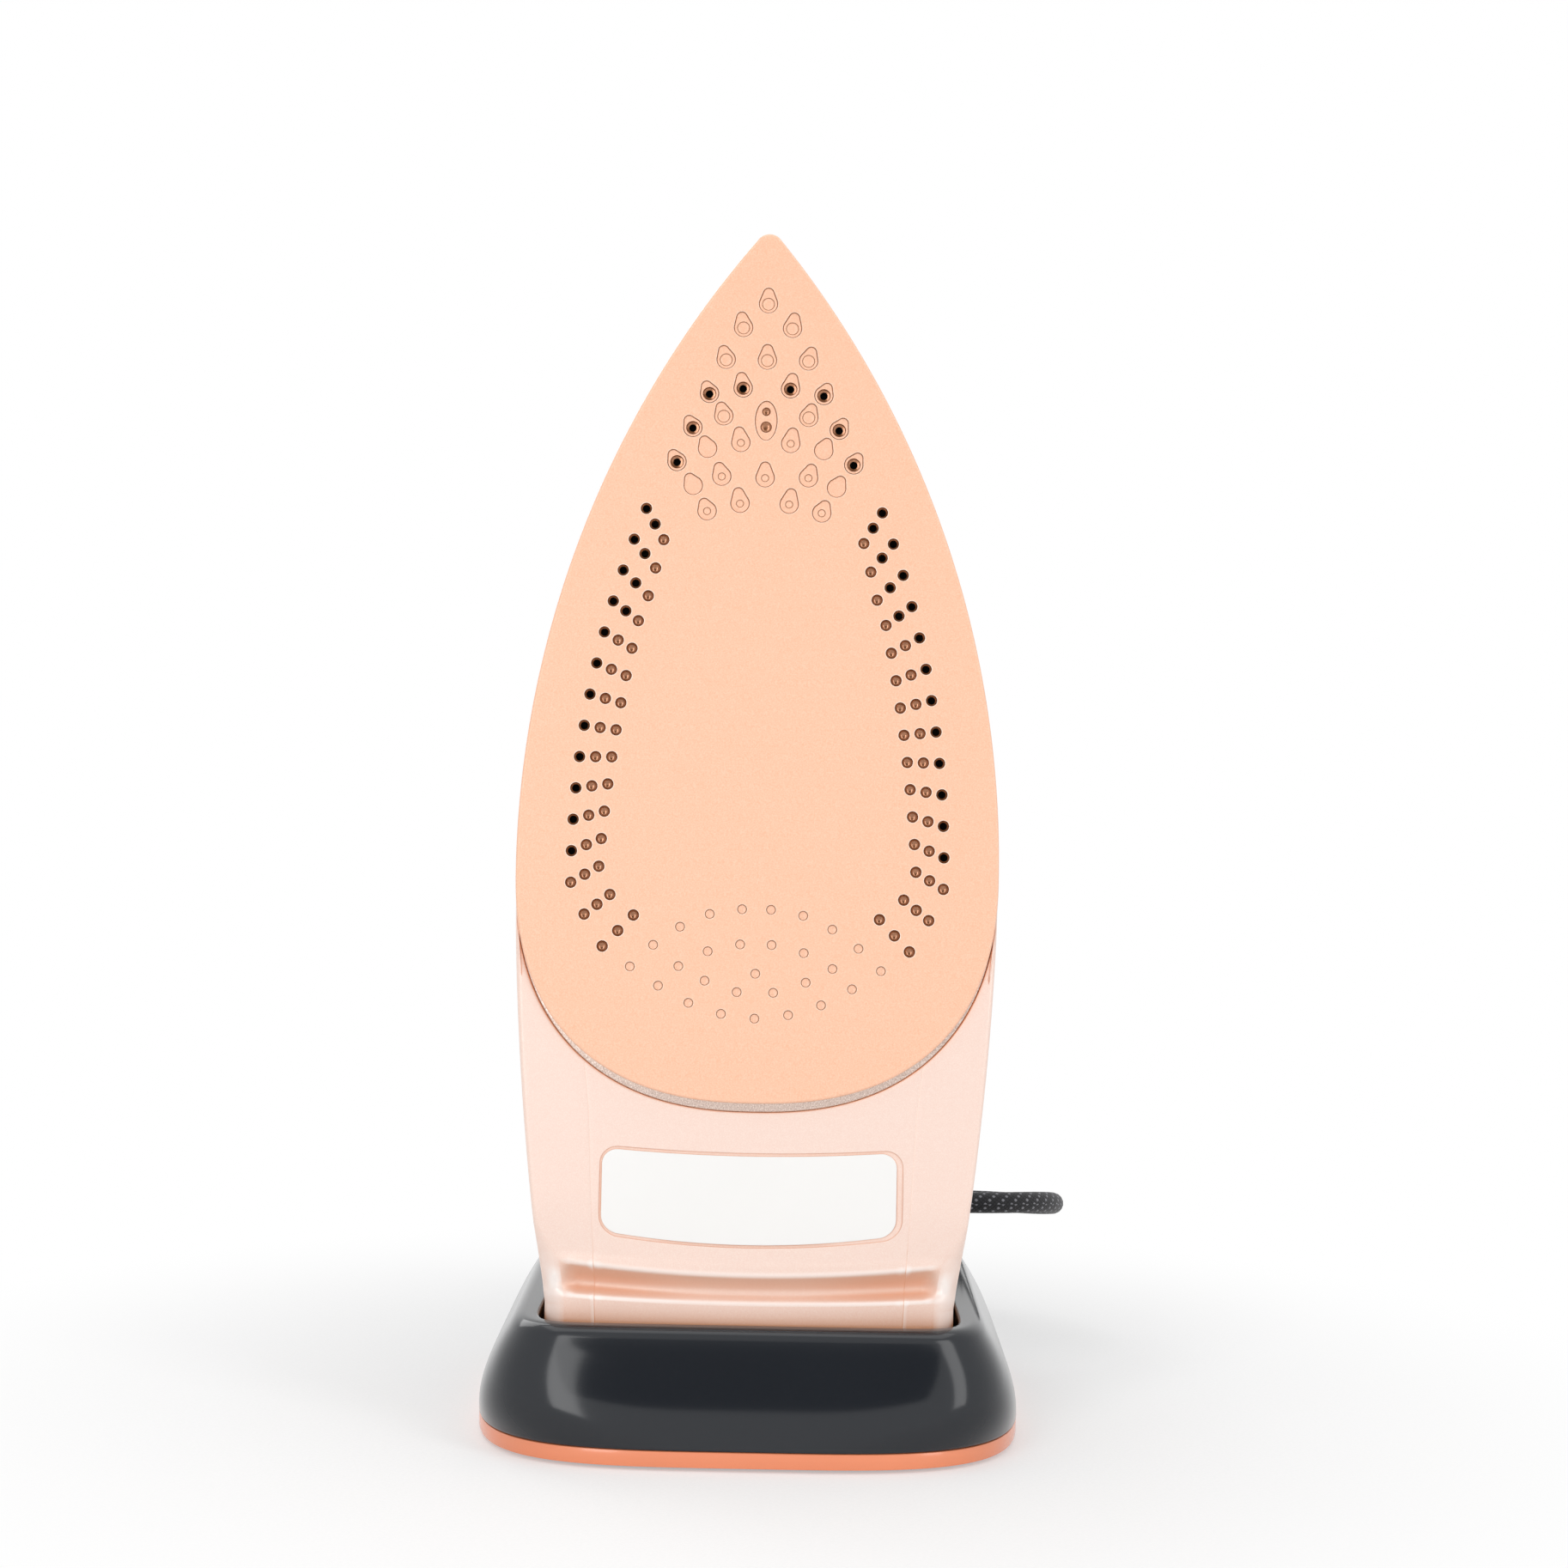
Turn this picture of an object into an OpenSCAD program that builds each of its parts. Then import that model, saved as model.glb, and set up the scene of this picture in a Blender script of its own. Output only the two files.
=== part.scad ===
// Cordless steam iron standing on its charging dock, with the dock's mains cord.
// Frame: X across, Y from the soleplate back to the handle, Z up. The origin is on the table,
// halfway between the front of the dock and the back of the handle.
// Most iron pieces are drawn in the iron's own frame: x across, y from the working face of the
// sole into the body, z from the heel (0) to the tip, and are then stood in the dock.

/* [Soleplate] */
// Half of the widest part of the sole
sole_half_w = 58.5; // [50:0.5:66]
// Radius of the two long curves that meet at the tip
ogive_r = 243; // [225:1:260]
// Radius of the tip
tip_r = 3.5; // [2:0.5:5]
// Length of the rounded rear end, behind the widest part
rear_l = 56.5; // [48:0.5:66]
// Thickness of the coated sole sheet
sole_t = 1.6; // [1.2:0.1:2]
// Radius of a steam hole
steam_r = 0.95; // [0.7:0.05:1.2]
// Radius of a steam hole's countersink
sink_r = 1.3; // [1.25:0.05:1.5]
// Depth of the aluminium casting behind the sheet
cast_d = 12; // [11:0.5:14]

/* [Body] */
// Distance from the end of the heel to the rear edge of the sole
heel_l = 74; // [72:0.5:80]
// Half of the heel's width where it stands in the dock
foot_half_w = 49.5; // [44:0.5:52]
// Depth of the foot, from the sole side to its back
foot_d = 88; // [84:1:92]
// Wall of the moulded shells
wall = 2; // [1.6:0.1:2.6]
// Gap between neighbouring shells
seam = 0.4; // [0.3:0.05:0.6]
// Depth of the pink skirt at the heel
skirt_d = 42; // [38:0.5:46]
// Depth of the pink skirt at the tip
nose_d = 9; // [8:0.5:12]
// Depth from the working face to the rim of the water tank
tank_d = 62; // [58:1:66]

/* [Handle] */
// Depth from the working face to the middle of the grip
grip_d = 122; // [118:1:128]
// Width of the grip
grip_w = 36; // [30:1:40]
// Thickness of the grip
grip_t = 26; // [22:1:30]
// Distance from the heel to the front end of the grip
grip_end = 196; // [186:1:204]
// Radius of the temperature dial
dial_r = 22; // [18:0.5:25]
// Travel of the two buttons
button_travel = 4; // [2:0.5:5]

/* [Dock] */
// Width of the dock at its foot
dock_w = 135; // [126:1:150]
// Depth of the dock at its foot
dock_d = 150; // [146:1:170]
// Height of the dock's rim
rim_h = 31.6; // [30:0.2:36]
// Height of the coloured band
band_h = 4; // [3:0.5:6]
// Gap between the foot of the iron and the pocket, at each side
pocket_gap = 1.5; // [0.8:0.1:2]
// Angle at which the iron leans back in the dock
lean = 5; // [3:0.5:7]
// Height at which the foot of the iron is held
seat_h = 10.4; // [10:0.1:12]

/* [Cord] */
// Diameter of the braided cord
cord_d = 6; // [5:0.5:7]

/* [Hidden] */
$fn = 48;

// Colours
pearl_pink = [0.97, 0.82, 0.75];
peach = [0.98, 0.79, 0.66];
charcoal = [0.16, 0.17, 0.19];
coral = [0.93, 0.50, 0.36];
smoke = [0.45, 0.42, 0.44, 0.6];
alloy = [0.72, 0.70, 0.68];
steel = [0.80, 0.80, 0.82];
brass = [0.80, 0.65, 0.30];
plain_white = [0.96, 0.96, 0.96];
rubber_black = [0.08, 0.08, 0.08];

fit = 0.05;               // running clearance on a radius
clear = 0.3;              // gap between bodies that move apart
tiny = 0.1;               // seating gap between pieces of one body

// ---------- Outlines in the plane of the sole: x across, z along ----------

zc = heel_l + rear_l;                       // where the sole is widest
ogive_x = sole_half_w - ogive_r;            // centre of the right-hand side curve
rear_n = 2.4;                               // squareness of the rear end
function tip_centre(d) = zc + sqrt(pow(ogive_r - d - tip_r, 2) - pow(ogive_x, 2));
function tip_angle(d) = acos(-ogive_x / (ogive_r - d - tip_r));
tip_z = tip_centre(0) + tip_r;

function arc(cx, cz, r, a0, a1, n) =
    [for (i = [0 : n]) let (a = a0 + (a1 - a0) * i / n) [cx + r * cos(a), cz + r * sin(a)]];
// The other half of a symmetrical outline, so that it runs from the tip round to the tip.
function both_sides(half) =
    concat(half, [for (i = [len(half) - 2 : -1 : 1]) [-half[i][0], half[i][1]]]);
// Right half of the sole's outline, d inside the edge, with its rear end moved back by extra.
function sole_half(d, extra = 0) = concat(
    arc(0, tip_centre(d), tip_r, 90, tip_angle(d), 4),
    [for (i = [1 : 14]) let (a = tip_angle(d) * (1 - i / 14))
        [ogive_x + (ogive_r - d) * cos(a), zc + (ogive_r - d) * sin(a)]],
    [for (i = [1 : 15]) let (f = 6 * i)
        [(sole_half_w - d) * pow(cos(f), 2 / rear_n),
            zc - (rear_l - d + extra) * pow(sin(f), 2 / rear_n)]]);
module sole_face(d, extra = 0) polygon(both_sides(sole_half(d, extra)));

// Half-width of the body at a height below the widest part.
foot_top = 25;                              // above this the body widens
function body_half_w(z) = let (t = min(1, max(0, (zc - z) / (zc - foot_top))))
    foot_half_w + (sole_half_w + 0.6 - foot_half_w) * (1 - pow(t, 1.9));
body_n = 14;                                // squareness of the heel's corners
heel_steps = 26;
foot_r = 5;                                 // radius of the foot's upright front corners
edge_r = 1.2;                               // radius of the skirt's edge above the foot
function near_foot(z) = min(1, max(0, (46 - z) / 12));
// Right half of the body's outline, d inside its surface, or e inside it at the foot.
function body_half(d, e = -1) = concat(
    arc(0, tip_centre(d - 0.6), tip_r, 90, tip_angle(d - 0.6), 4),
    [for (i = [1 : 14]) let (a = tip_angle(d - 0.6) * (1 - i / 14))
        [ogive_x + (ogive_r - d + 0.6) * cos(a), zc + (ogive_r - d + 0.6) * sin(a)]],
    [for (i = [1 : heel_steps]) let (
        f = 90 * i / heel_steps,
        k = d + ((e < 0 ? d : e) - d) * near_foot(zc - zc * min(1, tan(f) * sole_half_w / zc)),
        a = sole_half_w + 0.6 - k, b = zc - k,
        r = pow(pow(cos(f) / a, body_n) + pow(sin(f) / b, body_n), -1 / body_n),
        z = zc - r * sin(f))
        [i == heel_steps ? 0 : r * cos(f) * (body_half_w(z) - k) / a, z]]);
// The same number of points round the opening for the sole, seen from the same centre.
function opening_half(d, extra) = concat(
    arc(0, tip_centre(d), tip_r, 90, tip_angle(d), 4),
    [for (i = [1 : 14]) let (a = tip_angle(d) * (1 - i / 14))
        [ogive_x + (ogive_r - d) * cos(a), zc + (ogive_r - d) * sin(a)]],
    [for (i = [1 : heel_steps]) let (
        f = 90 * i / heel_steps, a = sole_half_w - d, b = rear_l - d + extra,
        r = pow(pow(cos(f) / a, rear_n) + pow(sin(f) / b, rear_n), -1 / rear_n))
        [i == heel_steps ? 0 : r * cos(f), zc - r * sin(f)]]);
function blend(a, b, t) = [for (i = [0 : len(a) - 1]) a[i] * (1 - t) + b[i] * t];

// Depth of the seam between the skirt and what is above it.
split_z = 70;
function split_y(z) = z < split_z ? skirt_d
    : skirt_d - (skirt_d - nose_d) * pow((z - split_z) / (tip_z - split_z), 1.6);
// Depth of the water tank's rim.
function rim_y(z) = let (t = max(0, (z - 165) / (tip_z - 165))) tank_d - 32 * pow(t, 1.7);
// A foot that is level while the iron leans.
function foot_z(y, z) = z + y * tan(lean) * max(0, 1 - z / 30);

// ---------- Skins ----------

function quad(a, b, c, d) = [[a, b, c], [a, c, d]];
// Triangles that close a symmetrical ring with level rungs across it.
function rungs(first, n, up) = let (h = n / 2) concat(
    [for (j = [1 : h - 2]) each up
        ? quad(first + j, first + j + 1, first + n - j - 1, first + n - j)
        : quad(first + n - j, first + n - j - 1, first + j + 1, first + j)],
    [up ? [first, first + 1, first + n - 1] : [first + n - 1, first + 1, first]],
    [up ? [first + h - 1, first + h, first + h + 1] : [first + h + 1, first + h, first + h - 1]]);
module skin(rings, closed) {
    m = len(rings);
    n = len(rings[0]);
    walls = [for (i = [0 : closed ? m - 1 : m - 2]) for (j = [0 : n - 1])
        each quad(i * n + j, i * n + (j + 1) % n,
            ((i + 1) % m) * n + (j + 1) % n, ((i + 1) % m) * n + j)];
    polyhedron([for (r = rings) each r],
        closed ? walls : concat(walls, rungs(0, n, false), rungs((m - 1) * n, n, true)));
}

// ---------- Placing ----------

dock_y = -10;                               // centre of the dock
sole_y = dock_y - dock_d / 2 + 13.5;        // working face of the sole, at the seat
module in_dock() translate([0, sole_y, seat_h]) rotate([-lean, 0, 0]) children();
// A shape drawn in x and z, from depth y0 to y1.
module slab(y0, y1) translate([0, y1, 0]) rotate([90, 0, 0]) linear_extrude(y1 - y0) children();
module rod(x, z, y0, y1, r) slab(y0, y1) translate([x, z]) circle(r);
module cone_at(x, z, y0, y1, r0, r1)
    translate([x, y0, z]) rotate([-90, 0, 0]) cylinder(h = y1 - y0, r1 = r0, r2 = r1);
// A shape drawn in y and z, from -w/2 to w/2 across.
module across(w) translate([-w / 2, 0, 0]) rotate([90, 0, 90]) linear_extrude(w) children();
module box(low, high) translate(low) cube(high - low);
module rounded(w, h, r) hull() for (x = [-1, 1]) for (y = [-1, 1])
    translate([x * (w / 2 - r), y * (h / 2 - r)]) circle(r, $fn = 32);

// ---------- Soleplate ----------

// Side holes stand in rows of three that follow the edge; a row swings as it goes back.
side_rows = 15;
row_from = tip_z - 68.7;                    // the foremost row
row_pitch = 7.63;
hole_edge = 13.4;                           // from the edge to the outer hole
function edge_x(z) = z > zc ? ogive_x + sqrt(ogive_r * ogive_r - pow(z - zc, 2))
    : sole_half_w * pow(1 - pow((zc - z) / rear_l, rear_n), 1 / rear_n);
function row_z(i) = row_from - row_pitch * i;
function row_x(i) = edge_x(row_z(i)) - hole_edge - (i == 13 ? 2.9 : i == 14 ? 6.1 : 0);
function row_turn(i) = 60 - 106 * i / (side_rows - 1);
function row_step(i) = i < 3 ? 4.4 : i == side_rows - 1 ? 5.3 : 3.9;
function side_hole(i, k) = [row_x(i) - k * row_step(i) * cos(row_turn(i)),
    row_z(i) - k * row_step(i) * sin(row_turn(i))];
function is_open(i, k) = (k == 0 && i < 12) || (k == 1 && i < 4);

// Teardrop recesses near the tip, as [x, distance from the tip, radius of the eye];
// an eye of 0 is a plain drop, and a negative one is a steam hole.
drops = [
    [0, 17.5, 1.6], [6, 23.5, 1.6], [10.1, 31.5, 1.6], [0, 31.5, 1.6], [14, 40, -1.7],
    [5.8, 38.5, -1.7], [17.9, 48.5, -1.7], [10.4, 45.5, 1.6], [21.6, 57, -1.7],
    [14.2, 53.6, 0], [6.1, 52, 1.1], [10.6, 60.4, 1.1], [0, 60.6, 1.1], [17.5, 62.8, 0],
    [14, 69, 1.1], [6, 67, 1.1]
];
drop_w = 2.3;                               // radius of a drop's round end
function drop_turn(x) = -min(29, abs(x) * 1.6) * sign(x);
// A drop: a round end below, drawn out to a narrower end above. The outer ones are shorter.
function drop_reach(x) = 3.35 - 0.8 * min(1, max(0, (abs(x) - 5) / 10));
function drop_outline(w, reach) = concat(
    arc(0, 0, w, -200, 20, 10), arc(0, reach, 0.42 * w, 20, 160, 5));
// Round dimples at the heel, as [x, distance from the tip].
dimples = [
    [3.5, 166], [11.3, 167.3], [18.4, 170.5], [24.8, 175], [3.8, 174.5], [11.6, 176.3],
    [0, 181.5], [18.6, 180], [12.2, 183.4], [4.4, 186], [30.3, 180.3], [23.4, 184.8],
    [16, 188.8], [8.1, 191.3], [0, 192.3]
];
module twice(x) {
    children();
    if (x > 0.01) mirror([1, 0, 0]) children();
}

module soleplate() color(peach) in_dock() difference() {
    slab(0, sole_t) sole_face(0);
    for (i = [0 : side_rows - 1]) for (k = [0 : 2]) let (p = side_hole(i, k))
        twice(p[0]) {
            cone_at(p[0], p[1], -0.05, 0.5, sink_r, steam_r);
            rod(p[0], p[1], -0.05, is_open(i, k) ? sole_t + 0.1 : 1, steam_r);
        }
    for (p = drops) twice(p[0]) {
        slab(-0.05, 0.35) translate([p[0], tip_z - p[1]]) rotate(drop_turn(p[0]))
            polygon(drop_outline(drop_w, drop_reach(p[0])));
        if (p[2] > 0) rod(p[0], tip_z - p[1], -0.05, 0.8, p[2]);
        if (p[2] < 0) rod(p[0], tip_z - p[1], -0.05, sole_t + 0.1, steam_r);
    }
    slab(-0.05, 0.35) translate([0, tip_z - 46.5]) scale([1, 1.8]) circle(2.7);
    rod(0, tip_z - 44.2, -0.05, 0.7, 1.1);
    rod(0, tip_z - 48, -0.05, 0.9, 1.45);
    for (p = dimples) twice(p[0]) rod(p[0], tip_z - p[1], -0.05, 0.4, 1.05);
}

// ---------- Heater ----------

lip_y = 3;                                  // the lip of the casting, behind the sheet
lip_back = 2.6;                             // how far the lip shows behind the heel end of the sheet
cast_in = 2.4;                              // the casting is this far inside the edge
cast_y = sole_t + cast_d;                   // back face of the casting
chamber_in = 26;                            // edge of the steam chamber
channel_y = sole_t + 2.6;                   // floor of the channel behind the steam holes
tube_r = 3.7;                               // heating element
tube_in = 17;
tube_y = cast_y - 1.8;
element_bend = 10;
element_from = -9;                          // angle on the side curve where the tube starts
bend_z = zc + sqrt(pow(ogive_r - tube_in - element_bend, 2) - pow(ogive_x, 2));
bend_a = acos(-ogive_x / (ogive_r - tube_in - element_bend));
stud_in = 8.5;
stud_zs = [zc - 18, zc + 40];
function stud(z) = [edge_x(z) - stud_in, z];
shield_y = cast_y + 4.4;
shield_t = 1;
screw_r = 1.5;

element_l = 12;                             // straight cold end of the element
// Right half of the element's line, moved o outwards, ending l past the curve.
function element_half(o, l) = concat(
    arc(0, bend_z, element_bend + o, 90, bend_a, 6),
    [for (i = [1 : 14]) let (a = bend_a + (element_from - bend_a) * i / 14)
        [ogive_x + (ogive_r - tube_in + o) * cos(a), zc + (ogive_r - tube_in + o) * sin(a)]],
    [[ogive_x + (ogive_r - tube_in + o) * cos(element_from) + l * sin(element_from),
        zc + (ogive_r - tube_in + o) * sin(element_from) - l * cos(element_from)]]);
function backwards(v) = [for (i = [len(v) - 1 : -1 : 0]) v[i]];
function flipped(v) = [for (p = v) [-p[0], p[1]]];
module element_channel() let (
    g = tube_r + 0.1, out = element_half(g, element_l + 5), in = element_half(-g, element_l + 5))
    polygon(concat(backwards(flipped(out)), out, backwards(in), flipped(in)));

module heater_casting() color(alloy) in_dock() difference() {
    union() {
        slab(sole_t, lip_y) sole_face(0.15, lip_back);
        slab(lip_y - 0.01, cast_y) sole_face(cast_in);
        for (z = stud_zs) for (s = [-1, 1])
            rod(s * stud(z)[0], z, cast_y - 0.01, shield_y, 3.5);
    }
    // steam channel behind the holes, and the chamber that feeds it
    slab(sole_t - 0.05, channel_y) difference() {
        intersection() {
            sole_face(9.5);
            translate([-80, row_z(12) - 3]) square([160, 200]);
        }
        intersection() {
            sole_face(19.5);
            translate([-80, 0]) square([160, tip_z - 62]);
        }
    }
    slab(cast_y - 6.6, cast_y + 0.1) sole_face(chamber_in);
    for (s = [-1, 1]) for (z = [zc + 20, zc + 70])
        rod(s * (edge_x(z) - chamber_in + 0.5), z, sole_t, cast_y + 0.1, 2);
    rod(0, tip_centre(chamber_in), sole_t, cast_y - 5, 2.2);
    slab(tube_y - tube_r - 0.1, cast_y + 0.1) element_channel();
    for (z = stud_zs) for (s = [-1, 1]) rod(s * stud(z)[0], z, cast_y + 0.5, shield_y + 0.1, screw_r);
    for (p = cover_holes) rod(p[0], p[1], cast_y - 5, cast_y + 0.1, screw_r);
    // the nose of the casting falls away under the skirt
    across(140) polygon([[cast_y + 9, tip_z - 32], [cast_y, tip_z - 29],
        [nose_d - 1.2, tip_z + 2], [cast_y + 9, tip_z + 2]]);
}

module heating_element() color(steel) in_dock() {
    half = element_half(0, element_l);
    cord_tube([for (p = concat(backwards(flipped(half)), [for (i = [1 : len(half) - 1]) half[i]]))
        [p[0], tube_y, p[1]]], tube_r, 12, [0, 1, 0]);
    pin = element_half(0, element_l + 5);
    for (s = [-1, 1]) translate([s * pin[len(pin) - 1][0], tube_y, pin[len(pin) - 1][1]])
        rotate([0, -s * element_from, 0]) cylinder(h = 8, r = 1.4);
}

cover_t = 1;
cover_in = chamber_in - 3.9;
cover_holes = [[0, tip_centre(chamber_in) + tip_r + 2], [-14, heel_l + cover_in + 1.9],
    [14, heel_l + cover_in + 1.9]];
inlet_z = grip_end + 11;                       // where water drops into the chamber
dial_z = zc - 10;                           // the dial, its shaft and the thermostat

module chamber_cover() color(alloy) in_dock() difference() {
    slab(cast_y + tiny, cast_y + tiny + cover_t) sole_face(cover_in);
    rod(0, inlet_z, cast_y, cast_y + 3, 2);
    for (p = cover_holes) rod(p[0], p[1], cast_y, cast_y + 3, screw_r + 0.2);
}
// A pan-head screw along y, with its head seated at depth y.
module screw(x, z, y, l, r, head) {
    rod(x, z, y - l, y + 0.01, r);
    difference() {
        rod(x, z, y, y + head, 2 * r);
        box([x - r * 1.3, y + head - 0.8, z - 0.4], [x + r * 1.3, y + head + 0.1, z + 0.4]);
        box([x - 0.4, y + head - 0.8, z - r * 1.3], [x + 0.4, y + head + 0.1, z + r * 1.3]);
    }
}
module cover_screws() color(steel) in_dock() for (p = cover_holes)
    screw(p[0], p[1], cast_y + tiny + cover_t + fit, 5, screw_r - fit, 1.6);

fuse_z = heel_l + 12;
module thermal_fuse() color(steel) in_dock() {
    translate([-8, cast_y + 2.1, fuse_z]) rotate([0, 90, 0]) cylinder(h = 16, r = 2);
    for (s = [-1, 1]) translate([s * 8, cast_y + 2.1, fuse_z]) rotate([0, s * 90, 0])
        translate([0, 0, -0.01]) cylinder(h = 8, r = 0.5);
}

stat_r = 10;
stat_y = cast_y + tiny + cover_t + fit;
stat_d = 7;
shaft_r = 3;
module thermostat() color(steel) in_dock() difference() {
    union() {
        rod(0, dial_z, stat_y, stat_y + stat_d, stat_r);
        slab(stat_y + 2, stat_y + 3) translate([-15, dial_z - 4]) square([30, 8]);
    }
    rod(0, dial_z, stat_y + 3, stat_y + stat_d + 0.1, shaft_r + fit);
}

module heat_shield() color(steel) in_dock() difference() {
    slab(shield_y + tiny, shield_y + tiny + shield_t) difference() {
        intersection() {
            sole_face(cast_in + 1);
            translate([-80, 0]) square([160, tip_z - 50]);
        }
        translate([0, dial_z]) circle(stat_r + 6.5);
        translate([0, inlet_z]) circle(8);
    }
    for (z = stud_zs) for (s = [-1, 1])
        rod(s * stud(z)[0], z, shield_y, shield_y + 3, screw_r + 0.2);
}
module shield_screws() color(steel) in_dock() for (z = stud_zs) for (s = [-1, 1])
    screw(s * stud(z)[0], z, shield_y + tiny + shield_t + fit, 4, screw_r - fit, 1.6);

// ---------- Skirt ----------

panel_y = 1.5;                              // the pink panel lies this far behind the sole
function panel_depth(p) = panel_y + 2.6 * pow(p[0] / foot_half_w, 2) * min(1, max(0, (52 - p[1]) / 24));
skirt_edge = 3.2;                           // front edge of the skirt beside the sole
function front_y(p) = let (t = min(1, max(0, (zc - p[1]) / 16))) skirt_edge * (1 - t) + panel_depth(p) * t;
function ring_at(half, y) = [for (p = both_sides(half)) [p[0], y, foot_z(y, p[1])]];
function ring_on(half, f) = [for (p = both_sides(half)) let (y = f(p)) [p[0], y, foot_z(y, p[1])]];
opening = 0.5;                              // gap round the sole

module skirt() color(pearl_pink) in_dock() difference() {
    skin([
        ring_on(body_half(0), function (p) split_y(p[1])),
        ring_on(body_half(0), function (p) 0.5 * split_y(p[1]) + 3),
        each [for (a = [0 : 22.5 : 90]) ring_on(body_half(edge_r * (1 - cos(a)), foot_r * (1 - cos(a))),
            function (p) front_y(p) + (edge_r + (foot_r - edge_r) * near_foot(p[1])) * (1 - sin(a)))],
        each [for (t = [0.35, 0.7]) ring_on(blend(body_half(edge_r, foot_r),
            opening_half(-opening, lip_back), t), function (p) front_y(p))],
        ring_on(opening_half(-opening, lip_back), function (p) front_y(p)),
        ring_on(opening_half(-opening, lip_back), function (p) front_y(p) + wall),
        ring_on(blend(body_half(wall), opening_half(0, lip_back), 0.4), function (p) front_y(p) + wall),
        ring_on(body_half(wall), function (p) front_y(p) + wall + 0.3),
        ring_on(body_half(wall), function (p) split_y(p[1]))
    ], true);
    // finger groove above the foot
    translate([0, panel_y - 2.4, 30.5]) rotate([0, 90, 0])
        translate([0, 0, 8 - foot_half_w]) cylinder(h = 2 * foot_half_w - 16, r = 3.4);
}

label_w = 71;
label_h = 21;
label_z = heel_l - 22.4;
label_t = 0.35;
module label_plate() color(plain_white) in_dock()
    slab(panel_y - label_t - fit, panel_y - fit) translate([0, label_z]) rounded(label_w, label_h, 4);

// ---------- Rear housing ----------

bend_z0 = 66.5;                             // height of the handle's root
grip_bend = 16;                             // radius of the handle's rear bend, at its middle
// Sections of the housing behind the skirt: [depth, half-width, bottom, top]
housing_sections = [
    [skirt_d + seam, foot_half_w - 0.6, 0, heel_l + 2], [foot_d - 28, foot_half_w - 2, 0, heel_l + 2],
    [foot_d - 10, foot_half_w - 5, 0, heel_l + 3], [foot_d - 3, foot_half_w - 9, 1, heel_l + 6],
    [foot_d - 0.4, foot_half_w - 16, 31.5, heel_l + 6.5], [98, 30, 42, bend_z0 + grip_t / 2 + 1.5],
    [grip_d - grip_bend - seam, grip_w / 2, bend_z0 - grip_t / 2, bend_z0 + grip_t / 2]
];
function section_half(hw, z0, z1) = let (m = (z0 + z1) / 2, h = (z1 - z0) / 2)
    [for (i = [0 : 18]) let (f = 90 - 10 * i,
        r = pow(pow(abs(cos(f)) / hw, 6) + pow(abs(sin(f)) / h, 6), -1 / 6))
        [i == 0 || i == 18 ? 0 : r * cos(f), m + r * sin(f)]];
function housing_ring(s, d) = ring_at(section_half(s[1] - d, s[2] + d, s[3] - d), s[0]);
well_w = 34;                                // contact well in the foot
well_ys = [foot_d - 30, foot_d - 12];
well_top = 20;
module rear_housing() color(charcoal) in_dock() difference() {
    skin(concat(
        [for (i = [0 : 6]) let (s = housing_sections[i])
            housing_ring([s[0] - (i == 4 ? wall : i == 5 ? 1 : 0), s[1], s[2], s[3]], wall)],
        [for (s = backwards(housing_sections)) housing_ring(s, 0)]), true);
    box([-well_w / 2, well_ys[0], -5], [well_w / 2, well_ys[1], 12]);
}
module contact_carrier() color(charcoal) in_dock() difference() {
    box([-well_w / 2 - 3, well_ys[0] - 3, 9], [well_w / 2 + 3, well_ys[1] + 3, well_top + 3]);
    box([-well_w / 2, well_ys[0], 8.9], [well_w / 2, well_ys[1], well_top]);
    for (x = contact_xs) box([x - 1.6, contact_y - 4.1, 9], [x + 1.6, contact_y + 4.1, well_top + 4]);
}
contact_xs = [-11, 0, 11];
contact_y = foot_d - 21;                             // depth of the contacts in the foot
blade_t = 1.6;
blade_w = 7;
blade_top = 17;                             // top of the dock's blades, in the iron's frame
module iron_contacts() color(brass) in_dock() for (x = contact_xs) {
    box([x - 1.5, contact_y - 4, blade_top + clear], [x + 1.5, contact_y + 4, well_top + 8]);
    for (s = [-1, 1]) box([min(x + s * (blade_t / 2 + 0.3), x + s * 1.5), contact_y - 3, 13],
        [max(x + s * (blade_t / 2 + 0.3), x + s * 1.5), contact_y + 3, blade_top + clear + 0.01]);
}

// ---------- Water tank ----------

tank_from = heel_l + 5;                     // rear wall of the tank
// The tank's outline at a share of its height: narrower and shorter towards its rim.
tank_n = 4;                                 // squareness of the tank's rear corners
function tank_half(share, d) = let (k = 1 - 0.26 * share * share) concat(
    [for (i = [0 : 18]) let (p = sole_half(d)[i])
        [p[0] * k, zc + (p[1] - zc) * (1 - 0.15 * share)]],
    [for (i = [1 : 15]) let (f = 6 * i)
        [i == 15 ? 0 : (sole_half_w - d) * k * pow(cos(f), 2 / tank_n),
            zc - (zc - tank_from - d) * pow(sin(f), 2 / tank_n)]]);
function tank_ring(share, d, lift) = [for (p = both_sides(tank_half(share, d)))
    [p[0], (1 - share) * (split_y(p[1]) + seam) + share * rim_y(p[1]) + lift, p[1]]];
sleeve_r = shaft_r + 3.2;
needle_z = inlet_z;
module water_tank() color(smoke) in_dock() difference() {
    union() {
        skin(concat(
            [for (s = [0, 0.35, 0.7, 1]) tank_ring(s, 0.3 + wall, s == 0 ? wall : 0)],
            [for (s = [1, 0.7, 0.35, 0]) tank_ring(s, 0.3, 0)]), false);
        rod(0, dial_z, split_y(dial_z) + 1.5, rim_y(dial_z) - 0.4, sleeve_r);
        rod(0, needle_z, split_y(needle_z) + 1, split_y(needle_z) + 8, 8);
    }
    rod(0, dial_z, 20, 80, shaft_r + 1);
    rod(0, needle_z, 20, split_y(needle_z) + 9, 5);
}
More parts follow.
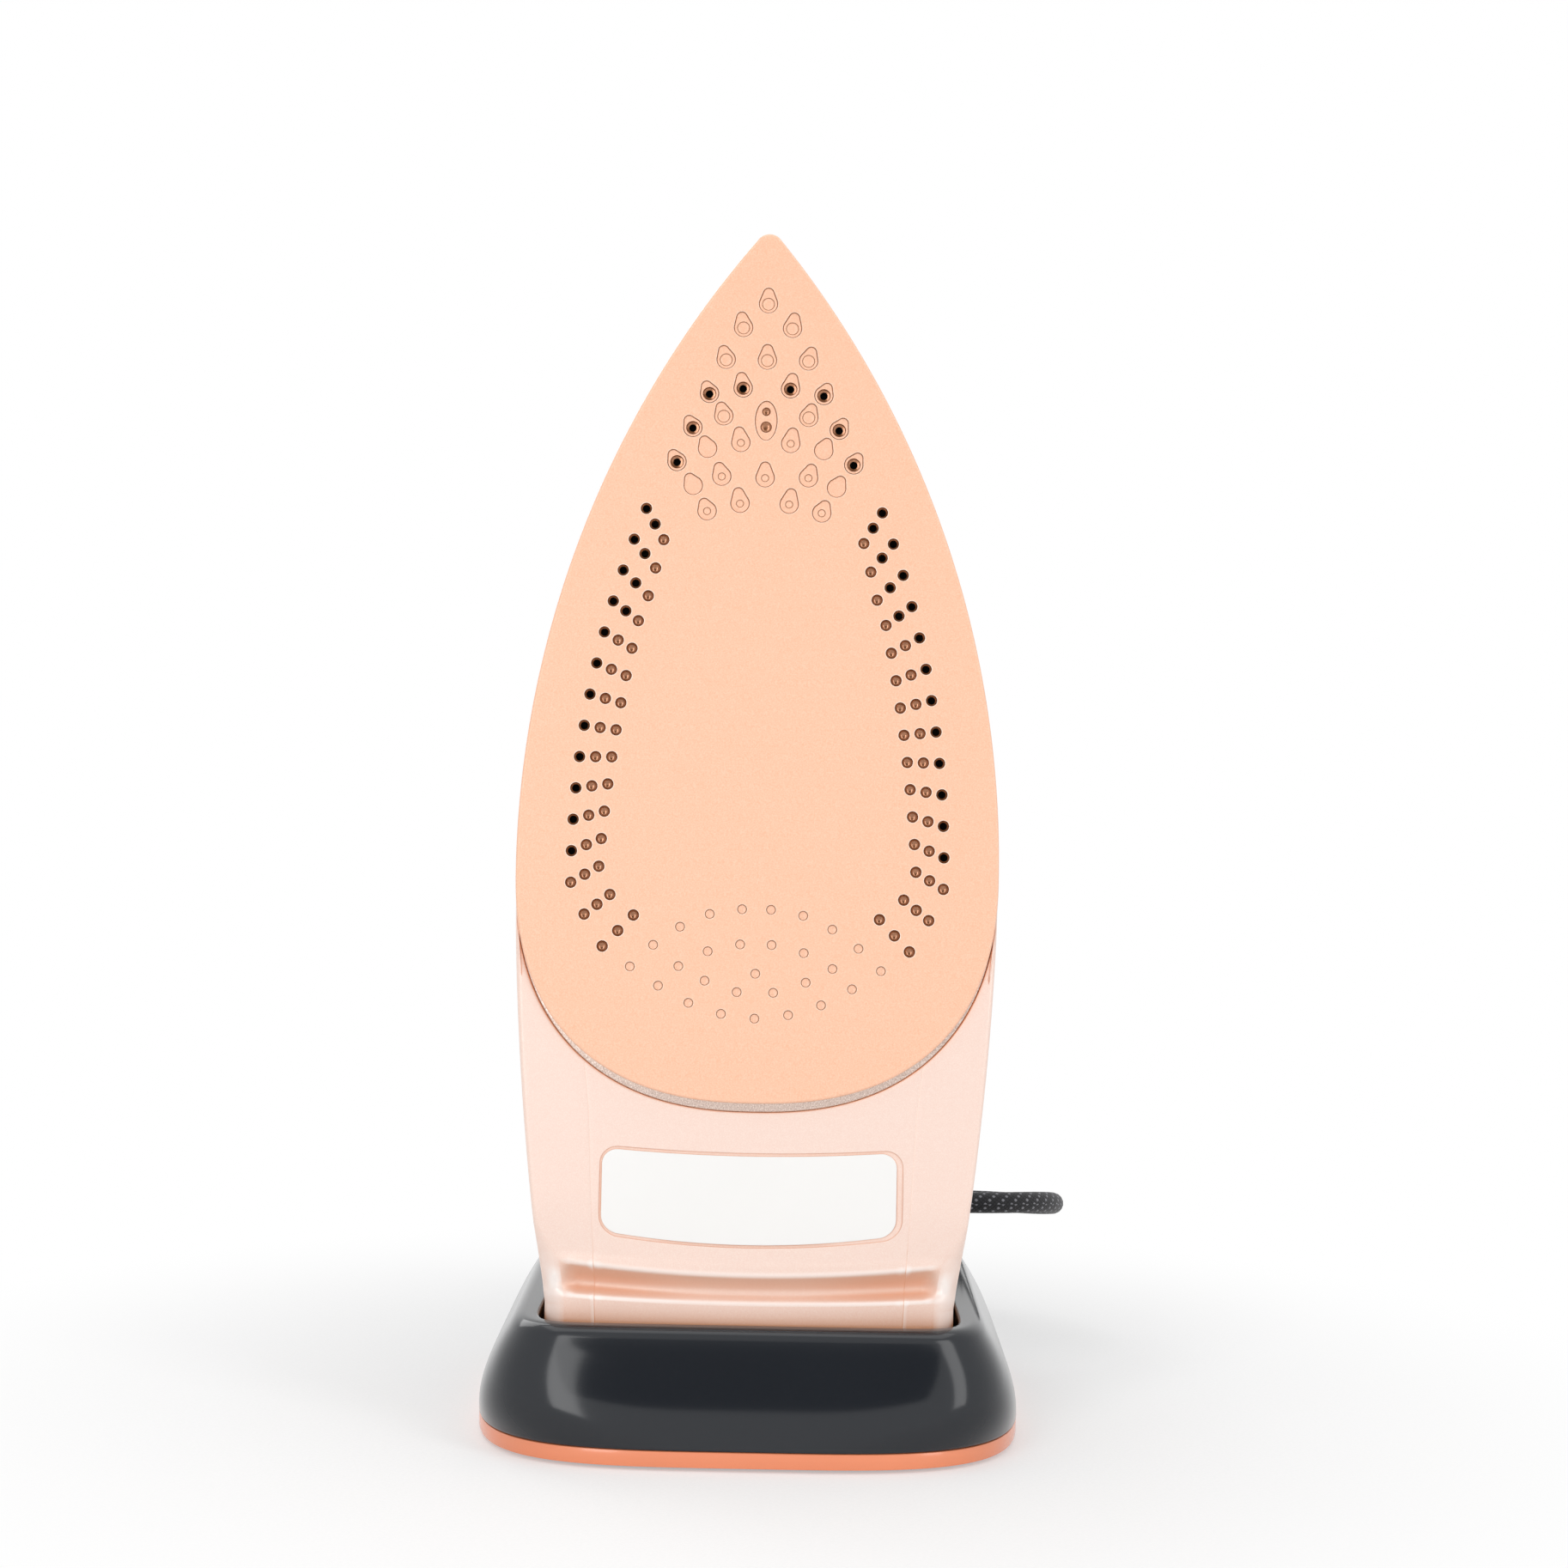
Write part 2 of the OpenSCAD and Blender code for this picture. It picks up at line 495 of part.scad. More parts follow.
module tank_seal() color(rubber_black) in_dock()
    intersection() {
        slab(20, 80) difference() {
            polygon(both_sides(tank_half(1, 0.6)));
            polygon(both_sides(tank_half(1, 1.9)));
        }
        cover_band(0.15, 0.8);
    }
// A band that follows the rim of the tank, from a to b above it.
band_zs = [for (i = [0 : 16]) tank_from - 4 + i * (tip_z - tank_from) / 16];
module cover_band(a, b) across(140) polygon(concat(
    [for (z = band_zs) [rim_y(z) + a, z]],
    [for (i = [16 : -1 : 0]) [rim_y(band_zs[i]) + b, band_zs[i]]]));
cover_y = 3;                                // top of the tank cover above the rim
fill_z = grip_end + 46;
fill_r = 6;
head_w = 42;
head_from = grip_end;
head_to = head_from + 31;
module tank_cover() color(charcoal) in_dock() difference() {
    intersection() {
        slab(20, 80) polygon(both_sides(tank_half(1, 0.3)));
        cover_band(0.9, cover_y);
    }
    rod(0, dial_z, 20, 80, shaft_r + 1);
    rod(0, needle_z, 20, 80, 3);
    rod(0, fill_z, 20, 80, fill_r);
    rod(-9, head_from + 12, 20, 80, 2.6);
}

// ---------- Fill door ----------

door_w = 20;
door_y = rim_y(fill_z - 9) + cover_y + 2.4;
hinge_z = fill_z - 9;
pin_r = 1;
door_slope = atan((rim_y(fill_z - 7) - rim_y(fill_z + 9)) / 16);
module door_frame() translate([0, door_y, hinge_z]) rotate([door_slope, 0, 0]) children();
module fill_door() color(charcoal) in_dock() door_frame() difference() {
    union() {
        slab(-1, 0.8) translate([0, 9.6])
            polygon([[-10, -6.6], [10, -6.6], [10, 0], [6, 9], [-6, 9], [-10, 0]]);
        for (s = [-1, 1]) translate([s * 4.2 - 2, 0, 0]) rotate([0, 90, 0]) cylinder(h = 4, r = 1.9);
        for (s = [-1, 1]) box([s * 4.2 - 2, -1, 0], [s * 4.2 + 2, 0.8, 3.1]);
    }
    translate([-20, 0, 0]) rotate([0, 90, 0]) cylinder(h = 40, r = pin_r + fit);
}
module door_pin() color(steel) in_dock() door_frame() {
    translate([-door_w / 2, 0, 0]) rotate([0, 90, 0]) cylinder(h = door_w, r = pin_r);
    for (x = [-9.6, -1.2, 7.2]) difference() {
        box([x, -2.3, -1.9], [x + 2.4, 1.9, 1.2]);
        translate([x - 1, 0, 0]) rotate([0, 90, 0]) cylinder(h = 5, r = pin_r);
    }
}

// ---------- Steam valve ----------

valve_from = stat_y + fit;
valve_top = split_y(needle_z) + 8.6;
module valve_seat() color(brass) in_dock() difference() {
    union() {
        rod(0, needle_z, valve_from, valve_top, 4.7);
        rod(0, needle_z, valve_from, valve_from + 3, 6);
    }
    rod(0, needle_z, valve_from - 1, valve_top + 1, 1.2);
    cone_at(0, needle_z, valve_top - 3, valve_top + 0.05, 1.2, 3.4);
}
needle_r = 2;
needle_top = tank_d + 14;
module valve_needle() color(steel) in_dock() {
    rod(0, needle_z, valve_top - 1, needle_top, needle_r);
    cone_at(0, needle_z, valve_top - 2.4, valve_top - 0.99, 0.6, needle_r);
    rod(0, needle_z, needle_top - 0.01, needle_top + 2, 4);
}

// ---------- Head, with the buttons and pumps ----------

head_top = grip_d + grip_t / 2;
// Height of the head's front face at a depth.
face_to = 60;
function face_z(y) = head_to + 3 * (head_top - 30 - y) / (head_top - 30 - face_to);
// Side view of the head: depth and height, d inside its surface.
function head_profile(d) = [
    [rim_y(head_from) - (d > 0 ? 1 : 0), head_from + d],
    [head_top - d, head_from + d], [head_top - d, head_from + 8],
    [head_top - 1.5 - d, head_from + 18], [head_top - 5 - d, head_to - 9 - d * 0.3],
    [head_top - 12 - d * 0.6, head_to - 3 - d], [head_top - 30, head_to - d],
    [face_to, head_to + 3 - d],
    [rim_y(head_from) - (d > 0 ? 1 : 0), head_to + 3 - d]
];
button_w = 13;
button_l = 16;
button_z = head_from + 13;
button_xs = [-8.6, 8.6];
slider_y = 98;                              // depth of the steam slider
slider_travel = 12;
nozzle_y = 82;
module head_shell() color(charcoal) in_dock() difference() {
    across(head_w) polygon(head_profile(0));
    across(head_w - 2 * wall) polygon(head_profile(wall));
    cover_band(-20, cover_y + tiny);
    for (x = button_xs) box([x - button_w / 2 - clear, head_top - 12, button_z - button_l / 2 - clear],
        [x + button_w / 2 + clear, head_top + 5, button_z + button_l / 2 + clear]);
    box([-slider_travel / 2 - 2.4, slider_y - 2.4, head_to - 6],
        [slider_travel / 2 + 2.4, slider_y + 2.4, head_to + 8]);
    translate([0, nozzle_y, head_to - 6]) cylinder(h = 20, r = 3.1);
    box([-7, grip_d - 8, head_from - 1], [7, grip_d + 6, head_from + wall + 1]);
}
pump_r = 6;
pump_bore = 4.6;
pump_from = 84;
pump_to = 108;
stroke = button_travel + 1;
module pump_bracket() color(charcoal) in_dock() difference() {
    box([-head_w / 2 + wall + tiny, pump_from + 5, head_from + wall + tiny],
        [head_w / 2 - wall - tiny, pump_from + 8, head_from + 24]);
    for (x = button_xs) rod(x, button_z, pump_from, pump_from + 10, pump_r + fit);
}
module pump(x) difference() {
    rod(x, button_z, pump_from, pump_to, pump_r);
    rod(x, button_z, pump_from + 3, pump_to + 1, pump_bore);
}
module spray_pump() color(plain_white) in_dock() difference() {
    union() {
        pump(button_xs[0]);
        translate([button_xs[0], nozzle_y + 4.5, button_z + pump_r - 1]) cylinder(h = 2, r = 1.8);
    }
    translate([button_xs[0], nozzle_y + 4.5, button_z]) cylinder(h = 15, r = 0.8);
}
module burst_pump() color(plain_white) in_dock() difference() {
    union() {
        pump(button_xs[1]);
        rod(button_xs[1], button_z, pump_from - 8, pump_from + 0.01, 2.2);
    }
    rod(button_xs[1], button_z, pump_from - 9, pump_from + 4, 0.9);
}
// A button, its stem and its piston are one moulding.
module push_button(x) {
    difference() {
        slab(head_top - 6, head_top + 2.6) translate([x, button_z]) rounded(button_w, button_l, 3);
        translate([x, head_top + 22, button_z]) rotate([0, 90, 0])
            translate([0, 0, -10]) cylinder(h = 20, r = 20);
    }
    rod(x, button_z, pump_from + 3 + stroke + 3, head_top - 5.99, 2.2);
    rod(x, button_z, pump_from + 3 + stroke, pump_from + 3 + stroke + 4, pump_bore - fit);
}
module spray_button() color(pearl_pink) in_dock() push_button(button_xs[0]);
module burst_button() color(pearl_pink) in_dock() push_button(button_xs[1]);

module steam_slider() color(pearl_pink) in_dock() {
    front = face_z(slider_y - 4) + 0.4;
    box([-slider_travel / 2 - 2, slider_y - 2, head_to - 5],
        [-slider_travel / 2 + 2, slider_y + 2, front + 0.01]);
    box([-slider_travel / 2 - 4.5, slider_y - 4, front], [-slider_travel / 2 + 4.5, slider_y + 4, front + 3]);
}
nozzle_from = head_to - 8;
module spray_nozzle() color(brass) in_dock() difference() {
    union() {
        translate([0, nozzle_y, nozzle_from]) cylinder(h = 11, r = 3);
        translate([0, nozzle_y, face_z(nozzle_y - 4.2) + 0.2]) cylinder(h = 3, r1 = 4.2, r2 = 2.6);
    }
    translate([0, nozzle_y, nozzle_from - 1]) cylinder(h = 20, r = 0.7);
}
module spray_tube() color(smoke) in_dock() {
    from = [button_xs[0], nozzle_y + 4.5, button_z + pump_r + 1.1];
    to = [0, nozzle_y, nozzle_from - 0.5];
    hull() {
        translate(from) cylinder(h = 0.4, r = 1.6);
        translate(to) cylinder(h = 0.4, r = 1.6);
    }
}

// ---------- Dial ----------

dial_y = rim_y(dial_z) + cover_y + clear;
dial_t = 6;
module dial_shaft() color(steel) in_dock()
    rod(0, dial_z, stat_y + 3.5, dial_y + dial_t - 1.6, shaft_r);
module temperature_dial() color(charcoal) in_dock() difference() {
    rod(0, dial_z, dial_y, dial_y + dial_t, dial_r);
    rod(0, dial_z, dial_y - 1, dial_y + dial_t - 1.6, shaft_r);
    rod(0, dial_z, dial_y - 1, dial_y + dial_t - 3, dial_r - 3);
    for (a = [0 : 12 : 359])
        rod(dial_r * cos(a), dial_z + dial_r * sin(a), dial_y - 1, dial_y + dial_t + 1, 0.8);
    rod(0, dial_z + dial_r - 6, dial_y + dial_t - 0.6, dial_y + dial_t + 1, 1.2);
}

// ---------- Handle ----------

// Middle line of the handle in the side view, as [depth, height, direction of travel].
bend_from = grip_d - grip_bend;
function handle_line() = concat(
    [for (i = [0 : 6]) let (a = 15 * i)
        [bend_from + grip_bend * sin(a), bend_z0 + grip_bend * (1 - cos(a)), a]],
    [for (i = [1 : 4]) let (z0 = bend_z0 + grip_bend) [grip_d, z0 + (grip_end - seam - z0) * i / 4, 90]]);
// One point of the section at a place on the line: u across, v towards the outside of the loop.
function on_line(s, u, v) = [u, s[0] + v * sin(s[2]), s[1] - v * cos(s[2])];
function shell_section(sign, w, t, th) = concat(
    [for (i = [0 : 8]) let (f = 180 * i / 8) [w * cos(f), sign * max(0.15, t * pow(sin(f), 0.8))]],
    [for (i = [8 : -1 : 0]) let (f = 180 * i / 8)
        [(w - th) * cos(f), sign * max(0.15, (t - th) * pow(sin(f), 0.8))]]);
module swept(section) {
    line = handle_line();
    n = len(section);
    m = len(line);
    points = [for (s = line) for (p = section) on_line(s, p[0], p[1])];
    h = n / 2;
    ends = function (o, flip) [for (i = [0 : h - 2]) each flip
        ? quad(o + i, o + n - 1 - i, o + n - 2 - i, o + i + 1)
        : quad(o + i, o + i + 1, o + n - 2 - i, o + n - 1 - i)];
    walls = [for (i = [0 : m - 2]) for (j = [0 : n - 1])
        each quad(i * n + j, (i + 1) * n + j, (i + 1) * n + (j + 1) % n, i * n + (j + 1) % n)];
    polyhedron(points, concat(walls, ends(0, false), ends((m - 1) * n, true)));
}
screw_zs = [bend_z0 + grip_bend + 22, grip_end - 26];
module handle_base() color(charcoal) in_dock() difference() {
    swept(shell_section(-1, grip_w / 2, grip_t / 2, wall));
    for (z = screw_zs) rod(0, z, grip_d - grip_t, grip_d, screw_r + 0.2);
}
module handle_cover() color(charcoal) in_dock()
    swept(backwards(shell_section(1, grip_w / 2, grip_t / 2, wall)));
pad_zs = [bend_z0 + grip_bend + 14, grip_end - 10];
function pad_curve(o) = [for (i = [0 : 10]) let (f = 50 + 8 * i)
    [(grip_w / 2 + o) * cos(f), (grip_t / 2 + o) * pow(sin(f), 0.8)]];
module grip_pad() color(rubber_black) in_dock() intersection() {
    slab(grip_d, grip_d + grip_t) translate([0, (pad_zs[0] + pad_zs[1]) / 2])
        rounded(18, pad_zs[1] - pad_zs[0], 8);
    translate([0, grip_d, pad_zs[0] - 1]) linear_extrude(pad_zs[1] - pad_zs[0] + 2)
        polygon(concat(pad_curve(tiny), backwards(pad_curve(1.3))));
}
module handle_screws() color(steel) in_dock() for (z = screw_zs) {
    rod(0, z, grip_d - grip_t / 2 - 1.2, grip_d - grip_t / 2 - 0.1, 2.8);
    rod(0, z, grip_d - grip_t / 2 - 0.11, grip_d - 4, screw_r);
}
lens_z = bend_z0 + grip_bend - 4.5;
module indicator_lens() color([0.9, 0.3, 0.2]) in_dock()
    rod(0, lens_z, grip_d + grip_t / 2 - 0.25, grip_d + grip_t / 2 + 1, 3);
board_z = bend_z0 + grip_bend + grip_t;
module lamp_board() color([0.1, 0.35, 0.2]) in_dock()
    box([-(grip_w / 2 - wall - 0.4), grip_d - 0.8, board_z],
        [grip_w / 2 - wall - 0.4, grip_d + 0.8, board_z + 24]);

// ---------- Dock ----------

foot_n = 3.8;                               // squareness of the dock's outline at its foot
rim_n = 9;                                  // and at its rim
dock_steps = 16;                            // points in a quarter of an outline
// Direction of one point of an outline, so that the corners of all outlines line up.
function turn(i, a, b) = let (c = atan2(b, a), h = dock_steps / 2)
    i <= h ? 90 - (90 - c) * i / h : c * (dock_steps - i) / h;
function ring_turn(i, a, b) = i <= dock_steps ? turn(i, a, b) : -turn(2 * dock_steps - i, a, b);
function dock_half(d, z) = [for (i = [0 : 2 * dock_steps]) let (
    a = dock_w / 2 - d, b = dock_d / 2 - d, f = ring_turn(i, a, b),
    n = foot_n + (rim_n - foot_n) * max(0, z - band_top) / (rim_h - band_top),
    r = pow(pow(abs(cos(f)) / a, n) + pow(abs(sin(f)) / b, n), -1 / n))
    [i == 0 || i == 2 * dock_steps ? 0 : r * cos(f), dock_y + r * sin(f), z]];
function round_ring(half) = concat(half, [for (i = [len(half) - 2 : -1 : 1])
    [-half[i][0], half[i][1], half[i][2]]]);
// The pocket leans with the iron.
pocket_n = 12;                              // squareness of the pocket's corners
function pocket_half(d, z) = let (
    y0 = sole_y + 0.6 + (z - seat_h) * tan(lean), y1 = sole_y + foot_d + 1 + (z - seat_h) * tan(lean))
    [for (i = [0 : 2 * dock_steps]) let (
        a = foot_half_w + pocket_gap + d, b = (y1 - y0) / 2 + d, f = ring_turn(i, a, b),
        r = pow(pow(abs(cos(f)) / a, pocket_n) + pow(abs(sin(f)) / b, pocket_n), -1 / pocket_n))
        [i == 0 || i == 2 * dock_steps ? 0 : r * cos(f),
            (y0 + y1) / 2 + r * sin(f) * (1 + 0.006 * (1 - pow(r * cos(f) / a, 2))), z]];
base_z = 0.8;                               // underside of the dock, on its rubber feet
band_top = base_z + band_h;
// Outer profile of the shell: [inset from the footprint, height]
shell_profile = [
    [0, band_top], [0.1, band_top + 3], [1.6, band_top + 9], [4, rim_h - 11.4],
    [7.2, rim_h - 5.2], [9.6, rim_h - 1.8], [10.8, rim_h - 0.4]
];
pocket_floor = seat_h - clear;
shell_t = 2.4;
module dock_shell() color(charcoal) difference() {
    skin(concat(
        [round_ring(pocket_half(shell_t, pocket_floor - shell_t)),
            round_ring(pocket_half(shell_t, rim_h - 6.4))],
        [for (i = [4 : -1 : 0]) round_ring(dock_half(shell_profile[i][0] + shell_t,
            shell_profile[i][1] - (i == 4 ? 1.2 : 0)))],
        [for (p = shell_profile) round_ring(dock_half(p[0], p[1]))],
        [round_ring(pocket_half(0, rim_h)), round_ring(pocket_half(0, pocket_floor))]
    ), false);
    for (x = contact_xs) box([x - 1.6, blade_y - 4.2, 2], [x + 1.6, blade_y + 4.2, pocket_floor + 1]);
}
module dock_plan(d, z0, z1) translate([0, 0, z0]) linear_extrude(z1 - z0)
    polygon([for (p = round_ring(dock_half(d, 0))) [p[0], p[1]]]);
module dock_band() color(coral) difference() {
    dock_plan(0, base_z, band_top - tiny);
    dock_plan(3, base_z - 1, band_top + 1);
}
post_at = [for (x = [-44, 44]) for (y = [sole_y + 14, sole_y + foot_d - 16]) [x, y]];
plate_t = 2;
module dock_base_plate() color(charcoal) difference() {
    union() {
        dock_plan(3 + tiny, base_z, base_z + plate_t);
        for (p = post_at) translate([p[0], p[1], base_z])
            cylinder(h = pocket_floor - shell_t - tiny - base_z, r = 4);
    }
    for (p = post_at) translate([p[0], p[1], base_z - 1]) cylinder(h = 20, r = screw_r + 0.1);
    for (p = post_at) translate([p[0], p[1], base_z - 1]) cylinder(h = 2.4, r = 3.2);
}
module dock_screws() color(steel) for (p = post_at) translate([p[0], p[1], base_z + 0.2]) {
    cylinder(h = 1.15, r = 3);
    cylinder(h = pocket_floor - shell_t - base_z - 0.6, r = screw_r);
}
module dock_feet() color(rubber_black) for (x = [-1, 1]) for (y = [-1, 1])
    translate([x * (dock_w / 2 - 20), dock_y + y * (dock_d / 2 - 18), 0]) cylinder(h = base_z - 0.02, r = 6);

blade_y = sole_y + contact_y * cos(lean) + 8 * sin(lean);
module contact_block() color(charcoal) difference() {
    box([-18, blade_y - 9, base_z + plate_t + tiny], [18, blade_y + 9, pocket_floor - shell_t - tiny]);
    for (x = contact_xs) box([x - blade_t / 2 - fit, blade_y - blade_w / 2 - fit, base_z + plate_t + 1],
        [x + blade_t / 2 + fit, blade_y + blade_w / 2 + fit, pocket_floor + 1]);
}
module dock_contacts() color(brass) for (x = contact_xs)
    box([x - blade_t / 2, blade_y - blade_w / 2, base_z + plate_t + 1.2],
        [x + blade_t / 2, blade_y + blade_w / 2, seat_h + 9]);

// Cord module on the rear deck.
module_ys = [dock_y + dock_d / 2 - 21, dock_y + dock_d / 2 + 1];
module_w = 52;
module_top = rim_h + 18.4;
exit_y = dock_y + dock_d / 2 - 9;
exit_z = rim_h + 10.4;
module cord_module() color(charcoal) difference() {
    translate([0, (module_ys[0] + module_ys[1]) / 2, rim_h + tiny]) linear_extrude(module_top - rim_h - tiny)
        rounded(module_w, module_ys[1] - module_ys[0], 6);
    translate([0, (module_ys[0] + module_ys[1]) / 2, rim_h]) linear_extrude(module_top - rim_h - wall)
        rounded(module_w - 2 * wall, module_ys[1] - module_ys[0] - 2 * wall, 4);
    translate([module_w / 2 - 5, exit_y, exit_z]) rotate([0, 90, 0]) cylinder(h = 10, r = 5.1);
    box([-8 - clear, module_ys[0] + 6 - clear, module_top - 5],
        [8 + clear, module_ys[0] + 14 + clear, module_top + 1]);
}
module module_button() color(pearl_pink) {
    box([-8, module_ys[0] + 6, module_top - 4.5], [8, module_ys[0] + 14, module_top + 2]);
    box([-9.5, module_ys[0] + 4.5, module_top - 6], [9.5, module_ys[0] + 15.5, module_top - 4.49]);
}
module terminal_block() color(plain_white) difference() {
    box([-14, module_ys[0] + 4, rim_h + 0.4], [8, module_ys[1] - 4, rim_h + 7]);
    for (x = [-10, -3, 4]) translate([x, exit_y, rim_h + 3]) cylinder(h = 10, r = 1.8);
}
relief_from = module_w / 2 - wall - 2;
relief_to = 60;
module strain_relief() color(rubber_black) difference() {
    translate([0, exit_y, exit_z]) rotate([0, 90, 0]) {
        translate([0, 0, relief_from]) cylinder(h = module_w / 2 - relief_from + 0.01, r = 5);
        translate([0, 0, module_w / 2]) cylinder(h = 3, r = 6.4);
        translate([0, 0, module_w / 2 + 2.99])
            cylinder(h = relief_to - module_w / 2 - 2.99, r1 = 5.4, r2 = cord_d / 2 + 0.6);
    }
    translate([relief_from - 1, exit_y, exit_z]) rotate([0, 90, 0]) cylinder(h = 3, r = cord_d / 2);
}

// ---------- Cord ----------

// Middle line of the free stretch, from the strain relief down onto the coil.
cord_route = [
    [60, 56, 42], [66, 56, 42], [74, 58.6, 41.5], [81, 64.2, 40.5], [85.4, 72, 39.2],
    [87, 81, 38], [85.4, 90, 36.6], [81, 97.6, 35.4], [74, 103, 34], [66, 105.6, 32.2],
    [56, 106.4, 29.4], [44, 106.4, 25], [32, 106.6, 19.4], [20, 107, 13.6], [8, 107.2, 8.8],
    [-4, 107.4, 5.4], [-14, 109, 4]
];
coil_at = [0, 151];
tie_t = 0.8;
coil_in = 21;
coil_out = 48;
function unit(v) = v / norm(v);
module cord_tube(route, r, sides, up = [0, 0, 1]) {
    m = len(route);
    points = [for (i = [0 : m - 1]) let (
        t = unit(route[min(m - 1, i + 1)] - route[max(0, i - 1)]),
        u = unit(cross(t, up)), v = cross(u, t))
        for (j = [0 : sides - 1]) let (a = 360 * j / sides) route[i] + r * (cos(a) * u + sin(a) * v)];
    faces = concat(
        [for (i = [0 : m - 2]) for (j = [0 : sides - 1]) each quad(
            i * sides + j, i * sides + (j + 1) % sides,
            (i + 1) * sides + (j + 1) % sides, (i + 1) * sides + j)],
        [[for (j = [sides - 1 : -1 : 0]) j], [for (j = [0 : sides - 1]) (m - 1) * sides + j]]);
    polyhedron(points, faces);
}
module cord_lead() color(charcoal) cord_tube(cord_route, cord_d / 2, 10);
module cord_coil() color(charcoal) translate([coil_at[0], coil_at[1], tie_t]) rotate_extrude() polygon([
    [coil_in, 0], [coil_out, 0], [coil_out, cord_d], [coil_out - cord_d, 2 * cord_d],
    [coil_out - 1.5 * cord_d, 3 * cord_d], [coil_in, 3 * cord_d]]);
tie_l = 9;
coil_top = tie_t + 3 * cord_d;
module cord_tie() color(rubber_black) difference() {
    box([coil_at[0] - tie_l / 2, coil_at[1] + coil_in - tie_t - 1, 0],
        [coil_at[0] + tie_l / 2, coil_at[1] + coil_out + tie_t, coil_top + tie_t]);
    translate([coil_at[0], coil_at[1], tie_t - 0.01]) difference() {
        cylinder(h = 3 * cord_d + 0.06, r = coil_out + fit);
        translate([0, 0, -1]) cylinder(h = 3 * cord_d + 3, r = coil_in - fit);
    }
}

// Three-pin plug that lies on the coil, pins up.
plug_at = [14, 143];
plug_l = 50;
plug_w = 48;
plug_t = 24;
module plug_body() color(charcoal) translate([plug_at[0], plug_at[1], coil_top]) difference() {
    hull() {
        translate([5 - plug_l / 2, 5 - plug_w / 2, plug_t - 5]) cylinder(h = 5, r = 5, $fn = 32);
        translate([5 - plug_l / 2, plug_w / 2 - 5, plug_t - 5]) cylinder(h = 5, r = 5, $fn = 32);
        for (s = [-1, 1]) translate([plug_l / 2 - 12, s * (plug_w / 2 - 12), plug_t - 5])
            cylinder(h = 5, r = 12, $fn = 32);
        for (s = [-1, 1]) translate([8 - plug_l / 2, s * (plug_w / 2 - 12), 0])
            cylinder(h = 1, r = 6, $fn = 32);
        for (s = [-1, 1]) translate([plug_l / 2 - 16, s * (plug_w / 2 - 16), 0])
            cylinder(h = 1, r = 12, $fn = 32);
    }
    for (p = pin_places) translate([p[0] - p[2] / 2, p[1] - p[3] / 2, plug_t - 6]) cube([p[2], p[3], 10]);
}
// Each pin: place, then size along and across the plug, then length.
pin_places = [[11, 0, 8, 4, 22.7], [-11.2, -11.1, 4, 6.3, 17.7], [-11.2, 11.1, 4, 6.3, 17.7]];
module plug_pins() color(brass) translate([plug_at[0], plug_at[1], coil_top]) for (p = pin_places)
    translate([p[0] - p[2] / 2, p[1] - p[3] / 2, plug_t - 6]) cube([p[2], p[3], 6 + p[4]]);

dock_shell();
dock_band();
dock_base_plate();
dock_feet();
dock_screws();
contact_block();
dock_contacts();
cord_module();
module_button();
terminal_block();
strain_relief();
cord_lead();
cord_coil();
cord_tie();
plug_body();
plug_pins();
soleplate();
heater_casting();
chamber_cover();
cover_screws();
heating_element();
thermal_fuse();
thermostat();
dial_shaft();
temperature_dial();
heat_shield();
shield_screws();
skirt();
label_plate();
rear_housing();
iron_contacts();
contact_carrier();
water_tank();
tank_seal();
tank_cover();
fill_door();
door_pin();
valve_seat();
valve_needle();
steam_slider();
head_shell();
pump_bracket();
spray_pump();
burst_pump();
spray_button();
burst_button();
spray_nozzle();
spray_tube();
handle_base();
handle_cover();
grip_pad();
handle_screws();
indicator_lens();
lamp_board();
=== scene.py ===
"""The looks of a cordless steam iron on its charging dock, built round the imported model."""
from math import acos, atan, atan2, ceil, copysign, cos, dist, pi, radians, sin, sqrt, tan

import bmesh
import bpy
import numpy as np
from bpy.props import FloatProperty, PointerProperty, StringProperty
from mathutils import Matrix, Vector


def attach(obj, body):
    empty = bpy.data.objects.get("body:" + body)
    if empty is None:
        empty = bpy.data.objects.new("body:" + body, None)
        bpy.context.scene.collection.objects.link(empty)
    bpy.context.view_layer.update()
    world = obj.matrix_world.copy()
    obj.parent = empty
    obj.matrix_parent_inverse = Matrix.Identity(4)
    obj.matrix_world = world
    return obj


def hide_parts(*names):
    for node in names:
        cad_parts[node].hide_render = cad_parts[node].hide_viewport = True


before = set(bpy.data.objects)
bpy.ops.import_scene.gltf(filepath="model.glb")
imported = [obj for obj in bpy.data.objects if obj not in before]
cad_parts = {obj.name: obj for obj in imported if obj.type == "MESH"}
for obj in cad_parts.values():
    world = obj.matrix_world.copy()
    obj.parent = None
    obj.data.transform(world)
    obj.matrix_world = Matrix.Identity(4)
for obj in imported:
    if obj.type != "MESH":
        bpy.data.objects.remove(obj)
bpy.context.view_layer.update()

bl_info = {
    "name": "Cordless steam iron",
    "version": (1, 0, 0),
    "blender": (4, 5, 0),
    "location": "3D Viewport > Sidebar > Iron",
    "description": "Builds the looks of a cordless steam iron, its charging dock and its cord",
    "category": "Object",
}

MM = 0.001

# ---------- Sizes shared by the pieces, in millimetres ----------

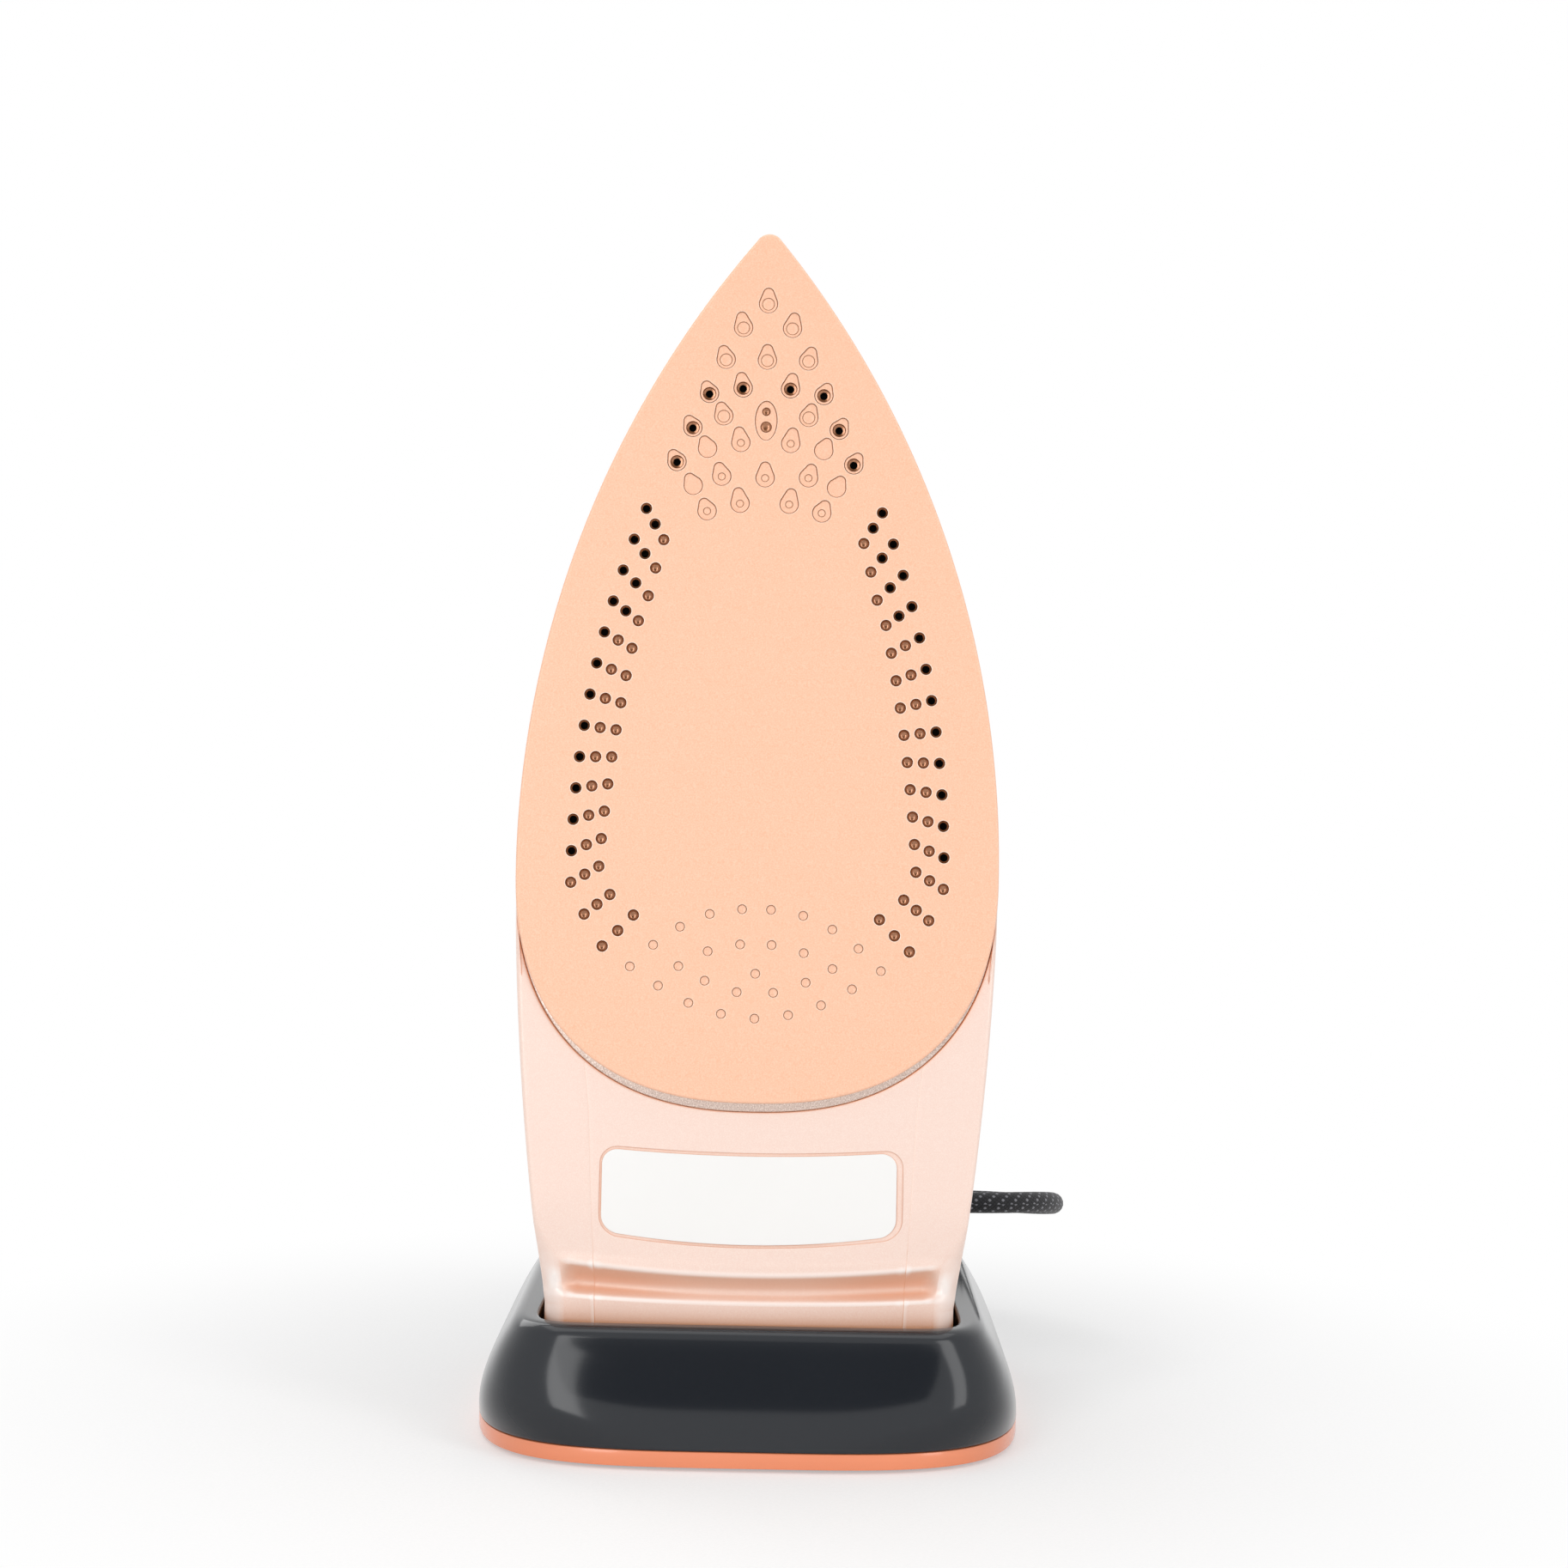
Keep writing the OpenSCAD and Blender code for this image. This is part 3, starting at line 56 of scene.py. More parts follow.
HALF_W = 58.5            # half of the sole's widest part
OGIVE_R = 243.0          # the two long curves of the sole
TIP_R = 3.5
REAR_L = 56.5            # rounded rear end of the sole
REAR_N = 2.4             # its squareness
HEEL_L = 74.0            # heel, below the sole
ZC = HEEL_L + REAR_L     # where the sole is widest
OGIVE_X = HALF_W - OGIVE_R
SOLE_T = 1.6             # coated sheet
FOOT_HALF_W = 49.5
LEAN = radians(5)   # the iron leans back in its dock
SEAT_Z = 10.4
DOCK_Y = -10.0
SOLE_Y = DOCK_Y - 75.0 + 13.5
SKIRT_D = 42.0           # depth of the pink skirt at the heel
NOSE_D = 9.0             # and at the tip
TANK_D = 62.0
GRIP_D = 122.0           # middle of the grip, from the sole's face
GRIP_W = 36.0
GRIP_T = 26.0
GRIP_END = 196.0
HEAD_TO = GRIP_END + 31.0
DIAL_Z = ZC - 10.0
DIAL_R = 22.0
DIAL_GROOVES = 30
CORD_D = 6.0


def tip_centre(d):
    """Where the tip's arc has its middle, d inside the sole's edge."""
    return ZC + sqrt((OGIVE_R - d - TIP_R) ** 2 - OGIVE_X ** 2)


def tip_angle(d):
    """Where the tip's arc meets the long curves."""
    return acos(-OGIVE_X / (OGIVE_R - d - TIP_R))


TIP_Z = tip_centre(0) + TIP_R


# ---------- Places ----------

def stand(points):
    """Points of the iron's own frame, in millimetres, as it stands in the dock, in metres."""
    p = np.asarray(points, float).reshape(-1, 3)
    c, s = cos(LEAN), sin(LEAN)
    y = SOLE_Y + p[:, 1] * c + p[:, 2] * s
    z = SEAT_Z - p[:, 1] * s + p[:, 2] * c
    return np.stack([p[:, 0], y, z], axis=1) * MM


def lie(points):
    """Points of the dock's frame, in millimetres, in metres."""
    return np.asarray(points, float).reshape(-1, 3) * MM


# ---------- Colours and nodes ----------

def linear(code):
    """An sRGB hex colour as linear RGBA."""
    out = []
    for i in (1, 3, 5):
        c = int(code[i:i + 2], 16) / 255
        out.append(c / 12.92 if c <= 0.04045 else ((c + 0.055) / 1.055) ** 2.4)
    return (*out, 1.0)


def add(tree, kind, settings=None, **inputs):
    """Adds a node with its settings. An input is a value, or the socket that feeds it, and out_to is
    the socket that the node's first output feeds. The stops of a colour ramp are (place, colour)."""
    node = tree.nodes.new("ShaderNode" + kind)
    for key, value in (settings or {}).items():
        if key != "stops":
            setattr(node, key, value)
            continue
        while len(node.color_ramp.elements) < len(value):
            node.color_ramp.elements.new(0.5)
        for element, (place, code) in zip(node.color_ramp.elements, value):
            element.position = place
            element.color = linear(code) if isinstance(code, str) else (code, code, code, 1)
    target = inputs.pop("out_to", None)
    for key, value in inputs.items():
        socket = node.inputs[int(key[1:]) if key[0] == "i" and key[1:].isdigit() else key.replace("_", " ")]
        if isinstance(value, bpy.types.NodeSocket):
            tree.links.new(value, socket)
        else:
            socket.default_value = value
    if target:
        tree.links.new(node.outputs[0], target)
    return node


def finish_of(name, **shader):
    """A new material with its shader, and the tree to add its pattern to; only the material if it
    was made before."""
    old = bpy.data.materials.get(name)
    if old:
        return old, None, None
    material = bpy.data.materials.new(name)
    material.use_nodes = True
    tree = material.node_tree
    shade = tree.nodes["Principled BSDF"]
    for key, value in shader.items():
        shade.inputs[key.replace("_", " ")].default_value = value
    material.diffuse_color = shade.inputs["Base Color"].default_value
    return material, tree, shade


FIBRES, CELLS = "TexNoise", "TexVoronoi"


def grain(tree, size_mm, detail=2.0, stretch=(1, 1, 1), kind=FIBRES):
    """A pattern in the object's own space whose features are size_mm across."""
    where = add(tree, "TexCoord").outputs["Object"]
    mapping = add(tree, "Mapping", Vector=where, Scale=stretch)
    pattern = add(tree, kind, Vector=mapping.outputs["Vector"], Scale=1 / (size_mm * MM))
    if kind == FIBRES:
        pattern.inputs["Detail"].default_value = detail
    return pattern


# ---------- Mesh making ----------

def new_piece(name, verts, faces, smooth=35, uvs=None):
    """A mesh object from points in metres. Edges sharper than smooth degrees stay crisp."""
    mesh = bpy.data.meshes.new(name)
    mesh.from_pydata([tuple(v) for v in verts], [], [tuple(int(i) for i in f) for f in faces])
    mesh.validate()
    if uvs is not None:
        layer = mesh.uv_layers.new(name="UVMap")
        for loop in mesh.loops:
            layer.data[loop.index].uv = uvs[loop.vertex_index]
    bm = bmesh.new()
    bm.from_mesh(mesh)
    bmesh.ops.recalc_face_normals(bm, faces=bm.faces)
    bm.to_mesh(mesh)
    bm.free()
    mesh.polygons.foreach_set("use_smooth", [True] * len(mesh.polygons))
    if smooth is not None:
        mesh.set_sharp_from_angle(angle=radians(smooth))
    piece = bpy.data.objects.new(name, mesh)
    bpy.context.scene.collection.objects.link(piece)
    return piece


def skin(m, n, first=0, closed=True, loop=False, caps=(False, False)):
    """Faces over m rings of n points each, the first of which has the number first. Closed rings
    have no end, a loop's last ring joins its first, and caps close the first and the last ring."""
    faces = []
    for i in range(m if loop else m - 1):
        a, b = first + i * n, first + (i + 1) % m * n
        faces += [(a + j, a + (j + 1) % n, b + (j + 1) % n, b + j) for j in range(n if closed else n - 1)]
    for start, wanted in zip((first, first + (m - 1) * n), caps):
        if wanted:
            faces.append(tuple(range(start, start + n)))
    return faces


def lofted(name, rings, place=stand, closed=True, loop=False, caps=(True, True), smooth=35):
    """A skin over rings of points in millimetres."""
    rings = [np.asarray(r, float) for r in rings]
    faces = skin(len(rings), len(rings[0]), 0, closed, loop, caps)
    return new_piece(name, place(np.concatenate(rings)), faces, smooth)


def raised(plan, height):
    """A plan of (x, y) at a height."""
    return np.column_stack([plan, np.full(len(plan), height)])


def place_piece(piece, body, slot, material, *nodes, crisp=None):
    """Gives a piece its finish, its body and the nodes that it stands for. Where crisp is given, its
    flat faces stay flat and its edges sharper than crisp degrees stay crisp."""
    if crisp:
        even_shading(piece, crisp)
    piece.data.materials.clear()
    piece.data.materials.append(material)
    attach(piece, body)
    if nodes:
        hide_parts(*nodes)
    return piece


def finish_nodes(material, *nodes):
    """Gives CAD nodes a material."""
    for name in nodes:
        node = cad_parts[name]
        node.data.materials.clear()
        node.data.materials.append(material)


# ---------- What a user may change ----------

def colour(name, default, description):
    return StringProperty(name=name, default=default, description=description + ", as an sRGB hex code")


def length(name, default, description):
    return FloatProperty(name=name, default=default, description=description, unit="LENGTH", min=0)


def watts(place, default):
    return FloatProperty(name=f"Lamp, {place}", default=default,
                         description=f"Power of the {place} lamp, in watts")


def angle(name, default, description):
    return FloatProperty(name=name, default=radians(default), subtype="ANGLE", description=description)


class IronColours(bpy.types.PropertyGroup):
    coating: colour("Coating", "#FBC6A6", "Ceramic coating of the sole")
    pearl: colour("Pearl plastic", "#F7DCCF", "Pearl plastic of the skirt and the keys")
    black: colour("Black plastic", "#23262B", "Glossy plastic of the dock, handle and housing")
    band: colour("Band", "#F19167", "Coloured band round the dock's foot")
    braid: colour("Braid", "#26262A", "Main thread of the cord's braid")
    fleck: colour("Fleck", "#8C8C92", "Light thread of the cord's braid")
    plate: colour("Plate", "#F4F3F1", "Bare plate on the heel")


class IronSizes(bpy.types.PropertyGroup):
    hole_lip: length("Hole lip", 0.25 * MM, "Rounding of the steam holes' edges")
    sole_edge: length("Sole edge", 0.7 * MM, "Rounding of the sole's edge")
    speckle: length("Speckle", 0.32 * MM, "Size of the coating's speckle")
    thread: length("Thread", 0.8 * MM, "Pitch of the cord's braid")


class StageSizes(bpy.types.PropertyGroup):
    camera_back: length("Camera distance", 0.7594, "From the middle of the dock to the camera")
    camera_side: length("Camera side", 0.00605, "How far right of the middle the camera stands")
    camera_up: length("Camera height", 0.1733, "Height of the camera above the table")
    tilt: angle("Tilt", 1, "Downward look")
    turn: angle("Turn", 0, "Look to the left")
    roll: angle("Roll", 1.1, "Roll of the camera")
    lens: FloatProperty(name="Lens", default=66.42, description="Focal length on a 36 mm wide sensor")
    key_left: watts("left", 9.0)
    key_right: watts("right", 6.0)
    top: watts("top", 8.0)
    rear: watts("rear", 5.0)
    ambient: FloatProperty(name="Ambient", default=0.5, description="Strength of the light from all round")


# ---------- Materials ----------

def chosen(group):
    """The user's choices: the group colours or sizes."""
    return getattr(bpy.context.scene, "iron_" + group)


def patterned(name, size_mm, stops=(), relief=None, detail=2.0, stretch=(1, 1, 1), kind=FIBRES, **shader):
    """A finish that follows one pattern: stops are its tones, and relief is the strength of its
    bumps and their depth in millimetres."""
    material, tree, shade = finish_of(name, **shader)
    if tree is None:
        return material
    value = grain(tree, size_mm, detail, stretch, kind).outputs["Fac" if kind == FIBRES else "Distance"]
    if stops:
        add(tree, "ValToRGB", {"stops": stops}, Fac=value, out_to=shade.inputs["Base Color"])
    if relief:
        add(tree, "Bump", Strength=relief[0], Distance=relief[1] * MM, Height=value,
            out_to=shade.inputs["Normal"])
    return material


def coating():
    """Ceramic coating, sprayed and fired: a smooth satin skin with a fine two-tone speckle."""
    material, tree, shade = finish_of("ceramic_coating_sprayed", Roughness=0.32, Coat_Weight=0.35,
                                      Coat_Roughness=0.25, IOR=1.5)
    if tree is None:
        return material
    size = chosen("sizes").speckle / MM
    tone = chosen("colours").coating
    fine = grain(tree, size, 3.0).outputs["Fac"]
    dots = grain(tree, size * 2.2, kind=CELLS).outputs["Distance"]
    base = add(tree, "ValToRGB", {"stops": [(0.34, "#F7BE9B"), (0.5, tone), (0.68, "#FECFB3")]},
               Fac=fine)
    spot = add(tree, "ValToRGB", {"stops": [(0.05, 1.0), (0.16, 0.0)]}, Fac=dots)
    speckled = add(tree, "Mix", {"data_type": "RGBA"}, i0=spot.outputs[0], i6=base.outputs[0],
                   i7=linear("#F3B693"))
    tree.links.new(speckled.outputs[2], shade.inputs["Base Color"])
    add(tree, "Bump", Strength=0.15, Distance=0.02 * MM, Height=fine,
        out_to=shade.inputs["Normal"])
    return material


def hole_shade_coating():
    """The same coating on the walls and bowls of the holes and recesses: browner as painted shade, and
    glossier.
    """
    return patterned("ceramic_coating_painted_shade", chosen("sizes").speckle / MM,
                     [(0.35, "#94603F"), (0.65, "#B27852")], (0.15, 0.02), 3.0, Roughness=0.2, Metallic=0.6,
                     Coat_Weight=0.7, Coat_Roughness=0.08, IOR=1.5)


def rim_highlight_coating():
    """The same coating on the edges of the holes and recesses, paler and brighter as a painted highlight."""
    return patterned("ceramic_coating_painted_highlight", chosen("sizes").speckle / MM,
                     [(0.3, "#FFDDC6"), (0.7, "#FFE9D8")], None, 3.0, Roughness=0.22, Coat_Weight=0.8,
                     Coat_Roughness=0.1, IOR=1.5)


def moulded(name, code, roughness, coat=0.0, texture=0.25, mottle=0.06, **more):
    """Moulded plastic: an even colour that wavers a little, over a very fine skin texture."""
    material, tree, shade = finish_of(name, Roughness=roughness, Coat_Weight=coat, Coat_Roughness=0.06,
                                      IOR=1.5, **more)
    if tree is None:
        return material
    fine = grain(tree, 0.35).outputs["Fac"]
    cloud = grain(tree, 30).outputs["Fac"]
    low, high = ([min(1, c * share) for c in linear(code)[:3]] + [1] for share in (1 - mottle, 1 + mottle))
    mix = add(tree, "Mix", {"data_type": "RGBA"}, i0=cloud, i6=low, i7=high)
    tree.links.new(mix.outputs[2], shade.inputs["Base Color"])
    add(tree, "MapRange", None, Value=fine, To_Min=roughness * 0.85, To_Max=roughness * 1.15,
        out_to=shade.inputs["Roughness"])
    add(tree, "Bump", Strength=texture, Distance=0.01 * MM, Height=fine,
        out_to=shade.inputs["Normal"])
    return material


def gloss_black():
    """ABS, moulded in a polished tool: a deep charcoal with soft clear reflections."""
    return moulded("abs_gloss_charcoal", chosen("colours").black, 0.13, texture=0.05,
                   Specular_IOR_Level=0.4)


def matt_black():
    """Glass-filled nylon, moulded in a sparked tool: a dry charcoal."""
    return moulded("nylon_matt_charcoal", "#232427", 0.55, texture=0.5)


def coral():
    """ABS, moulded in a polished tool: an even coral with a clear gloss."""
    return moulded("abs_gloss_coral", chosen("colours").band, 0.25, coat=0.4, texture=0.08)


def white_plate():
    """Printed foil, left bare: flat white with a slight gloss."""
    return moulded("polyester_foil_white", chosen("colours").plate, 0.4, coat=0.2,
                   texture=0.05, mottle=0.01)


def white_nylon():
    """Natural nylon, moulded: milky white."""
    return moulded("nylon_natural", "#E6E4DE", 0.45, texture=0.3, mottle=0.02)


def pearl_base(name):
    """ABS with pearl pigment: its silky sheen and minute bright flakes; gives the plain colour too."""
    tone = chosen("colours").pearl
    material, tree, shade = finish_of(name, Roughness=0.36, Metallic=0.05, Coat_Weight=0.25,
                                      Coat_Roughness=0.1, IOR=1.5)
    if tree is None:
        return material, None, None, None
    flake = grain(tree, 0.22, kind=CELLS)
    base = add(tree, "ValToRGB", {"stops": [(0.0, "#F5D8CA"), (0.5, tone), (1.0, "#FAE3D7")]},
               Fac=flake.outputs["Color"])
    add(tree, "Bump", Strength=0.04, Distance=0.02 * MM, Height=flake.outputs["Distance"],
        out_to=shade.inputs["Normal"])
    return material, tree, shade, base.outputs["Color"]


def pearl():
    """Pearl ABS on the large skirt: warm pink, with a deeper orange painted in its hollows and on
    the foot's downward faces as shade, and a pale painted highlight on the foot's crests."""
    material, tree, shade, base = pearl_base("abs_pearl_rose")
    if tree is None:
        return material
    # painted shade: ambient occlusion deepens the pink to orange in the groove and near the dock
    hollow = add(tree, "AmbientOcclusion", {"samples": 8}, Distance=15 * MM)
    shape = add(tree, "NewGeometry")
    place = add(tree, "SeparateXYZ", Vector=add(tree, "TexCoord").outputs["Object"])
    facing = add(tree, "SeparateXYZ", Vector=shape.outputs["Normal"])

    # each share grows from 0 at the first limit of its value to 1 at the second
    low, under, deep, ahead, crest_highlight = (
        add(tree, "MapRange", Value=value, From_Min=first, From_Max=last).outputs["Result"]
        for value, first, last in ((place.outputs["Z"], 49 * MM, 47 * MM), (facing.outputs["Z"], 0.0, -1.1),
                                   (hollow.outputs["AO"], 0.9, 0.38), (facing.outputs["Y"], -0.3, -0.7),
                                   (shape.outputs["Pointiness"], 0.507, 0.532)))
    foot = add(tree, "ValToRGB", {"stops": [(0.0, 0.0), (1.0, 1.0)]}, Fac=low).outputs["Color"]
    # painted shade: faces turned down on the foot, and the hollows, mix towards orange
    below = add(tree, "Math", {"operation": "MULTIPLY"}, i0=foot, i1=under)
    shaded = add(tree, "Math", {"operation": "MAXIMUM"}, i0=below.outputs[0], i1=deep)
    warm = add(tree, "Mix", {"data_type": "RGBA"}, i0=shaded.outputs[0], i6=base,
               i7=linear("#E39A6B"))
    # painted highlight: pointed crests that face forward on the foot turn pale
    front = add(tree, "Math", {"operation": "MULTIPLY"}, i0=foot, i1=ahead)
    edge = add(tree, "Math", {"operation": "MULTIPLY"}, i0=front.outputs[0], i1=crest_highlight)
    pale = add(tree, "Mix", {"data_type": "RGBA"}, i0=edge.outputs[0], i6=warm.outputs[2],
               i7=linear("#FFF4EE"))
    tree.links.new(pale.outputs[2], shade.inputs["Base Color"])
    return material


def pearl_key():
    """The same pearl ABS in a small polished moulding: even warm pink with bright flakes."""
    material, tree, shade, base = pearl_base("abs_pearl_rose_keys")
    if tree is not None:
        tree.links.new(base, shade.inputs["Base Color"])
    return material


def ground_alloy():
    """Die-cast aluminium, ground along its edge: fine scratches across the lip."""
    tones = [(0.3, "#B79F94"), (0.55, "#DBC6BA"), (0.75, "#F6E9E1")]
    return patterned("aluminium_die_cast_ground", 0.3, tones, (0.35, 0.03), 3.0, (1, 0.08, 1),
                     Roughness=0.34, Metallic=1.0)


def channel_shade_alloy():
    """The casting's steam channel: bare aluminium painted near black as shade, so that the steam holes read
    dark.
    """
    return patterned("aluminium_channel_painted_shade", 1.5, [(0.3, "#14100E"), (0.7, "#2A211D")], None, 3.0,
                     Roughness=0.8, Metallic=0.2)


def steel():
    """Bright drawn steel: fine lines along the draw."""
    return patterned("steel_bright_drawn", 0.2, [(0.3, "#A9ABAE"), (0.7, "#D2D4D6")], (0.15, 0.02),
                     stretch=(1, 1, 0.05), Roughness=0.28, Metallic=1.0)


def brass():
    """Turned brass: warm, with faint rings."""
    return patterned("brass_turned", 0.25, [(0.3, "#B58F42"), (0.7, "#DDBD72")], (0.12, 0.02),
                     stretch=(0.1, 0.1, 1), Roughness=0.24, Metallic=1.0)


def rubber():
    """Thermoplastic rubber, moulded: matt black with a dry grain."""
    return patterned("rubber_matt_black", 0.5, [(0.3, "#131416"), (0.7, "#222326")], (0.4, 0.04), 3.0,
                     Roughness=0.75, IOR=1.45, Specular_IOR_Level=0.35)


def smoke():
    """Smoke-tinted polycarbonate, moulded clear: the dark inside shows faintly through it."""
    return patterned("polycarbonate_smoke", 12, relief=(0.05, 0.1), detail=1.0,
                     Base_Color=linear("#8F878C"), Roughness=0.08, IOR=1.58, Transmission_Weight=0.85)


def lamp_red():
    """Clear red acrylic, moulded with facets inside: a lens that glitters a little."""
    return patterned("acrylic_red_lens", 1.2, relief=(0.2, 0.05), kind=CELLS, Base_Color=linear("#D13A26"),
                     Roughness=0.12, Transmission_Weight=0.3, Coat_Weight=0.6)


def board():
    """Glass-epoxy board under green lacquer, with a faint weave."""
    return patterned("glass_epoxy_green", 0.8, [(0.2, "#1D4D30"), (0.8, "#2B6B45")], kind=CELLS,
                     Roughness=0.4, Coat_Weight=0.3)


def felt():
    """Black felt over board, seen only in reflections: fibres that give no gloss."""
    return patterned("felt_black_flag", 2.0, [(0.3, "#0E0E10"), (0.7, "#18181B")], None, 3.0,
                     Roughness=0.95, Specular_IOR_Level=0.1)


STRANDS = 16             # threads that cross in the braid, once round the cord


def braid():
    """Textile braid over rubber: two dark threads and a light one cross in a diamond pattern.
    Its UVs run once round the cord and, along it, in millimetres."""
    colours = chosen("colours")
    material, tree, shade = finish_of("textile_braid_dark", Roughness=0.8, Sheen_Weight=0.25,
                                      Sheen_Roughness=0.5, IOR=1.45)
    if tree is None:
        return material

    parts = add(tree, "SeparateXYZ", Vector=add(tree, "TexCoord").outputs["UV"])
    pitch = chosen("sizes").thread / MM
    got = {"round": parts.outputs["X"], "along": parts.outputs["Y"]}
    for name, operation, first, second in (
            ("turns", "MULTIPLY", "round", float(STRANDS)), ("steps", "DIVIDE", "along", pitch * 1.5),
            ("right", "ADD", "turns", "steps"), ("left", "SUBTRACT", "turns", "steps"),
            ("right_cell", "PINGPONG", "right", 0.5), ("left_cell", "PINGPONG", "left", 0.5),
            ("right_number", "FLOOR", "right", 0.5), ("left_number", "FLOOR", "left", 0.5),
            ("height", "MULTIPLY", "right_cell", "left_cell"),
            ("third", "FLOORED_MODULO", "right_number", 3.0), ("light", "LESS_THAN", "third", 0.5),
            ("sum", "ADD", "right_number", "left_number"), ("over", "FLOORED_MODULO", "sum", 2.0),
            ("shown", "MULTIPLY", "light", "over")):
        got[name] = add(tree, "Math", {"operation": operation}, i0=got.get(first, first),
                        i1=got.get(second, second)).outputs[0]
    tone = add(tree, "Mix", {"data_type": "RGBA"}, i0=got["shown"], i6=linear(colours.braid),
               i7=linear(colours.fleck))
    # painted shade: the tone darkens where the threads dip between their crossings
    weave_shade = add(tree, "ValToRGB", {"stops": [(0.0, 0.35), (0.1, 1.0)]}, Fac=got["height"])
    dark = add(tree, "Mix", {"data_type": "RGBA", "blend_type": "MULTIPLY"}, i0=1.0,
               i6=tone.outputs[2], i7=weave_shade.outputs[0])
    tree.links.new(dark.outputs[2], shade.inputs["Base Color"])
    add(tree, "Bump", Strength=0.9, Distance=0.35 * MM, Height=got["height"],
        out_to=shade.inputs["Normal"])
    return material


# ---------- Cord ----------

COIL_AT = (0.0, 151.0)
TABLE_GAP = 0.8
LOW = TABLE_GAP + CORD_D / 2    # height of the middle line of the coil's bottom layer
# layers of the coil: first radius, last radius, height, turns, and the climb after it in radians
LAYERS = [(45.0, 26.6, LOW, 3.05, 1.7), (27.6, 39.2, LOW + CORD_D, 1.9, 2.0),
          (34.8, 43.6, LOW + 2 * CORD_D, 0.0, 0.0)]
TURN_POINTS = 28         # points in one turn of the coil
LINE_STEP = 1.2          # between the points of the finished line
BEND_R = 26.2            # of the turn behind the dock
LOOP_R = 25.4            # of the loop that rises off the coil
LOOP_RISE = 14.0
PLUG_AT = (14.0, 143.0, 18.8)   # middle of the plug's underside, on the coil
PLUG_L = 50.0
PLUG_W = 48.0
PLUG_H = 24.0
STRAP_TOP = 18.8 + 0.3
STRAP_W = 8.8
STRAP_T = 0.75


def lead_points():
    """The free stretch: out of the dock, round in one wide turn, and down behind the dock."""
    arc = [(60.8 + BEND_R * cos(a), 82.2 + BEND_R * sin(a))
           for a in np.linspace(-pi / 2, pi / 2, 15)]
    points = [(x, y, 42 - 8 * smoothly(y, 50, 112)) for x, y in [(58, 56)] + arc]
    for x in np.linspace(54, 7, 8):
        y = 105 + 3.4 * smoothly(x, 20, 61) + 1.0 * smoothly(20 - x, 0, 20)
        points.append((x, y, LOW + 3 + 27.4 * smoothly(x, 0, 61)))
    return points


def coil_points():
    """The wound part: inwards on the table, outwards on that, outwards again, and up into the plug."""
    def on_coil(r, a, z):
        return COIL_AT[0] + r * cos(a), COIL_AT[1] + r * sin(a), z

    points = []
    angle = -pi / 2
    spent = sum(turns + climb / (2 * pi) for _, _, _, turns, climb in LAYERS)
    for number, (r0, r1, z, turns, climb) in enumerate(LAYERS):
        turns = turns or ceil(spent + 1) - spent
        count = int(turns * TURN_POINTS)
        for i in range(count + 1):
            sink = 3 * (1 - smoothly(i, 0, 9)) if number == 0 else 0
            points.append(on_coil(r0 + (r1 - r0) * i / count, angle, z + sink))
            angle -= 2 * pi * turns / count if i < count else 0
        if climb:
            for t in np.linspace(0, 1, 10)[1:-1]:
                share = smoothly(t, 0, 1)
                r = r1 + (LAYERS[number + 1][0] - r1) * share
                points.append(on_coil(r, angle - climb * t, z + CORD_D * share))
            angle -= climb
    x, y, z = points[-1]
    loop = [(x - 9, y), (x - 18, y)]
    loop += [(x - 19 + LOOP_R * cos(a), y + LOOP_R + LOOP_R * sin(a))
             for a in np.linspace(-pi / 2, -1.5 * pi, 15)]
    loop += [(x - 13, y + 2 * LOOP_R), (x - 5, y + 2 * LOOP_R)]
    far = np.cumsum([9] + [dist(a, b) for a, b in zip(loop, loop[1:])])
    return points + [(a, b, z + LOOP_RISE * smoothly(s, 0, far[-1])) for (a, b), s in zip(loop, far)]


def smooth_line(points, step):
    """Points every step along a smooth line through the given ones, and the line's length."""
    p = np.array(points, float)
    dense = []
    for i in range(len(p) - 1):
        a, b, c, d = p[max(0, i - 1)], p[i], p[i + 1], p[min(len(p) - 1, i + 2)]
        count = max(2, int(np.linalg.norm(c - b) / 0.5))
        for j in range(count):
            t = j / count
            dense.append(0.5 * (2 * b + (c - a) * t + (2 * a - 5 * b + 4 * c - d) * t * t
                                + (3 * b - a - 3 * c + d) * t ** 3))
    dense = np.array(dense + [p[-1]])
    far = np.concatenate([[0], np.cumsum(np.linalg.norm(np.diff(dense, axis=0), axis=1))])
    at = np.linspace(0, far[-1], int(far[-1] / step) + 1)
    line = np.stack([np.interp(at, far, dense[:, k]) for k in range(3)], axis=1)
    # a weighted mean over 10 mm each way evens the bends where one stretch meets the next
    n = int(10 / step)
    weights = np.hanning(2 * n + 3)[1:-1]
    padded = np.concatenate([2 * line[0] - line[n:0:-1], line, 2 * line[-1] - line[-2:-n - 2:-1]])
    line = np.stack([np.convolve(padded[:, k], weights / weights.sum(), mode="valid") for k in range(3)],
                    axis=1)
    return line, float(np.linalg.norm(np.diff(line, axis=0), axis=1).sum())


def tube(name, line, radius, sides):
    """A round tube along a line, in millimetres, with UVs round it and along it."""
    tangent = np.gradient(line, axis=0)
    tangent /= np.linalg.norm(tangent, axis=1)[:, None]
    side = np.cross(tangent[0], (0, 0, 1))
    side /= np.linalg.norm(side)
    verts, uvs, far = [], [], 0.0
    for i, (p, t) in enumerate(zip(line, tangent)):
        side = side - t * np.dot(side, t)
        side /= np.linalg.norm(side)
        other = np.cross(t, side)
        if i:
            far += np.linalg.norm(p - line[i - 1])
        for j in range(sides + 1):
            a = 2 * pi * j / sides
            verts.append(p + radius * (cos(a) * side + sin(a) * other))
            uvs.append((j / sides, far))
    return new_piece(name, lie(verts), skin(len(line), sides + 1, closed=False), smooth=60, uvs=uvs)


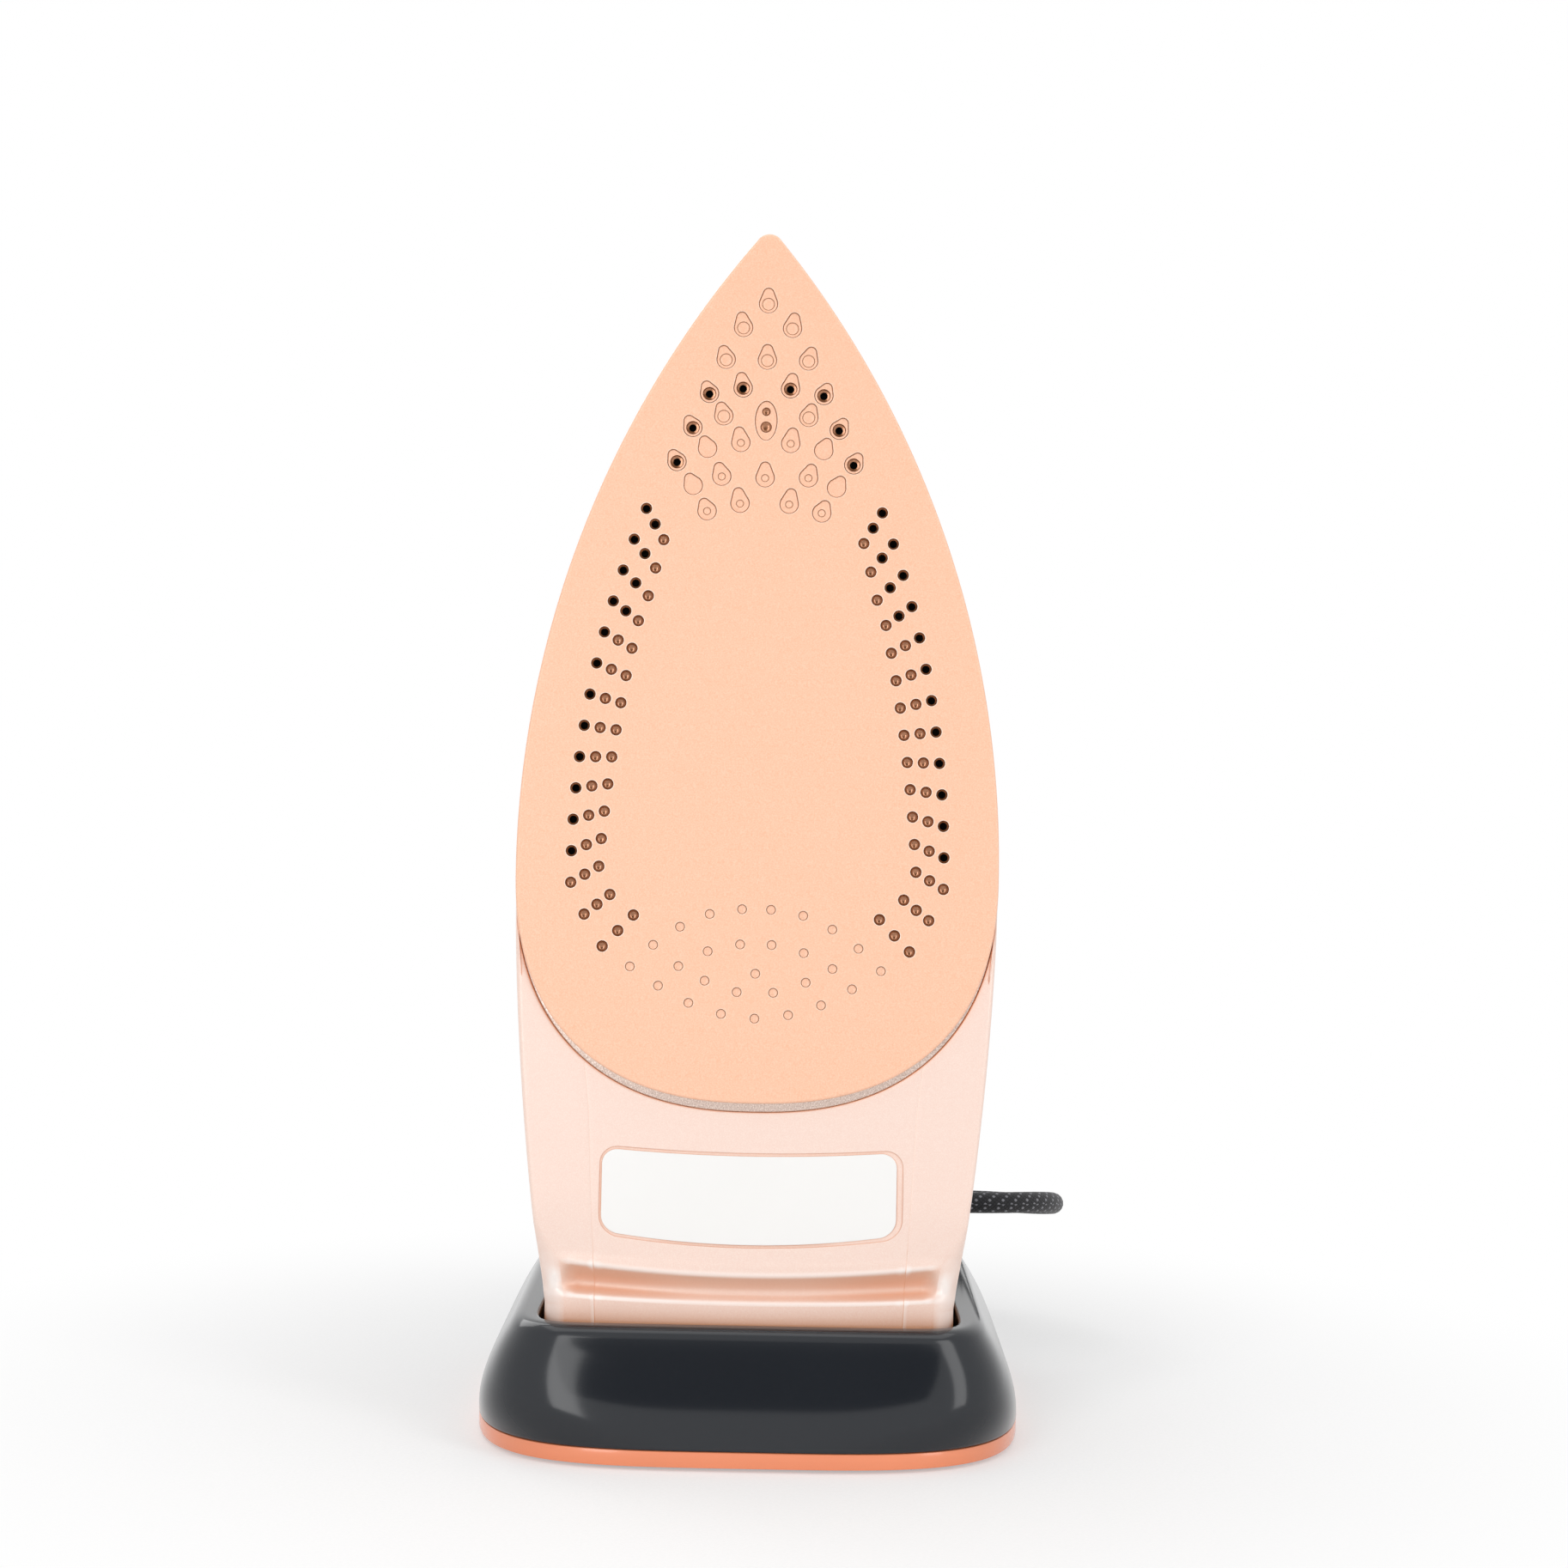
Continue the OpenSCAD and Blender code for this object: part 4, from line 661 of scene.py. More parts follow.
class IRON_OT_cord(bpy.types.Operator):
    """Lays the braided cord out of the dock and winds it into a coil behind it, with its plug"""
    bl_idname = "iron.cord"
    bl_label = "Cord"

    def execute(self, context):
        line, total = smooth_line(lead_points() + coil_points(), LINE_STEP)
        cord = tube("mains_cord", line, CORD_D / 2, 16)
        place_piece(cord, "dock", "braid", braid(), "cord_lead", "cord_coil")
        ends = [self.plug(), self.pins(), self.strap()]
        return {"FINISHED"}

    @staticmethod
    def plug():
        """The plug's case, with grip grooves in its sides."""
        px, py, pz = PLUG_AT
        rings = []
        for d, z in ((5.5, 0.05), (4.6, 0.3), (4.0, 1.0), (3.4, 3.0), (2.6, 7.0), (1.6, 12.0), (0.7, 16.5),
                     (0.15, 19.5), (0.0, 21.0), (0.0, 22.6), (0.15, 23.3), (0.5, 23.8), (1.1, PLUG_H),
                     (3.2, PLUG_H), (3.4, 23.8), (3.8, 23.75)):
            a, b = PLUG_L / 2 - d, PLUG_W / 2 - d
            plan = rounded_line([(a, -b), (a, b), (-a, b), (-a, -b)], [18, 18, 8, 8], 9)
            rings.append(raised(plan + (px, py), pz + z))
        body = lofted("plug_case", rings, lie, smooth=None)
        grips = []
        for s in (-1, 1):
            for x in np.arange(px - 10, px + 7, 4):
                shape = [(x - 0.8, py + s * 26), (x + 0.8, py + s * 26), (x + 0.8, py + s * 22.6),
                         (x - 0.8, py + s * 22.6)]
                grips.append(([shape] * 2, [pz + 8, pz + 20.5]))
        carve(body, cutter(grips, upright=False))
        return place_piece(body, "dock", "charcoal_matt", matt_black(), "plug_body", crisp=38)

    @staticmethod
    def pins():
        """Three flat pins with eased ends."""
        px, py, pz = PLUG_AT
        foot = pz + PLUG_H
        blades = []
        for x, y, wx, wy, tall in ((11, 0, 8, 4, 22.7), (-11.2, -11.1, 4, 6.3, 17.7),
                                   (-11.2, 11.1, 4, 6.3, 17.7)):
            plan = rounded_box(-wx / 2, -wy / 2, wx / 2, wy / 2, 0.9, 4) + (px + x, py + y)
            top = foot + tall
            blades.append(pillow("pin", plan, [(0, foot - 1), (0, top - 1.6), (0.12, top - 0.8),
                                               (0.35, top - 0.2), (0.6, top)], lie))
        return place_piece(joined("plug_blades", blades), "dock", "contact_brass", brass(), "plug_pins")

    @staticmethod
    def strap():
        """The strap that goes once round the coil's section."""
        y_in, y_out = COIL_AT[1] + 21 - 1.2, COIL_AT[1] + 48.0
        loop = rounded_line([(y_in, STRAP_T), (y_out, STRAP_T), (y_out, 14), (y_out - 5, STRAP_TOP),
                             (y_in, STRAP_TOP)], [1, 3, 4, 3, 2], 7)
        half = STRAP_W / 2
        rings = [[(COIL_AT[0] + x, y, max(0.02, z)) for y, z in inset(loop, d - STRAP_T)]
                 for x, d in ((-half, 0.25), (0.1 - half, 0.02), (half - 0.1, 0.02), (half, 0.25))]
        rings += [[(COIL_AT[0] + x, y, z) for y, z in loop] for x in (half - 0.1, 0.1 - half)]
        strap = lofted("coil_strap", rings, lie, loop=True, caps=(False, False), smooth=40)
        return place_piece(strap, "dock", "soft_rubber", rubber(), "cord_tie")


# ---------- Stage ----------

WHITE = "#FFFFFF"
LAMPS_AIM = (0, 0, 0.14)     # the lamps look at this place, in metres


class IRON_OT_stage(bpy.types.Operator):
    """Adds the floor, the lamps and the camera"""
    bl_idname = "iron.stage"
    bl_label = "Stage"

    def execute(self, context):
        scene, stage = context.scene, context.scene.iron_stage
        data = bpy.data.cameras.new("camera")
        data.lens, data.sensor_width, data.clip_start = stage.lens, 36, 0.01
        camera = bpy.data.objects.new("camera", data)
        scene.collection.objects.link(camera)
        scene.camera = camera
        camera.location = (stage.camera_side, -stage.camera_back, stage.camera_up)
        look = Vector((sin(-stage.turn) * cos(stage.tilt),
                       cos(stage.turn) * cos(stage.tilt), -sin(stage.tilt)))
        camera.rotation_mode = "QUATERNION"
        camera.rotation_quaternion = look.to_track_quat("-Z", "Y")
        camera.rotation_mode = "XYZ"
        camera.rotation_euler.rotate_axis("Z", stage.roll)

        rings = [[(*point, -0.05) for point in circle(0, 0, r, 48)] for r in (60, 400, 1200, 4000, 9000)]
        floor = lofted("studio_floor", rings, lie, caps=(True, False), smooth=None)
        floor.data.materials.append(self.floor_finish())

        for name, at, size, power in (
                ("key_left", (-0.62, -1.38, 0.85), (0.45, 1.7), stage.key_left),
                ("key_right", (1.02, -1.0, 0.85), (0.4, 1.7), stage.key_right),
                ("top", (0.0, 0.2, 1.9), (1.6, 1.4), stage.top),
                ("rear", (-0.9, 1.3, 1.2), (0.9, 1.0), stage.rear)):
            lamp = bpy.data.lights.new(name, "AREA")
            lamp.shape = "RECTANGLE"
            lamp.size, lamp.size_y = size
            lamp.energy = power
            holder = bpy.data.objects.new(name, lamp)
            scene.collection.objects.link(holder)
            holder.location = at
            holder.rotation_euler = (Vector(LAMPS_AIM) - Vector(at)).to_track_quat("-Z", "Y").to_euler()

        # a dark card above the camera keeps the polished dock from mirroring the lit room
        flag = lofted("studio_flag", [[(-700, -2000, 760), (700, -2000, 760)],
                                      [(-700, -1100, 1500), (700, -1100, 1500)]],
                      lie, closed=False, caps=(False, False), smooth=None)
        flag.data.materials.append(felt())
        flag.visible_camera = flag.visible_diffuse = flag.visible_shadow = flag.visible_transmission = False

        world = scene.world or bpy.data.worlds.new("studio")
        scene.world = world
        world.use_nodes = True
        tree = world.node_tree
        tree.nodes.clear()
        light, plain = (add(tree, "Background", Color=linear(WHITE), Strength=strength)
                        for strength in (stage.ambient, 1.0))
        mix = add(tree, "MixShader", Fac=self.seen(tree), i1=light.outputs[0],
                  i2=plain.outputs[0])
        add(tree, "OutputWorld", Surface=mix.outputs[0])
        scene.view_settings.view_transform = "Standard"
        return {"FINISHED"}

    @staticmethod
    def seen(tree):
        """1 for rays that show the background: seen, mirrored, or through something clear."""
        path = add(tree, "LightPath")
        value = path.outputs["Is Camera Ray"]
        for kind in ("Is Glossy Ray", "Is Transmission Ray"):
            value = add(tree, "Math", {"operation": "MAXIMUM"}, i0=value,
                        i1=path.outputs[kind]).outputs[0]
        return value

    def floor_finish(self):
        """Seamless paper: pale and matt near the object, and plain white further away."""
        material, tree, shade = finish_of("paper_white_seamless", Roughness=0.85, Specular_IOR_Level=0.2)
        fibre = grain(tree, 0.8).outputs["Fac"]
        add(tree, "ValToRGB", {"stops": [(0.3, "#F4F4F4"), (0.7, "#FAFAFA")]}, Fac=fibre,
            out_to=shade.inputs["Base Color"])
        where = add(tree, "TexCoord").outputs["Object"]
        far = add(tree, "VectorMath", {"operation": "LENGTH"}, i0=where).outputs["Value"]
        fade = add(tree, "MapRange", {"interpolation_type": "SMOOTHSTEP"}, Value=far,
                   From_Min=0.1, From_Max=0.27, To_Min=0.4)
        share = add(tree, "Math", {"operation": "MULTIPLY"}, i0=fade.outputs["Result"],
                    i1=self.seen(tree))
        glow = add(tree, "Emission", Color=linear(WHITE), Strength=1.0)
        add(tree, "MixShader", Fac=share.outputs[0], i1=shade.outputs[0], i2=glow.outputs[0],
            out_to=tree.nodes["Material Output"].inputs["Surface"])
        return material


# ---------- Pieces that show as they are packed ----------

class IRON_OT_nodes(bpy.types.Operator):
    """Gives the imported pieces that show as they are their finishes"""
    bl_idname = "iron.plain_pieces"
    bl_label = "Plain pieces"

    def execute(self, context):
        finish_nodes(matt_black(), "dock_base_plate", "contact_block", "contact_carrier", "pump_bracket")
        finish_nodes(ground_alloy(), "chamber_cover")
        finish_nodes(steel(), "dock_screws", "cover_screws", "heating_element", "thermostat", "heat_shield",
                     "shield_screws", "dial_shaft", "valve_needle", "handle_screws", "thermal_fuse")
        finish_nodes(brass(), "dock_contacts", "iron_contacts", "valve_seat")
        finish_nodes(white_nylon(), "spray_pump", "burst_pump", "terminal_block")
        finish_nodes(rubber(), "dock_feet", "tank_seal")
        finish_nodes(smoke(), "spray_tube")
        finish_nodes(board(), "lamp_board")
        return {"FINISHED"}


# ---------- Outlines of the iron, in millimetres: x across, z along ----------

LIP_BACK = 2.0           # how far the casting's lip shows behind the sheet
CAST_IN = 2.4
CAST_Y = SOLE_T + 12.0
PANEL_Y = 1.5            # the heel's panel lies this far behind the sole's face
LIP_FRONT = PANEL_Y + 1.7    # and the skirt's front beside the sole
SPLIT_Z = 70.0
SKIRT_OUT = 0.6          # the skirt stands this far outside the sole


def smoothly(x, low, high):
    """A share that grows from 0 at low to 1 at high, with soft ends."""
    t = np.clip((np.asarray(x, float) - low) / (high - low), 0, 1)
    return t * t * (3 - 2 * t)


def front_arc(d, tip_steps=12, side_steps=64):
    """Right half of the outline from the tip to where it is widest, d inside the sole's edge."""
    turn = tip_angle(d)
    points = [(TIP_R * cos(a), tip_centre(d) + TIP_R * sin(a))
              for a in np.linspace(pi / 2, turn, tip_steps + 1)]
    for a in np.linspace(turn, 0, side_steps + 1)[1:]:
        points.append((OGIVE_X + (OGIVE_R - d) * cos(a), ZC + (OGIVE_R - d) * sin(a)))
    return points


def rear_point(d, turn, extra=0.0):
    """A point of the rounded rear end, turn from the widest part round to the heel."""
    x = (HALF_W - d) * max(0.0, cos(turn)) ** (2 / REAR_N)
    return x, ZC - (REAR_L - d + extra) * max(0.0, sin(turn)) ** (2 / REAR_N)


def mirrored(half):
    """The whole ring from its right half, from the tip round to the tip."""
    return half + [(-x, z) for x, z in half[-2:0:-1]]


def sole_ring(d, extra=0.0, rear_steps=56):
    """The sole's outline, d inside its edge and longer at the heel by extra."""
    half = front_arc(d) + [rear_point(d, a, extra) for a in np.linspace(0, pi / 2, rear_steps + 1)[1:]]
    half[-1] = (0.0, half[-1][1])
    return np.array(mirrored(half))


def at_depth(ring, y):
    """A ring of (x, z) as points of the iron's frame; y is one depth or one for each point."""
    ring = np.asarray(ring, float)
    return np.stack([ring[:, 0], np.broadcast_to(y, len(ring)), ring[:, 1]], axis=1)


def split_y(z):
    """Depth of the seam between the skirt and what is above it."""
    return SKIRT_D - (SKIRT_D - NOSE_D) * np.clip((z - SPLIT_Z) / (TIP_Z - SPLIT_Z), 0, 1) ** 1.6


def rim_y(z):
    """Depth of the water tank's rim."""
    return TANK_D - 32 * np.clip((z - 165) / (TIP_Z - 165), 0, 1) ** 1.7


def edge_x(z):
    """Half of the sole's width."""
    if z > ZC:
        return OGIVE_X + sqrt(OGIVE_R ** 2 - (z - ZC) ** 2)
    return HALF_W * (1 - ((ZC - z) / REAR_L) ** REAR_N) ** (1 / REAR_N)


# ---------- Steam holes ----------

SIDE_ROWS = 15
FIRST_ROW = 68.7         # from the tip
ROW_PITCH = 7.63
ROW_IN = 13.4            # from the sole's edge to the outer hole of a row
ROW_MORE_IN = {13: 2.9, 14: 6.1}    # the last rows lie further in
STEAM_R = 0.95
SINK_R = 1.3


def side_holes():
    """Rows of three holes that follow the edge, as (x, z, whether it goes through)."""
    holes = []
    for i in range(SIDE_ROWS):
        z = TIP_Z - FIRST_ROW - ROW_PITCH * i
        x = edge_x(z) - ROW_IN - ROW_MORE_IN.get(i, 0)
        turn = radians(60 - 106 * i / (SIDE_ROWS - 1))
        step = 4.4 if i < 3 else 5.3 if i == SIDE_ROWS - 1 else 3.9
        for k in range(3):
            opened = (k == 0 and i < 12) or (k == 1 and i < 4)
            holes.append((x - k * step * cos(turn), z - k * step * sin(turn), opened))
    return holes


# Teardrop recesses near the tip: (x, distance from the tip, radius of the eye); an eye of 0 is
# a plain drop, and a negative one is a steam hole.
DROPS = [
    (0, 17.5, 1.6), (6, 23.5, 1.6), (10.1, 31.5, 1.6), (0, 31.5, 1.6), (14, 40, -1.7),
    (5.8, 38.5, -1.7), (17.9, 48.5, -1.7), (10.4, 45.5, 1.6), (21.6, 57, -1.7),
    (14.2, 53.6, 0), (6.1, 52, 1.1), (10.6, 60.4, 1.1), (0, 60.6, 1.1), (17.5, 62.8, 0),
    (14.0, 69.0, 1.1), (6, 67, 1.1),
]
DROP_R = 2.3
OVAL_R, OVAL_LONG_R = 2.7, 4.86
OVAL_AWAY = 46.5         # from the tip
# Round dimples at the heel: (x, distance from the tip).
DIMPLES = [
    (3.5, 166), (11.3, 167.3), (18.4, 170.5), (24.8, 175), (3.8, 174.5), (11.6, 176.3),
    (0, 181.5), (18.6, 180), (12.2, 183.4), (4.4, 186), (30.3, 180.3), (23.4, 184.8),
    (16, 188.8), (8.1, 191.3), (0, 192.3),
]


def drop_outline(x, grow=0.0, steps=20):
    """A drop: an egg with its narrow end up. The outer ones are shorter and turned further out."""
    turn = -copysign(radians(min(29, abs(x) * 1.6)), x)
    reach = 2.6 - 0.7 * smoothly(abs(x), 5, 15)
    w = DROP_R + grow
    low = [(w * cos(a), w * sin(a)) for a in np.radians(np.linspace(-203, 23, steps * 2))]
    high_r = 0.58 * DROP_R + grow
    high = [(high_r * cos(a), reach + high_r * sin(a))
            for a in np.radians(np.linspace(23, 157, steps))]
    c, s = cos(turn), sin(turn)
    return [(x * c - z * s, x * s + z * c) for x, z in low + high]


def cutter(shapes, finishes=(), upright=True):
    """One closed mesh of many plugs. A plug is (rings, depths, marks), outermost first: its rings are
    plans of (x, z), and a mark says which finish the band under each ring is given. Where upright is
    off, a plug is (rings, heights), with plans of (x, y) in the dock's frame."""
    verts, faces, marks = [], [], []
    for rings, levels, *kinds in shapes:
        n = len(rings[0])
        faces += skin(len(rings), n, len(verts), caps=(True, True))
        for ring, where in zip(rings, levels):
            verts += [tuple(point) for point in (at_depth if upright else raised)(ring, where)]
        for bands in kinds:
            marks += [bands[i] for i in range(len(rings) - 1) for _ in range(n)] + [0, bands[-1]]
    tool = new_piece("cutter", (stand if upright else lie)(verts), faces)
    for finish in finishes:
        tool.data.materials.append(finish)
    if finishes:
        tool.data.polygons.foreach_set("material_index", marks)
    return tool


def turned_plug(x, z, profile, n=28):
    """A round plug; profile is (depth, radius, mark of the band from there on)."""
    depths, radii, marks = zip(*profile)
    return [circle(x, z, r, n) for r in radii], depths, marks


def circle(x, z, r, n=28):
    """The points of a circle."""
    return [(x + r * cos(a), z + r * sin(a))
            for a in np.linspace(0, 2 * pi, n, endpoint=False)]


def carve(piece, tool, keep_materials=False):
    """Cuts a tool out of a piece and removes the tool. The cut's walls can keep the tool's finishes."""
    cut = piece.modifiers.new("cut", "BOOLEAN")
    cut.operation = "DIFFERENCE"
    cut.solver = "EXACT"
    cut.object = tool
    if keep_materials:
        cut.material_mode = "TRANSFER"
    settle(piece)
    bpy.data.objects.remove(tool, do_unlink=True)


def settle(piece):
    """Applies a piece's modifiers to its mesh."""
    graph = bpy.context.evaluated_depsgraph_get()
    mesh = bpy.data.meshes.new_from_object(piece.evaluated_get(graph), depsgraph=graph)
    piece.modifiers.clear()
    old = piece.data
    piece.data = mesh
    bpy.data.meshes.remove(old)


def even_shading(piece, crisp=35):
    """Flat faces stay flat: corner normals follow the larger face."""
    piece.data.polygons.foreach_set("use_smooth", [True] * len(piece.data.polygons))
    piece.data.set_sharp_from_angle(angle=radians(crisp))
    weigh = piece.modifiers.new("weighted", "WEIGHTED_NORMAL")
    weigh.mode = "FACE_AREA"
    weigh.weight = 90
    weigh.keep_sharp = True


def merge_close(piece, distance_mm=0.004):
    """Joins points that lie together and turns the faces one way."""
    bm = bmesh.new()
    bm.from_mesh(piece.data)
    bmesh.ops.remove_doubles(bm, verts=bm.verts, dist=distance_mm * MM)
    bmesh.ops.dissolve_degenerate(bm, edges=bm.edges, dist=distance_mm * MM / 2)
    bmesh.ops.recalc_face_normals(bm, faces=bm.faces)
    bm.to_mesh(piece.data)
    bm.free()


# ---------- Soleplate ----------

def both(x):
    """A place across the iron, and its mirror image if it isn't in the middle."""
    return (x,) if abs(x) < 0.01 else (x, -x)


def hole_plugs(lip):
    """Plugs of the countersunk holes: through ones and rounded blind ones. Mark 0 is the plain
    coating, 1 the coating browned as painted shade, 2 the coating paled as a painted highlight on the edge."""
    through, blind = [], []
    flare = [(-0.05, SINK_R + 1.6 * lip, 2), (0.06, SINK_R + 0.4 * lip, 1), (lip, SINK_R, 1)]
    for hx, hz, opened in side_holes():
        for x in both(hx):
            if opened:
                through.append(turned_plug(x, hz, flare + [(0.6, STEAM_R, 1), (SOLE_T + 0.4, STEAM_R, 1)]))
            else:
                bowl = [(0.3 + 0.95 * sin(a), SINK_R * cos(a), 1)
                        for a in np.radians([14, 30, 46, 62, 76])]
                blind.append(turned_plug(x, hz, flare[:-1] + bowl))
    for dx, away, eye in DROPS:
        for x in both(dx):
            z = TIP_Z - away
            if eye < 0:
                profile = [(0.3, 1.8, 1), (0.55, 1.6, 1), (0.9, 1.45, 1), (1.0, STEAM_R, 1),
                           (SOLE_T + 0.4, STEAM_R, 1)]
                through.append(turned_plug(x, z, profile))
            elif eye > 0:
                r = 1.5 if eye > 1.5 else 0.9
                profile = [(0.3, r + 0.2, 2), (0.5, r + 0.08, 1), (0.62, r - 0.12, 0), (0.78, r - 0.35, 0),
                           (0.84, r - 0.7, 0)]
                blind.append(turned_plug(x, z, profile))
    for away, r in ((44.2, 1.05), (48.0, 1.4)):
        profile = [(0.3, r + 0.15, 2), (0.52, r, 1)]
        profile += [(0.52 + 0.6 * sin(a), r * cos(a), 1) for a in np.radians([25, 50, 72])]
        blind.append(turned_plug(0, TIP_Z - away, profile))
    return through, blind


def recess_plugs():
    """Plugs of the shallow recesses: drops, the oval between them and the heel's dimples."""
    plugs = []
    depths, grown, marks = zip((-0.05, 0.3, 2), (0.05, 0.1, 1), (0.14, 0.0, 1), (0.36, -0.16, 0),
                               (0.44, -0.26, 0), (0.48, -0.5, 0))
    for dx, away, _ in DROPS:
        for x in both(dx):
            plugs.append(([[(x + p, TIP_Z - away + q) for p, q in drop_outline(x, g)] for g in grown],
                          depths, marks))
    oval = [[((OVAL_R + g) * cos(a), TIP_Z - OVAL_AWAY + (OVAL_LONG_R + g) * sin(a))
             for a in np.linspace(0, 2 * pi, 48, endpoint=False)] for g in grown]
    plugs.append((oval, depths, marks))
    for dx, away in DIMPLES:
        for x in both(dx):
            profile = [(-0.05, 1.4, 2), (0.06, 1.2, 1), (0.34, 0.96, 0), (0.42, 0.75, 0), (0.48, 0.4, 0)]
            plugs.append(turned_plug(x, TIP_Z - away, profile, 24))
    return plugs


class IRON_OT_soleplate(bpy.types.Operator):
    """Presses the coated sole sheet with its steam holes, drops and dimples"""
    bl_idname = "iron.soleplate"
    bl_label = "Soleplate"

    def execute(self, context):
        sizes = context.scene.iron_sizes
        edge = sizes.sole_edge / MM
        rings = [at_depth(sole_ring(0.25), SOLE_T), at_depth(sole_ring(0.0), SOLE_T - 0.25)]
        for a in np.radians([0, 18, 36, 54, 72, 90]):
            rings.append(at_depth(sole_ring(edge * (1 - cos(a))), edge * (1 - sin(a))))
        sole = lofted("sole_sheet", rings, smooth=None)
        sole.data.materials.append(coating())
        through, blind = hole_plugs(sizes.hole_lip / MM)
        # the second finish paints shade on the walls of the holes and recesses, the third paints a highlight
        # on their edges
        finishes = (coating(), hole_shade_coating(), rim_highlight_coating())
        for shapes in (recess_plugs(), blind, through):
            carve(sole, cutter(shapes, finishes), keep_materials=True)
        even_shading(sole)
        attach(sole, "iron")
        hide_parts("soleplate")
        return {"FINISHED"}


class IRON_OT_casting(bpy.types.Operator):
    """Casts the heater with its ground lip"""
    bl_idname = "iron.casting"
    bl_label = "Heater casting"

    def execute(self, context):
        def back(ring, y):
            slope = np.clip((ring[:, 1] - (TIP_Z - 29)) / 31, 0, 1)
            return np.minimum(y, CAST_Y - 5.8 * slope)

        body = sole_ring(CAST_IN)
        inner = sole_ring(26)
        island = sole_ring(19.5)
        island[:, 1] = np.minimum(island[:, 1], TIP_Z - 62)
        channel = sole_ring(9.5)
        rings = [at_depth(inner, back(inner, CAST_Y - 6.6)), at_depth(inner, back(inner, CAST_Y)),
                 at_depth(sole_ring(CAST_IN + 0.8), back(body, CAST_Y)),
                 at_depth(body, back(body, CAST_Y) - 0.8), at_depth(body, 3.0),
                 at_depth(sole_ring(0.1, LIP_BACK), 3.0)]
        for a in np.radians([0, 30, 60, 90]):
            rings.append(at_depth(sole_ring(-0.1 + 0.4 * (1 - cos(a)), LIP_BACK),
                                  SOLE_T + 0.4 * (1 - sin(a))))
        rings += [at_depth(channel, SOLE_T + 0.02), at_depth(channel, 4.2), at_depth(island, 4.2),
                  at_depth(island, SOLE_T + 0.02)]
        casting = lofted("heater_body", rings)
        place_piece(casting, "iron", "cast_alloy", ground_alloy(), "heater_casting")
        # the channel's faces take the near-black finish, painted shade that makes the steam holes read dark
        casting.data.materials.append(channel_shade_alloy())
        n = len(channel)
        for face in casting.data.polygons:
            if (len(rings) - 4) * n <= face.index < (len(rings) - 1) * n:
                face.material_index = 1
        return {"FINISHED"}


# ---------- Skirt ----------

FOOT_Z = 26.2            # top edge of the foot, at its middle
RIDGE_Z = 32.2           # ridge above the finger groove, at its middle
LEVEL_TO = 68.0          # rows are level up to here, and then fan out to the sole
GAP = 0.1                # between the casting's lip and the skirt
FOOT_EASE = 1.2          # rounding under the foot
MOULD_SHARE = 0.75       # column of the mould line, as a share of the half-width


def body_half_w(z):
    """Half of the skirt's width, which narrows to the foot."""
    t = np.clip((ZC - z) / (ZC - 25), 0, 1)
    return FOOT_HALF_W + (HALF_W + 0.05 - FOOT_HALF_W) * (1 - t ** 1.8)


def smile(x):
    """How far the heel's lines rise towards its sides, from 0 to a little over 1."""
    return np.clip(np.abs(x) / 48, 0, 1.1) ** 2


def panel_depth(x, z):
    """Depth of the heel's front: a crowned foot, a finger groove and the ridge above it."""
    x, z = np.asarray(x, float), np.asarray(z, float)
    y = PANEL_Y + 2.6 * (x / FOOT_HALF_W) ** 2 * smoothly(52 - z, 0, 24)
    foot = FOOT_Z + 1.4 * smile(x)
    ridge = RIDGE_Z + 2.9 * smile(x)
    v = (z - foot) / (ridge - foot)
    scoop = smoothly(v, -0.06, 0.38) * (1 - smoothly(v, 0.4, 1.12))
    deep = 2.1 + 1.2 * smoothly(np.abs(x), 8, 38)
    ends = 1 - smoothly(np.abs(x), 41.0, 47.6)
    y = y + deep * scoop * ends
    y = y - 0.55 * np.exp(-((z - ridge - 1.0) / 1.4) ** 2) * (1 - smoothly(np.abs(x), 40, 49))
    return y


def skirt_front(x, z):
    """Depth of the front face anywhere on the skirt."""
    t = smoothly(ZC - z, 5, 18)
    return LIP_FRONT * (1 - t) + panel_depth(x, z) * t


def edge_radius(z):
    """Radius of the skirt's front corners: full at the foot, sharp beside the sole."""
    r = 1.2 + 3.8 * smoothly(46 - z, 0, 12)
    return r + (0.3 - r) * smoothly(z, 104, ZC)


def mould_line(z):
    """Place across the heel of the fine line that the mould leaves."""
    return 37.6 + 0.05 * (z - 33)


def column_x(u, z):
    """Place across the heel of a column at a share u of its half-width."""
    w = body_half_w(z) - edge_radius(z)
    a = np.abs(u)
    near = np.where(a < MOULD_SHARE, a / MOULD_SHARE, (1 - a) / (1 - MOULD_SHARE))
    return np.sign(u) * (a * w - (MOULD_SHARE * w - mould_line(z)) * near)


def opening_point(u, d):
    """Point on the opening for the sole at column u, d inside the sole's edge."""
    a = abs(u)
    flat = 0.8
    start = column_x(flat, 84.0)
    turn = acos((min(1, a / flat) * start / (HALF_W + GAP)) ** (REAR_N / 2)) if a > 0 else pi / 2
    turn *= min(1, (1 - a) / (1 - flat))
    # near the widest part of the sole the skirt draws in
    _, z = rear_point(d, turn, LIP_BACK)
    x, z = rear_point(d + 0.6 * smoothly(z, ZC - 18, ZC - 3), turn, LIP_BACK)
    return (copysign(x, u) if a > 1e-9 else 0.0), z


def level(y, z):
    """The foot is level while the iron leans."""
    return z + y * tan(LEAN) * np.clip(1 - z / 30, 0, 1)


def skirt_sides(z, w):
    """Side wall and rounded corner of one level of the skirt's right side, from back to front."""
    r = edge_radius(z)
    front = skirt_front(w - r, z)
    split = split_y(z)
    points = [(w, split), (w, 0.5 * (split + front + r)), (w, front + r + 0.3)]
    for a in np.radians([0, 15, 30, 45, 60, 75]):
        x = w - r + r * cos(a)
        lift = skirt_front(x, z) - front
        points.append((x, front + lift * sin(a) + r * (1 - sin(a))))
    return points


WALL_T = 1.5             # of the heel's panel
THIN_SHARE = 0.16        # the rest of the skirt's wall, as a share of that


